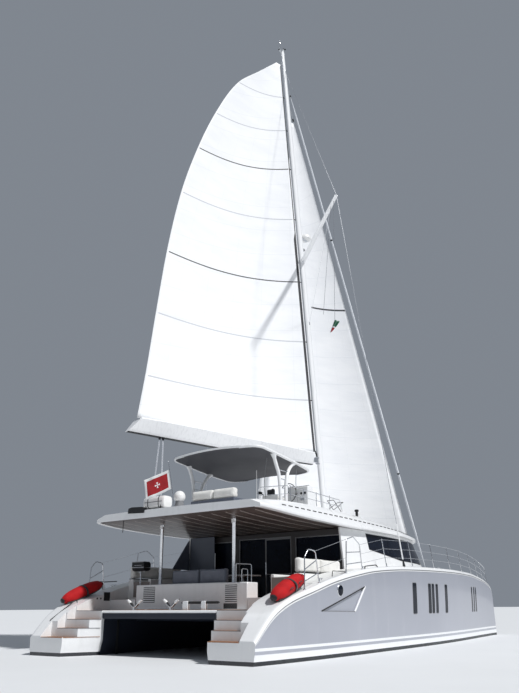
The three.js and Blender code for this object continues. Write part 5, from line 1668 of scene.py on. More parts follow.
def makeSofa():
    s = cockpit["sofa"]
    (x0, x1), (y0, y1), z0 = s["x"], s["y"], cockpit["sole"]
    profile = [(y0 + 0.01, z0), (y1 - 0.06, z0), (y1 - 0.06, z0 + 0.08), (y1 - 0.01, z0 + 0.12),
               (y1, s["seat"] - 0.02), (y1 - 0.02, s["seat"]), (y0 + 0.2, s["seat"]), (y0 + 0.19, 2.04),
               (y0 + 0.01, 2.04)]
    base = Shape().slab(profile, x0 + 0.005, x1 - 0.005, warmWhite)
    base.make("sofaBase", finish="white_gelcoat", stands=["cockpit_sofa"], bevel=0.012)
    for k in range(3):
        a, b = x0 + (x1 - x0) * k / 3, x0 + (x1 - x0) * (k + 1) / 3
        cushion("sofaSeat%d" % k, (a + 0.012, y0 + 0.22, s["seat"] + 0.002), (b - 0.012, y1 - 0.008, 2.012),
                greyCloth, "grey_cushion")
    for k, (a, b) in enumerate(s["backs"]):
        cushion("sofaBack%d" % k, (a, y0 + 0.01, 2.048), (b, y0 + 0.18, 2.49), greyCloth, "grey_cushion")
        # a blue-grey panel of painted shade on the back's aft face
        panel = Shape().block((a + 0.015, y0 + 0.002, 2.03), (b - 0.015, y0 + 0.02, 2.47), paintedShadeGrey)
        panel.make("sofaPanel%d" % k, finish="grey_cushion", bevel=0.008)


def makeTable():
    t = cockpit["table"]
    (x0, x1), (y0, y1), (z0, z1) = t["x"], t["y"], t["z"]
    outline = roundedBox(x0, x1, y0, y1, 0.14, 8)
    top = Shape().slab(outline, z0 + 0.002, z1, white, "z")
    inner = [(x * 0.93 - 0.009, (y + 5.9) * 0.87 - 5.9) for x, y in outline]
    top.slab(inner, z1 - 0.002, z1 + 0.003, teak, "z")
    top.make("cockpitTable", finish="white_gelcoat", stands=["cockpit_table"], bevel=0.008, segments=3)
    legs = Shape()
    for x, y in t["legs"]:
        legs.turned((x, y, cockpit["sole"]), (0, 0, 1),
                    [(0, 0.1), (0.012, 0.1), (0.02, 0.06), (0.04, 0.045), (0.36, 0.045), (0.37, 0.04),
                     (0.66, 0.04), (0.68, 0.06), (0.69, 0.095), (0.7, 0.095)], alloy, 28)
    legs.make("tableLegs", finish="steel")


def makeLounges():
    l = cockpit["lounge"]
    (x0, x1), (y0, y1), z0 = l["x"], l["y"], cockpit["sole"]
    inner, low, high = l["back"]
    profile = [(x0 + 0.03, z0), (x1, z0), (x1, low - 0.02), (inner, low - 0.02), (inner - 0.01, l["seat"]),
               (x0 + 0.13, l["seat"]), (x0 + 0.12, l["coaming"] - 0.02), (x0 + 0.1, l["coaming"]),
               (x0 + 0.02, l["coaming"]), (x0, l["coaming"] - 0.02), (x0, z0 + 0.1)]
    base = Shape().slab(profile, y0, y1, warmWhite, "y")
    pair(base, "cockpitLounge", finish="white_gelcoat", stands=["cockpit_lounge"], bevel=0.012)
    trim = Shape().block((inner - 0.004, y0 + 0.01, low - 0.022), (x1 - 0.004, y1 - 0.01, low + 0.004),
                         blackPlastic)
    # the grey-brown panel on the aft face is taupe darkened as painted shade
    trim.block((x0 + 0.03, y0 - 0.003, z0 + 0.08), (x1 - 0.25, y0 + 0.02, 2.18), taupeAndShade)
    pair(trim, "loungeTrim", finish="grey_cushion", bevel=0.004)
    for label, side, tail in bothSides:
        def across(a, b, c, d, e, f):
            return (min(side * a, side * d), b, c), (max(side * a, side * d), e, f)
        for k in range(3):
            a, b = y0 + (y1 - y0) * k / 3, y0 + (y1 - y0) * (k + 1) / 3
            cushion("loungeSeat%s%d" % (label, k),
                    *across(x0 + 0.14, a + 0.012, l["seat"] + 0.002, inner - 0.012, b - 0.012,
                            l["seat"] + 0.13),
                    paleCloth, "white_cushion")
        for k in range(2):
            a, b = y0 + (y1 - y0) * k / 2, y0 + (y1 - y0) * (k + 1) / 2
            cushion("loungeBack%s%d" % (label, k),
                    *across(inner + 0.008, a + 0.01, low + 0.006, x1 - 0.008, b - 0.01, high - 0.004),
                    paleCloth, "white_cushion")


def makeGrill():
    g = cockpit["grill"]
    (x0, x1), (y0, y1), (z0, z1) = g["x"], g["y"], g["z"]
    middle = (y0 + y1) / 2
    deep = (y1 - y0) / 2
    lid = [(middle - deep, z0 + 0.155), (middle - deep, z1 - 0.04), (middle - deep + 0.03, z1 - 0.006),
           (middle + deep - 0.06, z1 - 0.006), (middle + deep, z1 - 0.08), (middle + deep, z0 + 0.155)]
    shape = Shape().slab(lid, x0 + 0.01, x1 - 0.01, blackPlastic)
    pan = [(middle + deep * 0.98 * cos(a), z0 + 0.145 - 0.12 * sin(a) ** 0.6)
           for a in spread(0.03, pi - 0.03, 11)]
    shape.slab(pan, x0 + 0.015, x1 - 0.015, blackPlastic)
    shape.make("grill", finish="black_fitting", stands=["grill"], bevel=0.008, sharp=50)
    x, y = g["stand"]
    legs = Shape().turned((x, y, cockpit["sole"]), (0, 0, 1),
                          [(0, 0.07), (0.01, 0.07), (0.016, 0.03), (0.05, 0.022), (0.87, 0.022),
                           (0.88, 0.05), (0.905, 0.05)], alloy)
    legs.block((x0 + 0.02, y0 + 0.02, z0 + 0.138), (x1 - 0.02, y1 - 0.02, z0 + 0.152), alloy)
    legs.block((x0 + 0.008, y0 - 0.003, z1 - 0.03), (x1 - 0.008, y0 + 0.03, z1 - 0.004), greyPlastic)
    for dx in (-0.12, 0.16):
        legs.turned((x + dx, y, z0 - 0.02), (0, 0, 1),
                    [(0, 0.012), (0.06, 0.012), (0.065, 0.02), (0.075, 0.02)], alloy)
    legs.make("grillStand", finish="steel")
    pipes("grillHandle", [[(x0 + 0.12, y0 + 0.03, z0 + 0.22), (x0 + 0.12, y0 + 0.001, z0 + 0.21),
                           (x1 - 0.12, y0 + 0.001, z0 + 0.21), (x1 - 0.12, y0 + 0.03, z0 + 0.22)]], 0.008,
          steel, bend=0.015)


makeBulkhead()
makeScreen()
makeDoor()
makeSofa()
makeTable()
makeLounges()
makeGrill()
print("cockpit made")

# flybridge
fly = {
    "console": {"profile": [(-4.4, 4.3), (-3.8, 4.3), (-3.8, 4.98), (-3.86, 5.06), (-4.13, 5.41),
                            (-4.17, 5.415), (-4.4, 5.35)], "x": (1.25, 2.2),
                "face": ((-4.395, 5.36), (-4.17, 5.42)), "screens": [(1.3, 1.68), (1.74, 2.14)],
                "screenReach": (0.02, 0.2),
                "dials": [1.72, 1.92, 2.08], "levers": [1.94, 2.0]},
    "wheel": {"centre": (1.48, -4.56, 5.15), "radius": 0.33, "grip": 0.015},
    "seat": {"x": (1.16, 1.79), "y": (-5.76, -5.15), "z": (4.44, 4.9, 5.15)},
    "sofa": {"low": 4.41, "seat": 4.715, "long": (-0.7, -7.35, 1.15, -6.3),
             "short": (-0.7, -6.3, -0.1, -5.2),
             "backZ": (4.7225, 5.045),
             "backs": [(-0.685, -7.335, 0.22, -7.085), (0.235, -7.335, 1.135, -7.085),
                       (-0.685, -7.07, -0.445, -6.15), (-0.685, -6.135, -0.445, -5.215)]},
    "case": {"x": (-1.65, -0.7), "y": (-8.7, -8.25), "z": (4.34, 4.8)},
    "dome": {"at": (-0.95, -7.65), "foot": 4.4, "middle": 4.87, "radius": 0.2},
    "staff": ((-0.1, -8.84, 4.32), (-0.35, -8.93, 5.82)),
    "ensign": {"hoist": (5.54, 4.92), "fly": ((-1.18, -9.17, 5.25), (-1.06, -9.17, 4.59)),
               "flat": (1.02, 0.68)},
    "rail": {"line": [(2.05, -7.25, 4.41), (2.05, -7.25, 4.94), (3.05, -7.0, 4.94), (3.08, -3.7, 4.85),
                      (3.06, -3.5, 4.41)], "legs": (-6.9, -5.3, -6.1, -4.4)},
}


def roofAt(y, x=0.0):
    # the roof's upper face
    half, under, top = roofHalf(y), roofUnder(y), roofTop(y)
    edge = half - roof["shoulder"]
    if x < edge:
        return top - 0.024 * min(1.0, x / edge) ** 2
    return top - 0.03 - (top - 0.06 - under - roof["lip"]) * (x - edge) / (half - edge)


def makeConsole():
    c = fly["console"]
    shape = Shape().slab(c["profile"], c["x"][0] + 0.004, c["x"][1] - 0.004, white)
    shape.make("helmConsole", finish="white_gelcoat", stands=["helm_console"], bevel=0.03, segments=4)
    low, high = (Vector((0, y, z)) for y, z in c["face"])
    face = (high - low).normalized()
    off = Vector((0, -face.z, face.y))
    panel = Shape()
    a, b = c["screenReach"]
    corners = [low + face * a + off * 0.006, low + face * b + off * 0.006, low + face * b - off * 0.01,
               low + face * a - off * 0.01]
    for x0, x1 in c["screens"]:
        panel.slab([(p.y, p.z) for p in corners], x0, x1, glass)
    for x in c["dials"]:
        panel.turned((x, -4.41, 5.12), (0, 1, 0), [(0, 0.02), (0.006, 0.045), (0.02, 0.045)], blackPlastic,
                     20)
    panel.make("helmInstruments", finish="black_fitting", bevel=0.003)
    throttle = Shape().block((1.9, -4.43, 4.86), (2.04, -4.39, 4.98), alloy)
    for x in c["levers"]:
        throttle.tube([(x, -4.42, 4.94), (x, -4.5, 5.03)], 0.008, steel)
    throttle.make("helmThrottle", finish="steel", bevel=0.004)


def makeWheel():
    w = fly["wheel"]
    wheel = Shape()
    centre = Vector(w["centre"])
    rows = []
    for a in turns(60):
        out = Vector((cos(a), 0, sin(a)))
        rows.append([centre + out * (w["radius"] + w["grip"] * cos(b)) + Vector((0, w["grip"] * sin(b), 0))
                     for b in turns(12)])
    n = len(rows)
    faces = []
    for r in range(n):
        for i, j in ((k, (k + 1) % 12) for k in range(12)):
            faces.append((r * 12 + i, r * 12 + j, (r + 1) % n * 12 + j, (r + 1) % n * 12 + i))
    wheel.add([p for row in rows for p in row], faces, rubber)
    for a in turns(3):
        out = Vector((cos(a + pi / 2), 0, sin(a + pi / 2)))
        wheel.tube([centre - Vector((0, 0.01, 0)), centre + out * 0.16 - Vector((0, 0.012, 0)),
                    centre + out * w["radius"]], [0.014, 0.011, 0.009], steel)
    wheel.turned(centre - Vector((0, 0.03, 0)), (0, 1, 0),
                 [(0, 0.02), (0.004, 0.045), (0.035, 0.05), (0.045, 0.021), (0.26, 0.021)], steel, 28)
    wheel.make("helmWheel", "helm_wheel", "black_fitting", ["helm_wheel"], sharp=50)


def makeHelmSeat():
    s = fly["seat"]
    (x0, x1), (y0, y1), (z0, z1, z2) = s["x"], s["y"], s["z"]
    base = Shape().slab([(y0 + 0.03, z0 - 0.03), (y1 - 0.06, z0 - 0.03), (y1 - 0.04, z1 - 0.12),
                         (y0 + 0.02, z1 - 0.12)], x0 + 0.05, x1 - 0.05, warmWhite)
    base.slab([(y0, z1 - 0.15), (y0 + 0.05, z1 - 0.15), (y0 + 0.06, z1 + 0.02), (y0 + 0.01, z1 + 0.02)],
              x0 + 0.01, x1 - 0.01, warmWhite)
    lean = Vector((0.11, 0, 0.24)).normalized()
    side = lean.cross(Vector((0, 1, 0)))
    middle = Vector((x1 - 0.25, y0 + 0.05, z2 - 0.15))
    for y in (y0 + 0.015, y0 + 0.065):
        rows = []
        for d, g in ((0, 0.9), (0.012, 1.0), (0.03, 1.0), (0.042, 0.9)):
            centre = Vector((middle.x, y + d, middle.z))
            rows.append([centre + lean * 0.155 * g * cos(a) + side * 0.075 * g * sin(a) for a in turns(28)])
        base.grid(rows, blackPlastic, ring=True, caps=True)
    base.ball((x0 - 0.17, y0 + 0.12, z2 - 0.09), (0.085, 0.1, 0.055), blackPlastic, 18, 10)
    base.tube([(x0 - 0.15, y0 + 0.12, z2 - 0.11), (x0 - 0.04, y0 + 0.12, z2 - 0.16),
               (x0 + 0.06, y0 + 0.12, z1 - 0.1)], 0.02, steel)
    base.make("helmSeat", finish="white_gelcoat", stands=["helm_seat"], bevel=0.02, segments=3)
    cushion("helmSeatPad", (x0 + 0.008, y0 + 0.1, z1 - 0.115), (x1 - 0.008, y1 - 0.006, z1 - 0.008),
            paleCloth, "white_cushion")
    cushion("helmBackPad", (x0 + 0.16, y0 + 0.055, z1 - 0.02), (x1 - 0.16, y0 + 0.15, z2 - 0.006),
            darkCloth, "black_fitting")


def makeFlySeats():
    s = fly["sofa"]
    base = Shape()
    for x0, y0, x1, y1 in (s["long"], s["short"]):
        # a black plinth and a blue-grey body: painted shade for the dark under the cushions
        base.block((x0 + 0.02, y0 + 0.02, s["low"]), (x1 - 0.02, y1 - 0.002, s["low"] + 0.05), blackPlastic)
        base.block((x0, y0, s["low"] + 0.05), (x1, y1, s["seat"]), paintedShadeGrey)
    base.make("flySofa", finish="white_gelcoat", stands=["flybridge_sofa"], bevel=0.02, segments=3)
    low, high = s["backZ"]
    for k, (x0, y0, x1, y1) in enumerate(s["backs"]):
        cushion("flyBack%d" % k, (x0, y0, low), (x1, y1, high), paleCloth, "white_cushion",
                stands=["flybridge_cushions"] if not k else ())


def makeCase():
    c = fly["case"]
    (x0, x1), (y0, y1), (z0, z1) = c["x"], c["y"], c["z"]
    middle, up, deep, tall = (y0 + y1) / 2, (z0 + z1) / 2 + 0.03, (y1 - y0) / 2, (z1 - z0) / 2 - 0.035

    def ring(x, wide, high):
        # a section between a rectangle and an ellipse
        return [(x, middle + wide * (abs(cos(a)) ** 0.55) * (1 if cos(a) > 0 else -1),
                 up + high * (abs(sin(a)) ** 0.55) * (1 if sin(a) > 0 else -1)) for a in turns(32, 0.5)]
    ends = [(x0, 0.72), (x0 + 0.02, 0.9), (x0 + 0.07, 0.99), (x0 + 0.12, 1)]
    ends += [(x1 - 0.12, 1), (x1 - 0.07, 0.99), (x1 - 0.02, 0.9), (x1, 0.72)]
    shape = Shape().grid([ring(x, deep * grow, tall * grow) for x, grow in ends], warmWhite, ring=True,
                         caps=True)
    for x in (x0 + 0.24, x1 - 0.24):
        strap = [ring(x + d, deep + 0.005, tall + 0.005) for d in (-0.016, 0.016)]
        shape.grid(strap, webbing, ring=True, caps=True)
    shape.make("liferaftCase", finish="white_gelcoat", stands=["liferaft_case"], sharp=40)
    seam = Shape().grid([[(x, middle + sy * (deep * 0.995 + 0.004), up - 0.012 + sz * 0.024)
                          for sy, sz in ((-1, 0), (1, 0), (1, 1), (-1, 1))]
                         for x in (x0 + 0.075, x1 - 0.075)], greyPlastic, ring=True, caps=True)
    seam.make("liferaftSeam", finish="black_fitting")
    cradle = []
    for x in (x0 + 0.15, x1 - 0.15):
        cradle.append([(x, y0 + 0.02, up - 0.02), (x, y0 + 0.03, z0 + 0.02), (x, y1 - 0.03, z0 + 0.02),
                       (x, y1 - 0.02, up - 0.02)])
    for y in (y0 + 0.03, y1 - 0.03):
        cradle.append([(x0 + 0.03, y, z0 + 0.02), (x1 - 0.03, y, z0 + 0.02)])
    pipes("liferaftCradle", cradle, 0.018, blackPlastic)


def makeDome():
    d = fly["dome"]
    x, y = d["at"]
    r, middle = d["radius"], d["middle"]
    rows = [(0, 0.17), (0.012, 0.175), (0.1, 0.17), (0.3, 0.135), (0.35, 0.14)]
    base = Shape().turned((x, y, d["foot"] - 0.02), (0, 0, 1), rows, greyPlastic, 40)
    base.make("domeBase", finish="black_fitting")
    shell = [(middle + r * sin(a), r * cos(a)) for a in spread(radians(-48), pi / 2, 16)]
    dome = Shape().turned((x, y, 0), (0, 0, 1), shell, warmWhite, 40)
    dome.make("satelliteDome", finish="white_gelcoat", stands=["satellite_dome"])


def makeRoofRails():
    r = fly["rail"]
    pairedPipes("flyRail", [r["line"]], 0.014, steel, stands=["flybridge_rail"], bend=0.12)
    lower = [(2.05, -7.25, 4.68), (3.05, -7.0, 4.68), (3.07, -3.68, 4.63)]
    pairedPipes("flyRailMiddle", [lower] + [[(3.062, y, roofAt(y, 3.06)), (3.062, y, 4.93)]
                                            for y in r["legs"]], 0.01, steel, bend=0.1)
    feet = Shape()
    for x, y in [(2.05, -7.25), (3.06, -3.5)] + [(3.062, y) for y in r["legs"]]:
        feet.turned((x, y, roofAt(y, x) - 0.012), (0, 0, 1),
                    [(0, 0.04), (0.016, 0.04), (0.022, 0.03), (0.026, 0.018), (0.05, 0.017)], steel, 20)
    pair(feet, "flyRailFeet", finish="steel")


def makeEnsign():
    foot, head = (Vector(p) for p in fly["staff"])
    shape = Shape().turned(foot, head - foot, [(0, 0.03), (0.02, 0.03), (0.03, 0.016), (0.3, 0.016),
                                               (1.5, 0.012), (1.51, 0.02), (1.53, 0.022), (1.545, 0.012)],
                           steel, 20)
    shape.make("ensignStaff", finish="steel", stands=["ensign_staff"])
    e = fly["ensign"]

    def onStaff(z):
        return foot.lerp(head, (z - foot.z) / (head.z - foot.z))
    top, low = (onStaff(z) for z in e["hoist"])
    flyTop, flyLow = (Vector(p) for p in e["fly"])
    off = Vector((0.3, -0.95, 0)).normalized()
    rows = []
    for v in spread(0, 1, 19):
        row = []
        for u in spread(0.018, 1, 31):
            p = low.lerp(top, v).lerp(flyLow.lerp(flyTop, v), u)
            wave = 0.035 * u * sin(2 * pi * (u * 1.6 + v * 0.35))
            wave += 0.012 * u * sin(2 * pi * (u * 3.1 - v * 0.8))
            row.append(p + off * wave * 0.5 + Vector((0, 0, -0.02 * sin(pi * u) * (1 - v * 0.5))))
        rows.append(row)
    sheetPiece("ensign", rows, ensignCloth, "boat", ["ensign"], 0.002)
    loops = Shape()
    for v in (0.08, 0.92):
        p = low.lerp(top, v)
        loops.turned(p - (head - foot).normalized() * 0.012, head - foot,
                     [(0, 0.02), (0.004, 0.023), (0.02, 0.023), (0.024, 0.02)], greyPlastic, 16)
    loops.make("ensignClips", finish="steel")


makeConsole()
makeWheel()
makeHelmSeat()
makeFlySeats()
makeCase()
makeDome()
makeRoofRails()
makeEnsign()
print("flybridge made")

# guard rails
rails = {
    "inset": 0.15, "aftHoop": [(-8.35, -0.1), (-8.3, 0.85), (-8.1, 1.02), (-7.75, 0.9), (-7.6, -0.1)],
    "gate": [(-6.07, -0.1), (-5.95, 0.98), (-5.5, 1.02), (-5.1, 0.75), (-5.0, -0.1)],
    "posts": [-3.2, -1.0, 1.2, 3.25, 5.1, 6.9, 8.3, 9.5], "rise": 0.89, "lean": (-0.09, -0.04),
    "pulpit": ((3.5, 10.2, 3.08), (3.57, 10.15, 2.2)),
    "tube": 0.016, "wire": 0.006,
    # grip on the gunwale: y and rise; the rails beside the port steps and a small frame on the deck
    "grip": [(-4.86, 0.02), (-4.8, 0.07), (-4.0, 0.07), (-3.93, 0.02)],
    "steps": [(-3.93, -10.2, 0.78), (-3.93, -10.2, 1.0), (-3.78, -9.3, 1.64), (-3.78, -9.3, 1.5)],
    "upper": [(-7.68, 0.0), (-4.43, -7.66, 2.2), (-4.44, -6.98, 2.24)],
    "frame": [(4.35, -6.76, 2.1), (4.35, -6.7, 2.33), (4.35, -5.95, 2.34), (4.35, -5.93, 2.28)],
}


def railAt(y, rise):
    return Vector((sheerX(y) - rails["inset"], y, sheerZ(y) + rise))


def postTop(y, share=1.0):
    foot = railAt(y, 0)
    return foot + Vector((rails["lean"][0] * share, rails["lean"][1] * share, rails["rise"] * share))


def makeRails():
    r = rails
    hoops = [[railAt(*p) for p in r["aftHoop"]], [railAt(*p) for p in r["gate"]]]
    bars = [[a.lerp(b, share), e.lerp(d, share * 1.15)] for a, b, _, d, e in hoops
            for share in (0.64, 0.32)]
    top, foot = (Vector(p) for p in r["pulpit"])
    pulpit = [foot, top, postTop(r["posts"][-1])]
    pairedPipes("guardRail", hoops + bars + [pulpit], r["tube"], steel, stands=["guard_rail"], bend=0.14,
                sides=12)
    pairedPipes("stanchions", [[railAt(y, -0.02), postTop(y)] for y in r["posts"]], 0.0145, steel, sides=12)
    lines = [[hoops[0][3], hoops[1][1]],
             [hoops[0][4].lerp(hoops[0][3], 0.5), hoops[1][0].lerp(hoops[1][1], 0.5)]]
    for share in (1.0, 0.66, 0.33):
        start = hoops[1][4].lerp(hoops[1][3], share)
        lines.append([start] + [postTop(y, share * 0.985) for y in r["posts"]] + [foot.lerp(top, share)])
    pairedPipes("lifelines", lines, r["wire"], steel, bend=0.0, sides=6)
    feet = Shape()
    hoopYs = [r[hoop][i][0] for hoop in ("aftHoop", "gate") for i in (0, -1)]
    for p in (railAt(y, 0) for y in r["posts"] + hoopYs):
        feet.turned(p - Vector((0, 0, 0.03)), (0, 0, 1),
                    [(0, 0.045), (0.036, 0.045), (0.042, 0.03), (0.05, 0.02), (0.13, 0.019),
                     (0.135, 0.015)], steel, 18)
    for y in r["posts"]:
        feet.ball(postTop(y), (0.017, 0.017, 0.017), steel, 12, 7)
    pair(feet, "railFeet", finish="steel")
    grip = [railAt(*p) for p in r["grip"]]
    for p in (grip[0], grip[-1]):
        p += Vector((0.02, 0, -0.02))
    pairedPipes("gripRails", [grip], 0.016, blackPlastic, bend=0.06)
    upper = [railAt(*r["upper"][0]).reflect(Vector((1, 0, 0))), *r["upper"][1:]]
    pipes("stepRail", [r["steps"], upper], 0.016, blackPlastic, bend=0.06)
    pipes("deckFrame", [r["frame"]], 0.012, blackPlastic, bend=0.03)


makeRails()

# bags
bag = {"centre": (4.13, -8.81, 1.845), "half": (0.26, 0.86, 0.21), "rise": radians(20), "turn": radians(3),
       "strap": 0.02}


def makeBags():
    turn = Matrix.Translation(bag["centre"]) @ Matrix.Rotation(bag["turn"], 4, "Z")
    turn = turn @ Matrix.Rotation(bag["rise"], 4, "X")
    a, b, c = bag["half"]

    def ring(t, grow=0.0):
        size = (1 - abs(t) ** 3.4) ** 0.5 if abs(t) < 1 else 0.0
        return [turn @ Vector(((a * size + grow) * cos(k) * (1 + 0.03 * sin(5 * k)), b * t,
                               (c * size + grow) * (sin(k) if sin(k) > 0 else 0.86 * sin(k))))
                for k in turns(28)]
    ts = [-0.985, -0.96, -0.9, -0.82, -0.7, -0.55, -0.38, -0.2, 0, 0.2, 0.38, 0.55, 0.7, 0.82, 0.9, 0.96,
          0.985]
    for label, side, tail in bothSides:
        body = Shape().grid([ring(t) for t in ts], redCloth, ring=True, caps=True)
        if side < 0:
            body = body.mirrored()
        cushion("quarterBag" + label, (0, 0, 0), (0.42, 1.7, 0.42), redCloth, "red_cloth",
                stands=["quarter_bag" + tail], fill=0.85, source=body)
    outer = [ring(bag["strap"] + d, 0.022) for d in (-0.035, 0.035)]
    inner = [ring(bag["strap"] + d, 0.004) for d in (0.035, -0.035)]
    straps = Shape().grid(outer + inner + [outer[0]], webbing, ring=True)
    for t0, t1 in ((-0.986, -0.955), (0.955, 0.986)):
        straps.grid([ring(t0, 0.012), ring(t1, 0.012)], webbing, ring=True, caps=True)
    belly = []
    for t in spread(-0.86, 0.86, 15):
        full = ring(t, 0.014)
        low = [full[i] for i in range(17, 26)]
        inner = [turn @ ((turn.inverted() @ p) * 0.93) for p in low]
        belly.append(low + list(reversed(inner)))
    straps.grid(belly, webbing, ring=True, caps=True)
    pair(straps, "bagStraps", finish="black_fitting", sharp=50)
    handles = []
    for t in (-0.3, 0.3):
        handles.append([turn @ Vector((a * 1.03, b * (t + d), c * h))
                        for d, h in ((-0.1, 0.1), (-0.08, 0.28), (0.08, 0.28), (0.1, 0.1))])
    pairedPipes("bagHandles", handles, 0.011, webbing, bend=0.03, sides=8)


makeBags()
print("rails and bags made")

# bow
bow = {
    "beam": {"half": 3.56, "y": 9.7, "z": 2.28, "radius": 0.128},
    # longeron sections: y, half breadth, lower and upper face
    "longeron": [(6.9005, 0.108, 2.412, 2.618), (9.0, 0.108, 2.412, 2.618), (10.0, 0.106, 2.412, 2.618),
                 (11.2, 0.085, 2.47, 2.616), (11.78, 0.07, 2.505, 2.612)],
    # the blade's sections: y, z and half breadth
    "anchor": {"shank": [(10.2, 2.41), (10.25, 2.44), (11.26, 2.5), (11.3, 2.44), (11.28, 2.37),
                         (10.9, 2.385), (10.2, 2.395)],
               "blade": [(11.3, 2.36, 0.03), (11.2, 2.28, 0.13), (11.05, 2.17, 0.19), (10.92, 2.08, 0.205),
                         (10.82, 2.035, 0.12), (10.79, 2.02, 0.02)]},
    "net": {"z": 2.49, "inner": 0.113, "y": (6.903, 9.538), "flat": (3.35, 2.68),
            "edge": [(6.903, 2.23), (7.04, 2.26), (7.1, 3.05), (8.2, 3.21), (9.3, 3.37), (9.538, 3.403)]},
    "hatch": {"x": 1.15, "half": 0.418, "y": (5.9, 6.6), "z": (2.6205, 2.6498)},
}


def tapered(sections, paint):
    # a spar along y with rounded rectangular sections
    rows = []
    for y, half, low, high in sections:
        r = min(0.03, half * 0.9, (high - low) * 0.45)
        rows.append([(x, y, z) for x, z in roundedBox(-half, half, low, high, r, 5)])
    return Shape().grid(rows, paint, ring=True, caps=True)


def makeCrossbeam():
    b = bow["beam"]
    beam = Shape().turned((-b["half"], b["y"], b["z"]), (1, 0, 0),
                          [(0, 0.11), (0.01, b["radius"]), (0.06, b["radius"]), (0.07, 0.118),
                           (7.05, 0.118), (7.06, b["radius"]), (7.11, b["radius"]), (7.12, 0.11)], alloy,
                          40)
    beam.make("crossbeam", finish="silver_spar", stands=["crossbeam"])
    pipes("netRail", [[(-3.3, b["y"] - 0.14, b["z"] + 0.13), (3.3, b["y"] - 0.14, b["z"] + 0.13)]], 0.012,
          steel)
    tabs = Shape()
    for x in spread(-3.2, 3.2, 17):
        tabs.tube([(x, b["y"] - 0.06, b["z"] + 0.08), (x, b["y"] - 0.14, b["z"] + 0.13)], 0.01, alloy, 8)
    tabs.make("netTabs", finish="steel")


def makeBowsprit():
    spar = tapered(bow["longeron"], alloy)
    spar.turned((0, 11.78, 2.56), (0, 1, 0), [(0, 0.05), (0.012, 0.05), (0.018, 0.03), (0.03, 0.03)], steel,
                20)
    spar.make("bowsprit", finish="silver_spar", stands=["bowsprit"])


def makeAnchorGear():
    a = bow["anchor"]
    anchor = Shape().slab(a["shank"], -0.018, 0.018, galvanised)
    rows = []
    for y, z, half in a["blade"]:
        rows.append([(-half, y, z), (-half * 0.5, y + 0.01, z + 0.028), (0, y + 0.014, z + 0.045),
                     (half * 0.5, y + 0.01, z + 0.028), (half, y, z), (half * 0.5, y - 0.004, z + 0.012),
                     (0, y - 0.004, z + 0.02), (-half * 0.5, y - 0.004, z + 0.012)])
    anchor.grid(rows, galvanised, ring=True, caps=True)
    cheeks = Shape()
    for x in (-0.05, 0.05):
        cheeks.slab([(10.9, 2.41), (11.5, 2.41), (11.55, 2.45), (11.5, 2.52), (10.9, 2.47)], x - 0.004,
                    x + 0.004, steel)
    cheeks.turned((-0.046, 11.45, 2.44), (1, 0, 0),
                  [(0, 0.04), (0.02, 0.028), (0.072, 0.028), (0.092, 0.04)], rubber, 20)
    anchor.make("anchor", finish="silver_spar", bevel=0.004)
    cheeks.make("anchorRoller", finish="steel")
    link = Shape()
    link.tube([Vector((0.02 * cos(t), 0, 0.03 * sin(t))) for t in spread(0, 2 * pi, 13)], 0.006, galvanised,
              6)
    repeated("anchorChain", link, [(0, 6.75, 2.642), (0, 8.4, 2.642), (0, 10.15, 2.642)], 72, galvanised,
             turn=pi / 2)
    lass = Shape().turned((0, 6.62, 2.6), (0, 0, 1),
                          [(0, 0.13), (0.03, 0.13), (0.04, 0.11), (0.1, 0.1), (0.11, 0.07), (0.17, 0.065),
                           (0.18, 0.085), (0.2, 0.07)], steel, 28)
    lass.block((-0.16, 6.42, 2.6), (0.16, 6.62, 2.7), white)
    lass.make("windlass", finish="steel", bevel=0.006)


def makeNets():
    n = bow["net"]
    ys = [p[0] for p in n["edge"]]
    rows = []
    for y in sorted(set(spread(n["y"][0], n["y"][1], 24) + ys)):
        width = float(np.interp(y, ys, [p[1] for p in n["edge"]])) - n["inner"]
        rows.append([Vector((n["inner"] + width * t, y, n["z"] - 0.006 * sin(pi * t)))
                     for t in spread(0, 1, 24)])
    for label, side, tail in bothSides:
        placed = [[Vector((side * p.x, p.y, p.z)) for p in row] for row in rows]
        sheetPiece("net" + label, placed, netting, "boat", ["trampoline" + tail],
                   0.006)
    corners = [(n["inner"] + 0.01, n["y"][0] + 0.01)] + [(x - 0.01, y) for y, x in n["edge"]]
    corners.append((n["inner"] + 0.01, n["y"][1] - 0.005))
    border = [(x, y, n["z"]) for x, y in corners + corners[:1]]
    pairedPipes("netEdge", [border], 0.011, whiteRope, bend=0.02, sides=8)


def makeForedeckHatches():
    h = bow["hatch"]
    for label, side, tail in bothSides:
        x0, x1 = side * h["x"] - h["half"], side * h["x"] + h["half"]
        (y0, y1), (z0, z1) = h["y"], h["z"]
        body = "foredeck_hatch" + tail
        lid = Shape().block((x0, y0, z0), (x1, y1, z1), white)
        lid.make("foredeckHatch" + label, body, "white_gelcoat", [body], bevel=0.012, segments=3)
        inset = Shape().block((x0 + 0.08, y0 + 0.08, z1 - 0.01), (x1 - 0.08, y1 - 0.08, z1 + 0.004), grip)
        inset.make("hatchGrip" + label, body, "white_gelcoat", bevel=0.004)
        latch = Shape().turned((side * h["x"], y1 - 0.05, z1 - 0.01), (0, 0, 1),
                               [(0, 0.028), (0.014, 0.028), (0.016, 0.02)], steel, 20)
        for x in (x0 + 0.12, x1 - 0.12):
            latch.turned((x - 0.04, y0 + 0.012, z1 - 0.002), (1, 0, 0), [(0, 0.009), (0.08, 0.009)], steel,
                         12)
        latch.make("hatchLatch" + label, body, "steel")


makeCrossbeam()
makeBowsprit()
makeAnchorGear()
makeNets()
makeForedeckHatches()
print("bow made")

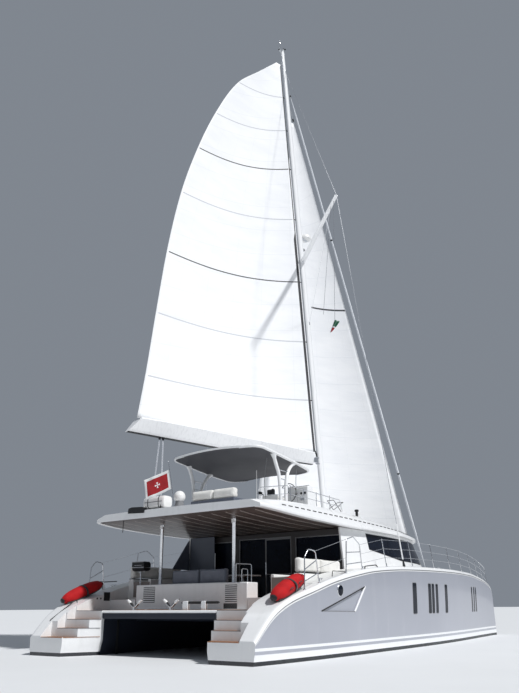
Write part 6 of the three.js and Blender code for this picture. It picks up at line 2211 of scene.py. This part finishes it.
# mast gear
rig = {
    "spreader": {"root": 16.58, "tip": (3.3, -3.1, 17.75), "wide": (0.19, 0.11), "thick": (0.05, 0.026)},
    "shroud": {"head": (0.06, 27.3), "plate": (4.56, -1.95, 2.6)},
    # drum: distance along the stay and radius
    "inner": {"tack": (0, 10.32, 2.62), "mastZ": 25.8,
              "drum": [(-0.1, 0.012), (0.14, 0.012), (0.15, 0.03), (0.185, 0.03), (0.19, 0.117),
                       (0.21, 0.12), (0.215, 0.08), (0.385, 0.08), (0.39, 0.12), (0.41, 0.117),
                       (0.415, 0.03), (0.5, 0.024), (0.52, 0.0165)]},
    "outer": {"tack": (0, 11.6, 2.62), "mastZ": 26.98,
              "drum": [(-0.1, 0.012), (0.15, 0.012), (0.16, 0.03), (0.17, 0.098), (0.19, 0.1), (0.2, 0.07),
                       (0.32, 0.07), (0.33, 0.1), (0.35, 0.098), (0.36, 0.03), (0.46, 0.014)],
              "roll": (0.48, 0.95), "ties": [(0.0, 0.03), (0.212, 0.058), (0.703, 0.05), (0.997, 0.03)]},
    "radar": {"z": 18.0, "radius": 0.288},
    # z and size of the lamps under the radar; z of the shrouds' tangs
    "lamps": [(17.45, 0.055), (16.95, 0.045)], "tangs": [27.3, 13.6],
    # the courtesy flag: the lines' lower end, the flag's upper corner, its fall along the line, its breadth
    "flag": {"low": (2.56, -3.35, 12.3), "top": (2.93, -3.1, 12.05), "fall": (0.22, 0, 0.46), "wide": 0.26,
             "flat": (0.5, 0.36)},
}


def onPin(distance):
    return pin + rakeAxis * distance


def spreaderLine():
    # root, tip and direction of the starboard spreader
    s = rig["spreader"]
    root, tip = Vector((0, mastY(s["root"]), s["root"])), Vector(s["tip"])
    return root, tip, (tip - root).normalized()


def makeSpreaders():
    s = rig["spreader"]
    root, tip, along = spreaderLine()
    up = Vector((0, 0, 1)) - along * along.z
    up.normalize()
    deep = along.cross(up)
    rows = []
    for t in spread(0.02, 1, 14):
        wide, thick = (a + (b - a) * t for a, b in (s["wide"], s["thick"]))
        rows.append([root.lerp(tip, t) + deep * wide / 2 * 1.4 * cos(k) + up * thick * sin(k)
                     for k in turns(20)])
    shape = Shape().grid(rows, spar, ring=True, caps=True)
    shape.ball(tip, (0.034, 0.034, 0.034), alloy, 16, 9)
    shape.turned(root + along * 0.09, along, [(0, 0.075), (0.02, 0.072), (0.1, 0.062), (0.16, 0.056)],
                 alloy, 20)
    pair(shape, "spreader", finish="white_spar")


def makeShrouds():
    root, tip, along = spreaderLine()
    reach = tip + along * 0.0196
    r = rig["shroud"]
    head, plate = Vector((r["head"][0], mastY(r["head"][1]), r["head"][1])), Vector(r["plate"])
    pairedPipes("capShroud", [[head, reach, plate]], 0.0088, steel, stands=["cap_shroud"], bend=0.0,
                sides=8)
    pairedPipes("diagonal", [[root.lerp(tip, 0.86), Vector((0.13, mastY(13.6), 13.6))]], 0.006, steel,
                bend=0.0, sides=6)


def makeFlagLine():
    root, tip, along = spreaderLine()
    f = rig["flag"]
    hook, low, flagTop = root.lerp(tip, 0.86), Vector(f["low"]), Vector(f["top"])
    pipes("flagLine", [[hook, low], [root.lerp(tip, 0.93), flagTop, flagTop - Vector((0.24, 0.0, 0.5))]],
          0.007, darkRope, bend=0.0, sides=6)
    rows = []
    for v in spread(0, 1, 9):
        at = flagTop - Vector(f["fall"]) * v
        wide = f["wide"] * (1 - 0.62 * v)
        rows.append([at + Vector((wide * u, -0.1 * u + 0.02 * sin(7 * u),
                                  -0.7 * wide * u + 0.015 * sin(9 * u + 4 * v)))
                     for u in spread(0.03, 1, 13)])
    bands = [flagGreen] * 4 + [flagWhite] + [flagRed] * 3
    sheetPiece("courtesyFlag", rows, lambda r, i: bands[r], "boat", (),
               0.002, uv=False)


def makeShroudFeet():
    root, tip, along = spreaderLine()
    plate = Vector(rig["shroud"]["plate"])
    span = (tip + along * 0.0196 - plate).normalized()
    ends = Shape().turned(plate + span * 0.03, span, [(0, 0.055), (0.02, 0.05), (0.16, 0.03), (0.24, 0.024),
                                                      (0.25, 0.014)], blackPlastic, 24)
    ends.turned(plate + span * 0.26, span, [(0, 0.022), (0.02, 0.024), (1.2, 0.021), (1.23, 0.012)], white,
                20)
    ends.slab([(plate.y - 0.05, 2.5), (plate.y + 0.05, 2.5), (plate.y + 0.025, 2.66),
               (plate.y - 0.025, 2.66)], plate.x - 0.012, plate.x + 0.008, steel)
    pair(ends, "shroudFoot", finish="black_fitting")
    tangs = Shape()
    for z in rig["tangs"]:
        tangs.block((0.07, mastY(z) - 0.03, z - 0.12), (0.125, mastY(z) + 0.03, z + 0.03), steel)
    pair(tangs, "tangs", finish="steel", bevel=0.008)


def makeMastGear():
    shape = Shape()
    rows = []
    for z in spread(7.3, 28.2, 30):
        y = mastY(z) - mast["halfDepth"] * mastScale(z)
        rows.append([(-0.016, y + 0.01, z), (0.016, y + 0.01, z), (0.016, y - 0.022, z),
                     (-0.016, y - 0.022, z)])
    shape.grid(rows, alloy, ring=True, caps=True)
    for z in (4.55, 4.9):
        shape.turned((0, mastY(z), z), rakeAxis, [(0, 0.19), (0.012, 0.19), (0.014, 0.17)], spar, 32)
    shape.make("mastTrack", finish="silver_spar", bevel=0.002)
    foot = Shape().turned((0, mastY(4.41), 4.405), (0, 0, 1),
                          [(0, 0.29), (0.02, 0.29), (0.03, 0.24), (0.1, 0.21), (0.11, 0.18)], alloy, 36)
    foot.make("mastFoot", finish="silver_spar")
    joint = Shape()
    for low, high in ((-0.15, -0.11), (0.11, 0.15)):
        rings = []
        for d in (low, high):
            c = onPin(d)
            rings.append([(-0.055, c.y - 0.045, c.z), (0.055, c.y - 0.045, c.z), (0.07, c.y + 0.13, c.z),
                          (-0.07, c.y + 0.13, c.z)])
        joint.grid(rings, alloy, ring=True, caps=True)
    joint.turned(onPin(-0.17), rakeAxis, [(0, 0.034), (0.018, 0.034), (0.02, 0.023), (0.32, 0.023),
                                          (0.322, 0.034), (0.34, 0.034)], steel, 20)
    joint.make("gooseneck", finish="steel", bevel=0.006)
    tongue = Shape()
    rings = []
    for d in (-0.1, 0.1):
        c = onPin(d)
        rings.append([swung(p) for p in ((-0.045, c.y + 0.04, c.z), (0.045, c.y + 0.04, c.z),
                                         (0.07, -0.3, c.z), (-0.07, -0.3, c.z))])
    tongue.grid(rings, alloy, ring=True, caps=True)
    tongue.make("boomTongue", "boom", "steel", bevel=0.008)
    top = mastY(28.5)
    crane = Shape().slab([(top - 0.38, 28.42), (top + 0.17, 28.44), (top + 0.2, 28.5), (top + 0.1, 28.54),
                          (top - 0.36, 28.5)], -0.05, 0.05, alloy)
    crane.turned((-0.03, top - 0.33, 28.43), (1, 0, 0),
                 [(0, 0.05), (0.012, 0.04), (0.048, 0.04), (0.06, 0.05)], blackPlastic, 20)
    crane.turned((0.0, top + 0.05, 28.53), (0, 0, 1),
                 [(0, 0.03), (0.06, 0.03), (0.07, 0.045), (0.14, 0.045), (0.15, 0.02)], clearPlastic, 20)
    crane.tube([(0.03, top - 0.25, 28.5), (0.03, top - 0.25, 29.18)], 0.007, steel, 8)
    crane.tube([(-0.03, top + 0.1, 28.5), (-0.03, top + 0.12, 28.9), (-0.03, top + 0.3, 28.92)], 0.008,
               blackPlastic, 8)
    crane.ball((-0.03, top + 0.3, 28.94), (0.05, 0.05, 0.02), blackPlastic, 14, 7)
    crane.make("masthead", finish="silver_spar", bevel=0.004)


def stayLine(stay):
    # the stay's foot, its direction and its length
    foot, top = Vector(stay["tack"]), Vector((0, mastY(stay["mastZ"]), stay["mastZ"]))
    return foot, (top - foot).normalized(), (top - foot).length


def makeStays():
    for name, stay, stands, paint in (("forestay", rig["inner"], ["forestay_furler"], alloy),
                                      ("codeSail", rig["outer"], ["furled_code_sail"], blackPlastic)):
        foot, ahead, length = stayLine(stay)
        rows = stay["drum"]
        drum = Shape().turned(foot, ahead, rows, paint, 36)
        end = length - 0.14
        drum.turned(foot + ahead * rows[-1][0], ahead, [(0, rows[-1][1]), (end - rows[-1][0], rows[-1][1])],
                    steel, 12)
        if name == "forestay":
            at = length * genoa["to"] + 0.1
            drum.turned(foot + ahead * at, ahead, [(0, 0.03), (0.01, 0.036), (0.14, 0.036), (0.15, 0.03)],
                        blackPlastic, 20)
        drum.make(name, finish="steel", stands=stands)
    foot, ahead, length = stayLine(rig["outer"])
    across = ahead.orthogonal().normalized()
    third = ahead.cross(across)
    start, ends = rig["outer"]["roll"]
    rows = []
    for t in spread(0, 1, 150):
        d = start + (length - ends - start) * t
        size = 0.06 - 0.022 * t
        size *= min(1.0, 0.25 + 9 * t, 0.25 + 14 * (1 - t))
        ring = []
        for a in turns(14):
            lap = 1 + 0.1 * (((a / (2 * pi) + t * 46) % 1.0) - 0.5)
            ring.append(foot + ahead * d + (across * cos(a) + third * sin(a)) * size * lap)
        rows.append(ring)
    roll = Shape().grid(rows, sailRoll, ring=True, caps=True)
    for t, size in rig["outer"]["ties"]:
        d = start + (length - ends - start) * t
        roll.turned(foot + ahead * (d - 0.04), ahead,
                    [(0, size), (0.01, size + 0.01), (0.07, size + 0.01), (0.08, size)], blackPlastic, 16)
    roll.make("furledSail", finish="sailcloth", sharp=60)


def makeRadar():
    r = rig["radar"]
    y = mastY(r["z"]) + mast["halfDepth"]
    centre = (0, y + 0.33, r["z"])
    shape = Shape().turned(centre, (0, 0, 1), [(0.0, 0.2), (0.004, 0.24), (0.02, 0.27),
                                               (0.045, r["radius"]), (0.15, r["radius"] - 0.004),
                                               (0.19, 0.26), (0.212, 0.2), (0.219, 0.1), (0.22, 0.0)],
                           warmWhite, 44)
    shape.make("radarDome", finish="white_gelcoat", stands=["mast_radar"])
    arm = Shape()
    cheek = [(y - 0.04, r["z"] - 0.055), (y + 0.5, r["z"] - 0.012), (y + 0.5, r["z"] + 0.001),
             (y - 0.04, r["z"] + 0.001)]
    for low, high in ((-0.055, -0.045), (0.045, 0.055)):
        arm.slab(cheek, low, high, alloy)
    arm.block((-0.06, y + 0.1, r["z"] - 0.006), (0.06, y + 0.52, r["z"] + 0.002), alloy)
    for z, size in rig["lamps"]:
        arm.turned((0, mastY(z) + 0.17, z), (0, 0.94, -0.34),
                   [(0, 0.03), (0.1, 0.03), (0.105, size), (0.2, size), (0.205, size - 0.01)], greyPlastic,
                   20)
    arm.make("radarArm", finish="silver_spar", bevel=0.003)


def makeBattens():
    # pockets on both faces of the mainsail, two of them near black as painted shadow lines, and along the
    # luff a near-black strip that paints the shadow in its gap to the mast
    shape, dark = Shape(), Shape()
    for k, (luffZ, leechZ) in enumerate(mainsail["battens"]):
        for face in (-1, 1):
            rows = []
            for s in spread(0.012, 0.985, 40):
                z = luffZ + (leechZ - luffZ) * s
                a, b = mainAt(s, z - 0.028), mainAt(s, z + 0.028)
                out = (mainAt(min(1, s + 0.01), z) - mainAt(s, z)).cross(b - a).normalized() * face
                rows.append([a + out * 0.002, b + out * 0.002, b * 0.75 + a * 0.25 + out * 0.0075,
                             a * 0.75 + b * 0.25 + out * 0.0075])
            # the listed battens are painted near black as shadow lines
            darkShadowBattens = k in mainsail["darkShadowBattens"]
            (dark if darkShadowBattens else shape).grid(rows, shadowAndStripeGrey if darkShadowBattens else sailSeam, ring=True, caps=True)
    shape.make("battenPockets", "boom", "sailcloth", sharp=60)
    rows = []
    # a near-black strip along the luff: the painted shadow of the gap to the mast
    for z in spread(7.62, 27.4, 60):
        a, b = mainAt(0.0, z), mainAt(min(1.0, (0.1 if z < 17.7 else 0.035) / mainChord(z)), z)
        off = (mainAt(min(1.0, 0.1 / mainChord(z)), z) - a).cross(Vector((0, 0, 1))).normalized() * 0.012
        rows.append([a + off, b + off * 0.6, b - off * 0.6, a - off])
    dark.grid(rows, shadowAndStripeGrey, ring=True, caps=True)
    for luffZ, leechZ in mainsail["battens"]:
        a = mainAt(0.0, luffZ)
        car = swung((0, mastY(luffZ) - 0.235, luffZ))
        dark.tube([a, a.lerp(car, 0.5), car], [0.018, 0.024, 0.018], blackPlastic, 10)
    dark.tube([mainAt(0.0, 7.66), swung((0, mastY(7.5) - 0.26, 7.5)), swung((0, mastY(7.4) - 0.24, 7.34))],
              [0.03, 0.035, 0.03], blackPlastic, 12)
    dark.make("luffEdge", "boom", "black_fitting", sharp=60)


def makeStripe():
    # the dark draft stripe on both faces of the headsail
    g = genoa["stripe"]
    stripe = Shape()
    for face in (-1, 1):
        rows = []
        for s in spread(g["from"], g["to"], 24):
            h = g["luff"] - g["fall"] * s
            a, b = genoaAt(s, h - g["half"]), genoaAt(s, h + g["half"])
            out = (genoaAt(s + 0.01, h) - genoaAt(s, h)).cross(b - a).normalized() * face
            rows.append([a + out * 0.002, b + out * 0.002, b + out * 0.0048, a + out * 0.0048])
        stripe.grid(rows, shadowAndStripeGrey, ring=True, caps=True)
    stripe.make("genoaStripe", finish="sailcloth", sharp=60)


def makeBoomGear():
    ends = Shape()
    rows = []
    for y in (-8.93, -9.02):
        rows.append([swung((x, y - (0.02 if z < 7.3 else 0), z))
                     for x, z in ((-0.06, 7.02), (0.06, 7.02), (0.19, 7.42), (0.17, 7.5), (-0.17, 7.5),
                                  (-0.19, 7.42))])
    ends.grid(rows, alloy, ring=True, caps=True)
    for x in (-0.06, 0.06):
        ends.ball(swung((x, -9.0, 7.36)), (0.035, 0.035, 0.05), blackPlastic, 14, 8)
    for y in (-7.9, -8.05):
        ends.ball(swung((0, y, 6.96)), (0.04, 0.05, 0.05), blackPlastic, 14, 8)
    ends.make("boomEnd", "boom", "black_fitting", bevel=0.006)
    blocks = Shape()
    feet = [(-1.62, -8.3), (-1.2, -8.3)]
    for x, y in feet:
        z = roofAt(y, abs(x))
        blocks.turned((x, y, z - 0.01), (0, 0, 1), [(0, 0.05), (0.02, 0.05), (0.03, 0.02), (0.05, 0.02)],
                      steel, 18)
        blocks.ball((x, y, z + 0.09), (0.03, 0.045, 0.055), blackPlastic, 16, 9)
    blocks.make("sheetBlocks", finish="black_fitting")
    for k, ((x, y), at) in enumerate(zip(feet, (-8.05, -7.9))):
        low, high = Vector((x, y, roofAt(y, abs(x)) + 0.12)), swung((0, at, 6.92))
        for j, d in enumerate((-0.02, 0.02)):
            a, b = low + Vector((0, d, 0)), high + Vector((0, d, 0))
            path = [a.lerp(b, t) for t in spread(0, 1, 12)]
            made = grown(pipeTree, wires([path]), "mainsheet%d%d" % (k, j), Radius=0.008, Bend=0.0, Sides=8,
                         Paint=whiteRope.material)
            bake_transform(made)


makeSpreaders()
makeShrouds()
makeFlagLine()
makeShroudFeet()
makeMastGear()
makeStays()
makeRadar()
makeBattens()
makeStripe()
makeBoomGear()
print("rig made")

# deck and roof fittings
fittings = {
    "cleats": [-7.3, -4.6, 2.2, 8.6], "deckHatches": [(3.75, 1.55), (3.72, 3.6), (3.62, 5.4)],
    "winches": [(1.1, -3.0), (-1.1, -3.0), (2.55, -3.05)],
    "dashes": {"from": -7.9, "to": 1.9, "count": 29, "share": 0.45},
    "frame": {"x": (2.75, 3.0), "feet": (-4.15, -3.41), "tops": (-4.0, -3.31), "rise": 0.4},
    "lamp": (3.18, -2.64),
    # a pouch on the roof's aft edge, its outline and the cord below it; aerials: x, y, height
    "pouch": [(-1.92, 4.24), (-1.2, 4.21), (-1.17, 4.36), (-1.3, 4.41), (-1.75, 4.43), (-1.9, 4.4)],
    "pouchY": (-9.09, -8.93), "cord": [(-2.2, -8.98, 4.05), (-2.2, -8.98, 3.9), (-2.21, -8.98, 3.66)],
    "aerials": [(-2.3, -7.9, 1.15), (2.35, -7.75, 1.0)],
}


def makeDeckGear():
    f = fittings
    shape = Shape()
    for y in f["cleats"]:
        x, z = sheerX(y) - 0.3, sheerZ(y)
        for d in (-0.05, 0.05):
            shape.turned((x, y + d, z - 0.01), (0, 0, 1),
                         [(0, 0.022), (0.012, 0.02), (0.02, 0.012), (0.06, 0.012)], steel, 12)
        shape.tube([(x, y - 0.15, z + 0.058), (x, y - 0.08, z + 0.05), (x, y + 0.08, z + 0.05),
                    (x, y + 0.15, z + 0.058)], [0.006, 0.013, 0.013, 0.006], steel, 10)
    pair(shape, "cleats", finish="steel")
    panes = Shape()
    for x, y in f["deckHatches"]:
        z = sheerZ(y)
        frameAround(panes, x - 0.25, x + 0.25, y - 0.25, y + 0.25, z - 0.01, z + 0.022, 0.035, alloy,
                    flat=True)
        panes.block((x - 0.216, y - 0.216, z - 0.01), (x + 0.216, y + 0.216, z + 0.016), glass)
    pair(panes, "deckHatches", finish="tinted_glass", bevel=0.004)


def makeRoofGear():
    f = fittings
    winches = Shape()
    for x, y in f["winches"]:
        z = roofAt(y, abs(x))
        winches.turned((x, y, z - 0.02), (0, 0, 1),
                       [(0, 0.1), (0.03, 0.1), (0.035, 0.08), (0.06, 0.07), (0.12, 0.062), (0.17, 0.075),
                        (0.18, 0.085), (0.2, 0.085), (0.205, 0.05)],
                       steel, 30)
    winches.make("winches", finish="steel")
    d = f["dashes"]
    unit = Shape().turned((0, 0, -0.1), (0, 0, 1),
                          [(0, 0.008), (0.006, 0.019), (0.194, 0.019), (0.2, 0.008)], blackPlastic, 8)
    for label, side, tail in bothSides:
        path = []
        for y in spread(d["from"], d["to"], 40):
            x = roofHalf(y) - 0.012 - (roof["shoulder"] - 0.06) * d["share"]
            low = roofUnder(y) + roof["lip"]
            path.append((side * x, y, low + (roofTop(y) - 0.045 - low) * d["share"] + 0.004))
        repeated("roofVents" + label, unit, path, d["count"], blackPlastic)
    c = f["frame"]
    paths = []
    for x in c["x"]:
        z0, z1 = roofAt(c["feet"][0], x), roofAt(c["feet"][0], x) + c["rise"]
        paths += [[(x, c["feet"][0], z0), (x, c["tops"][1], z1)],
                  [(x, c["feet"][1], z0), (x, c["tops"][0], z1)]]
    for y in c["tops"]:
        paths.append([(c["x"][0], y, z1), (c["x"][1], y, z1)])
    pipes("foldedStand", paths, 0.011, blackPlastic, bend=0.0)
    x, y = f["lamp"]
    lamp = Shape().turned((x, y, roofAt(y, x) - 0.03), (0, 0, 1),
                          [(0, 0.07), (0.02, 0.07), (0.03, 0.05), (0.2, 0.05), (0.21, 0.075), (0.27, 0.075),
                           (0.28, 0.05)], blackPlastic, 24)
    lamp.make("roofLamp", finish="black_fitting")
    dark = Shape().slab(f["pouch"], *f["pouchY"], blackPlastic, "y")
    dark.tube(f["cord"], 0.012, blackPlastic, 8)
    dark.make("roofPouch", finish="black_fitting", bevel=0.015)
    aerials = Shape()
    for x, y, tall in f["aerials"]:
        z = roofAt(y, abs(x))
        aerials.turned((x, y, z - 0.01), (0, 0, 1), [(0, 0.03), (0.02, 0.03), (0.03, 0.014), (0.12, 0.012),
                                                     (0.13, 0.006), (tall, 0.004)], warmWhite, 12)
    aerials.make("aerials", finish="white_gelcoat")


makeDeckGear()
makeRoofGear()
print("fittings made")

# floor and light
stage = {"reach": 400, "sun": 3.4, "softness": radians(3), "aim": (-0.62, 0.034, -0.785),
         "sky": (0.72, 0.8, 0.92), "skyLight": 0.3}


def makeStage():
    far = stage["reach"]
    floorPaint = Paint("floorPaint", Roughness=0.75)
    cloud = floorPaint.noise(floorPaint.place(), 0.4, 3)
    floorPaint.set(Base_Color=floorPaint.mix(cloud, rgb(0.74, 0.75, 0.76), rgb(0.7, 0.71, 0.72)))
    corners = [(-far, -far, 0), (far, -far, 0), (far, far, 0), (-far, far, 0)]
    made = Shape().add(corners, [(0, 1, 2, 3)], floorPaint).make("floor", body=None)
    light = bpy.data.lights.new("sun", "SUN")
    light.energy, light.angle = stage["sun"], stage["softness"]
    lamp = bpy.data.objects.new("sun", light)
    lamp.matrix_world = Vector(stage["aim"]).to_track_quat("-Z", "Y").to_matrix().to_4x4()
    bpy.context.scene.collection.objects.link(lamp)
    world = bpy.data.worlds.new("sky")
    world.use_nodes = True
    background = world.node_tree.nodes["Background"]
    background.inputs["Color"].default_value = rgb(*stage["sky"])
    background.inputs["Strength"].default_value = stage["skyLight"]
    bpy.context.scene.world = world
    bpy.context.scene.view_settings.view_transform = "Standard"


settleCushions()
print("cushions settled")
makeStage()
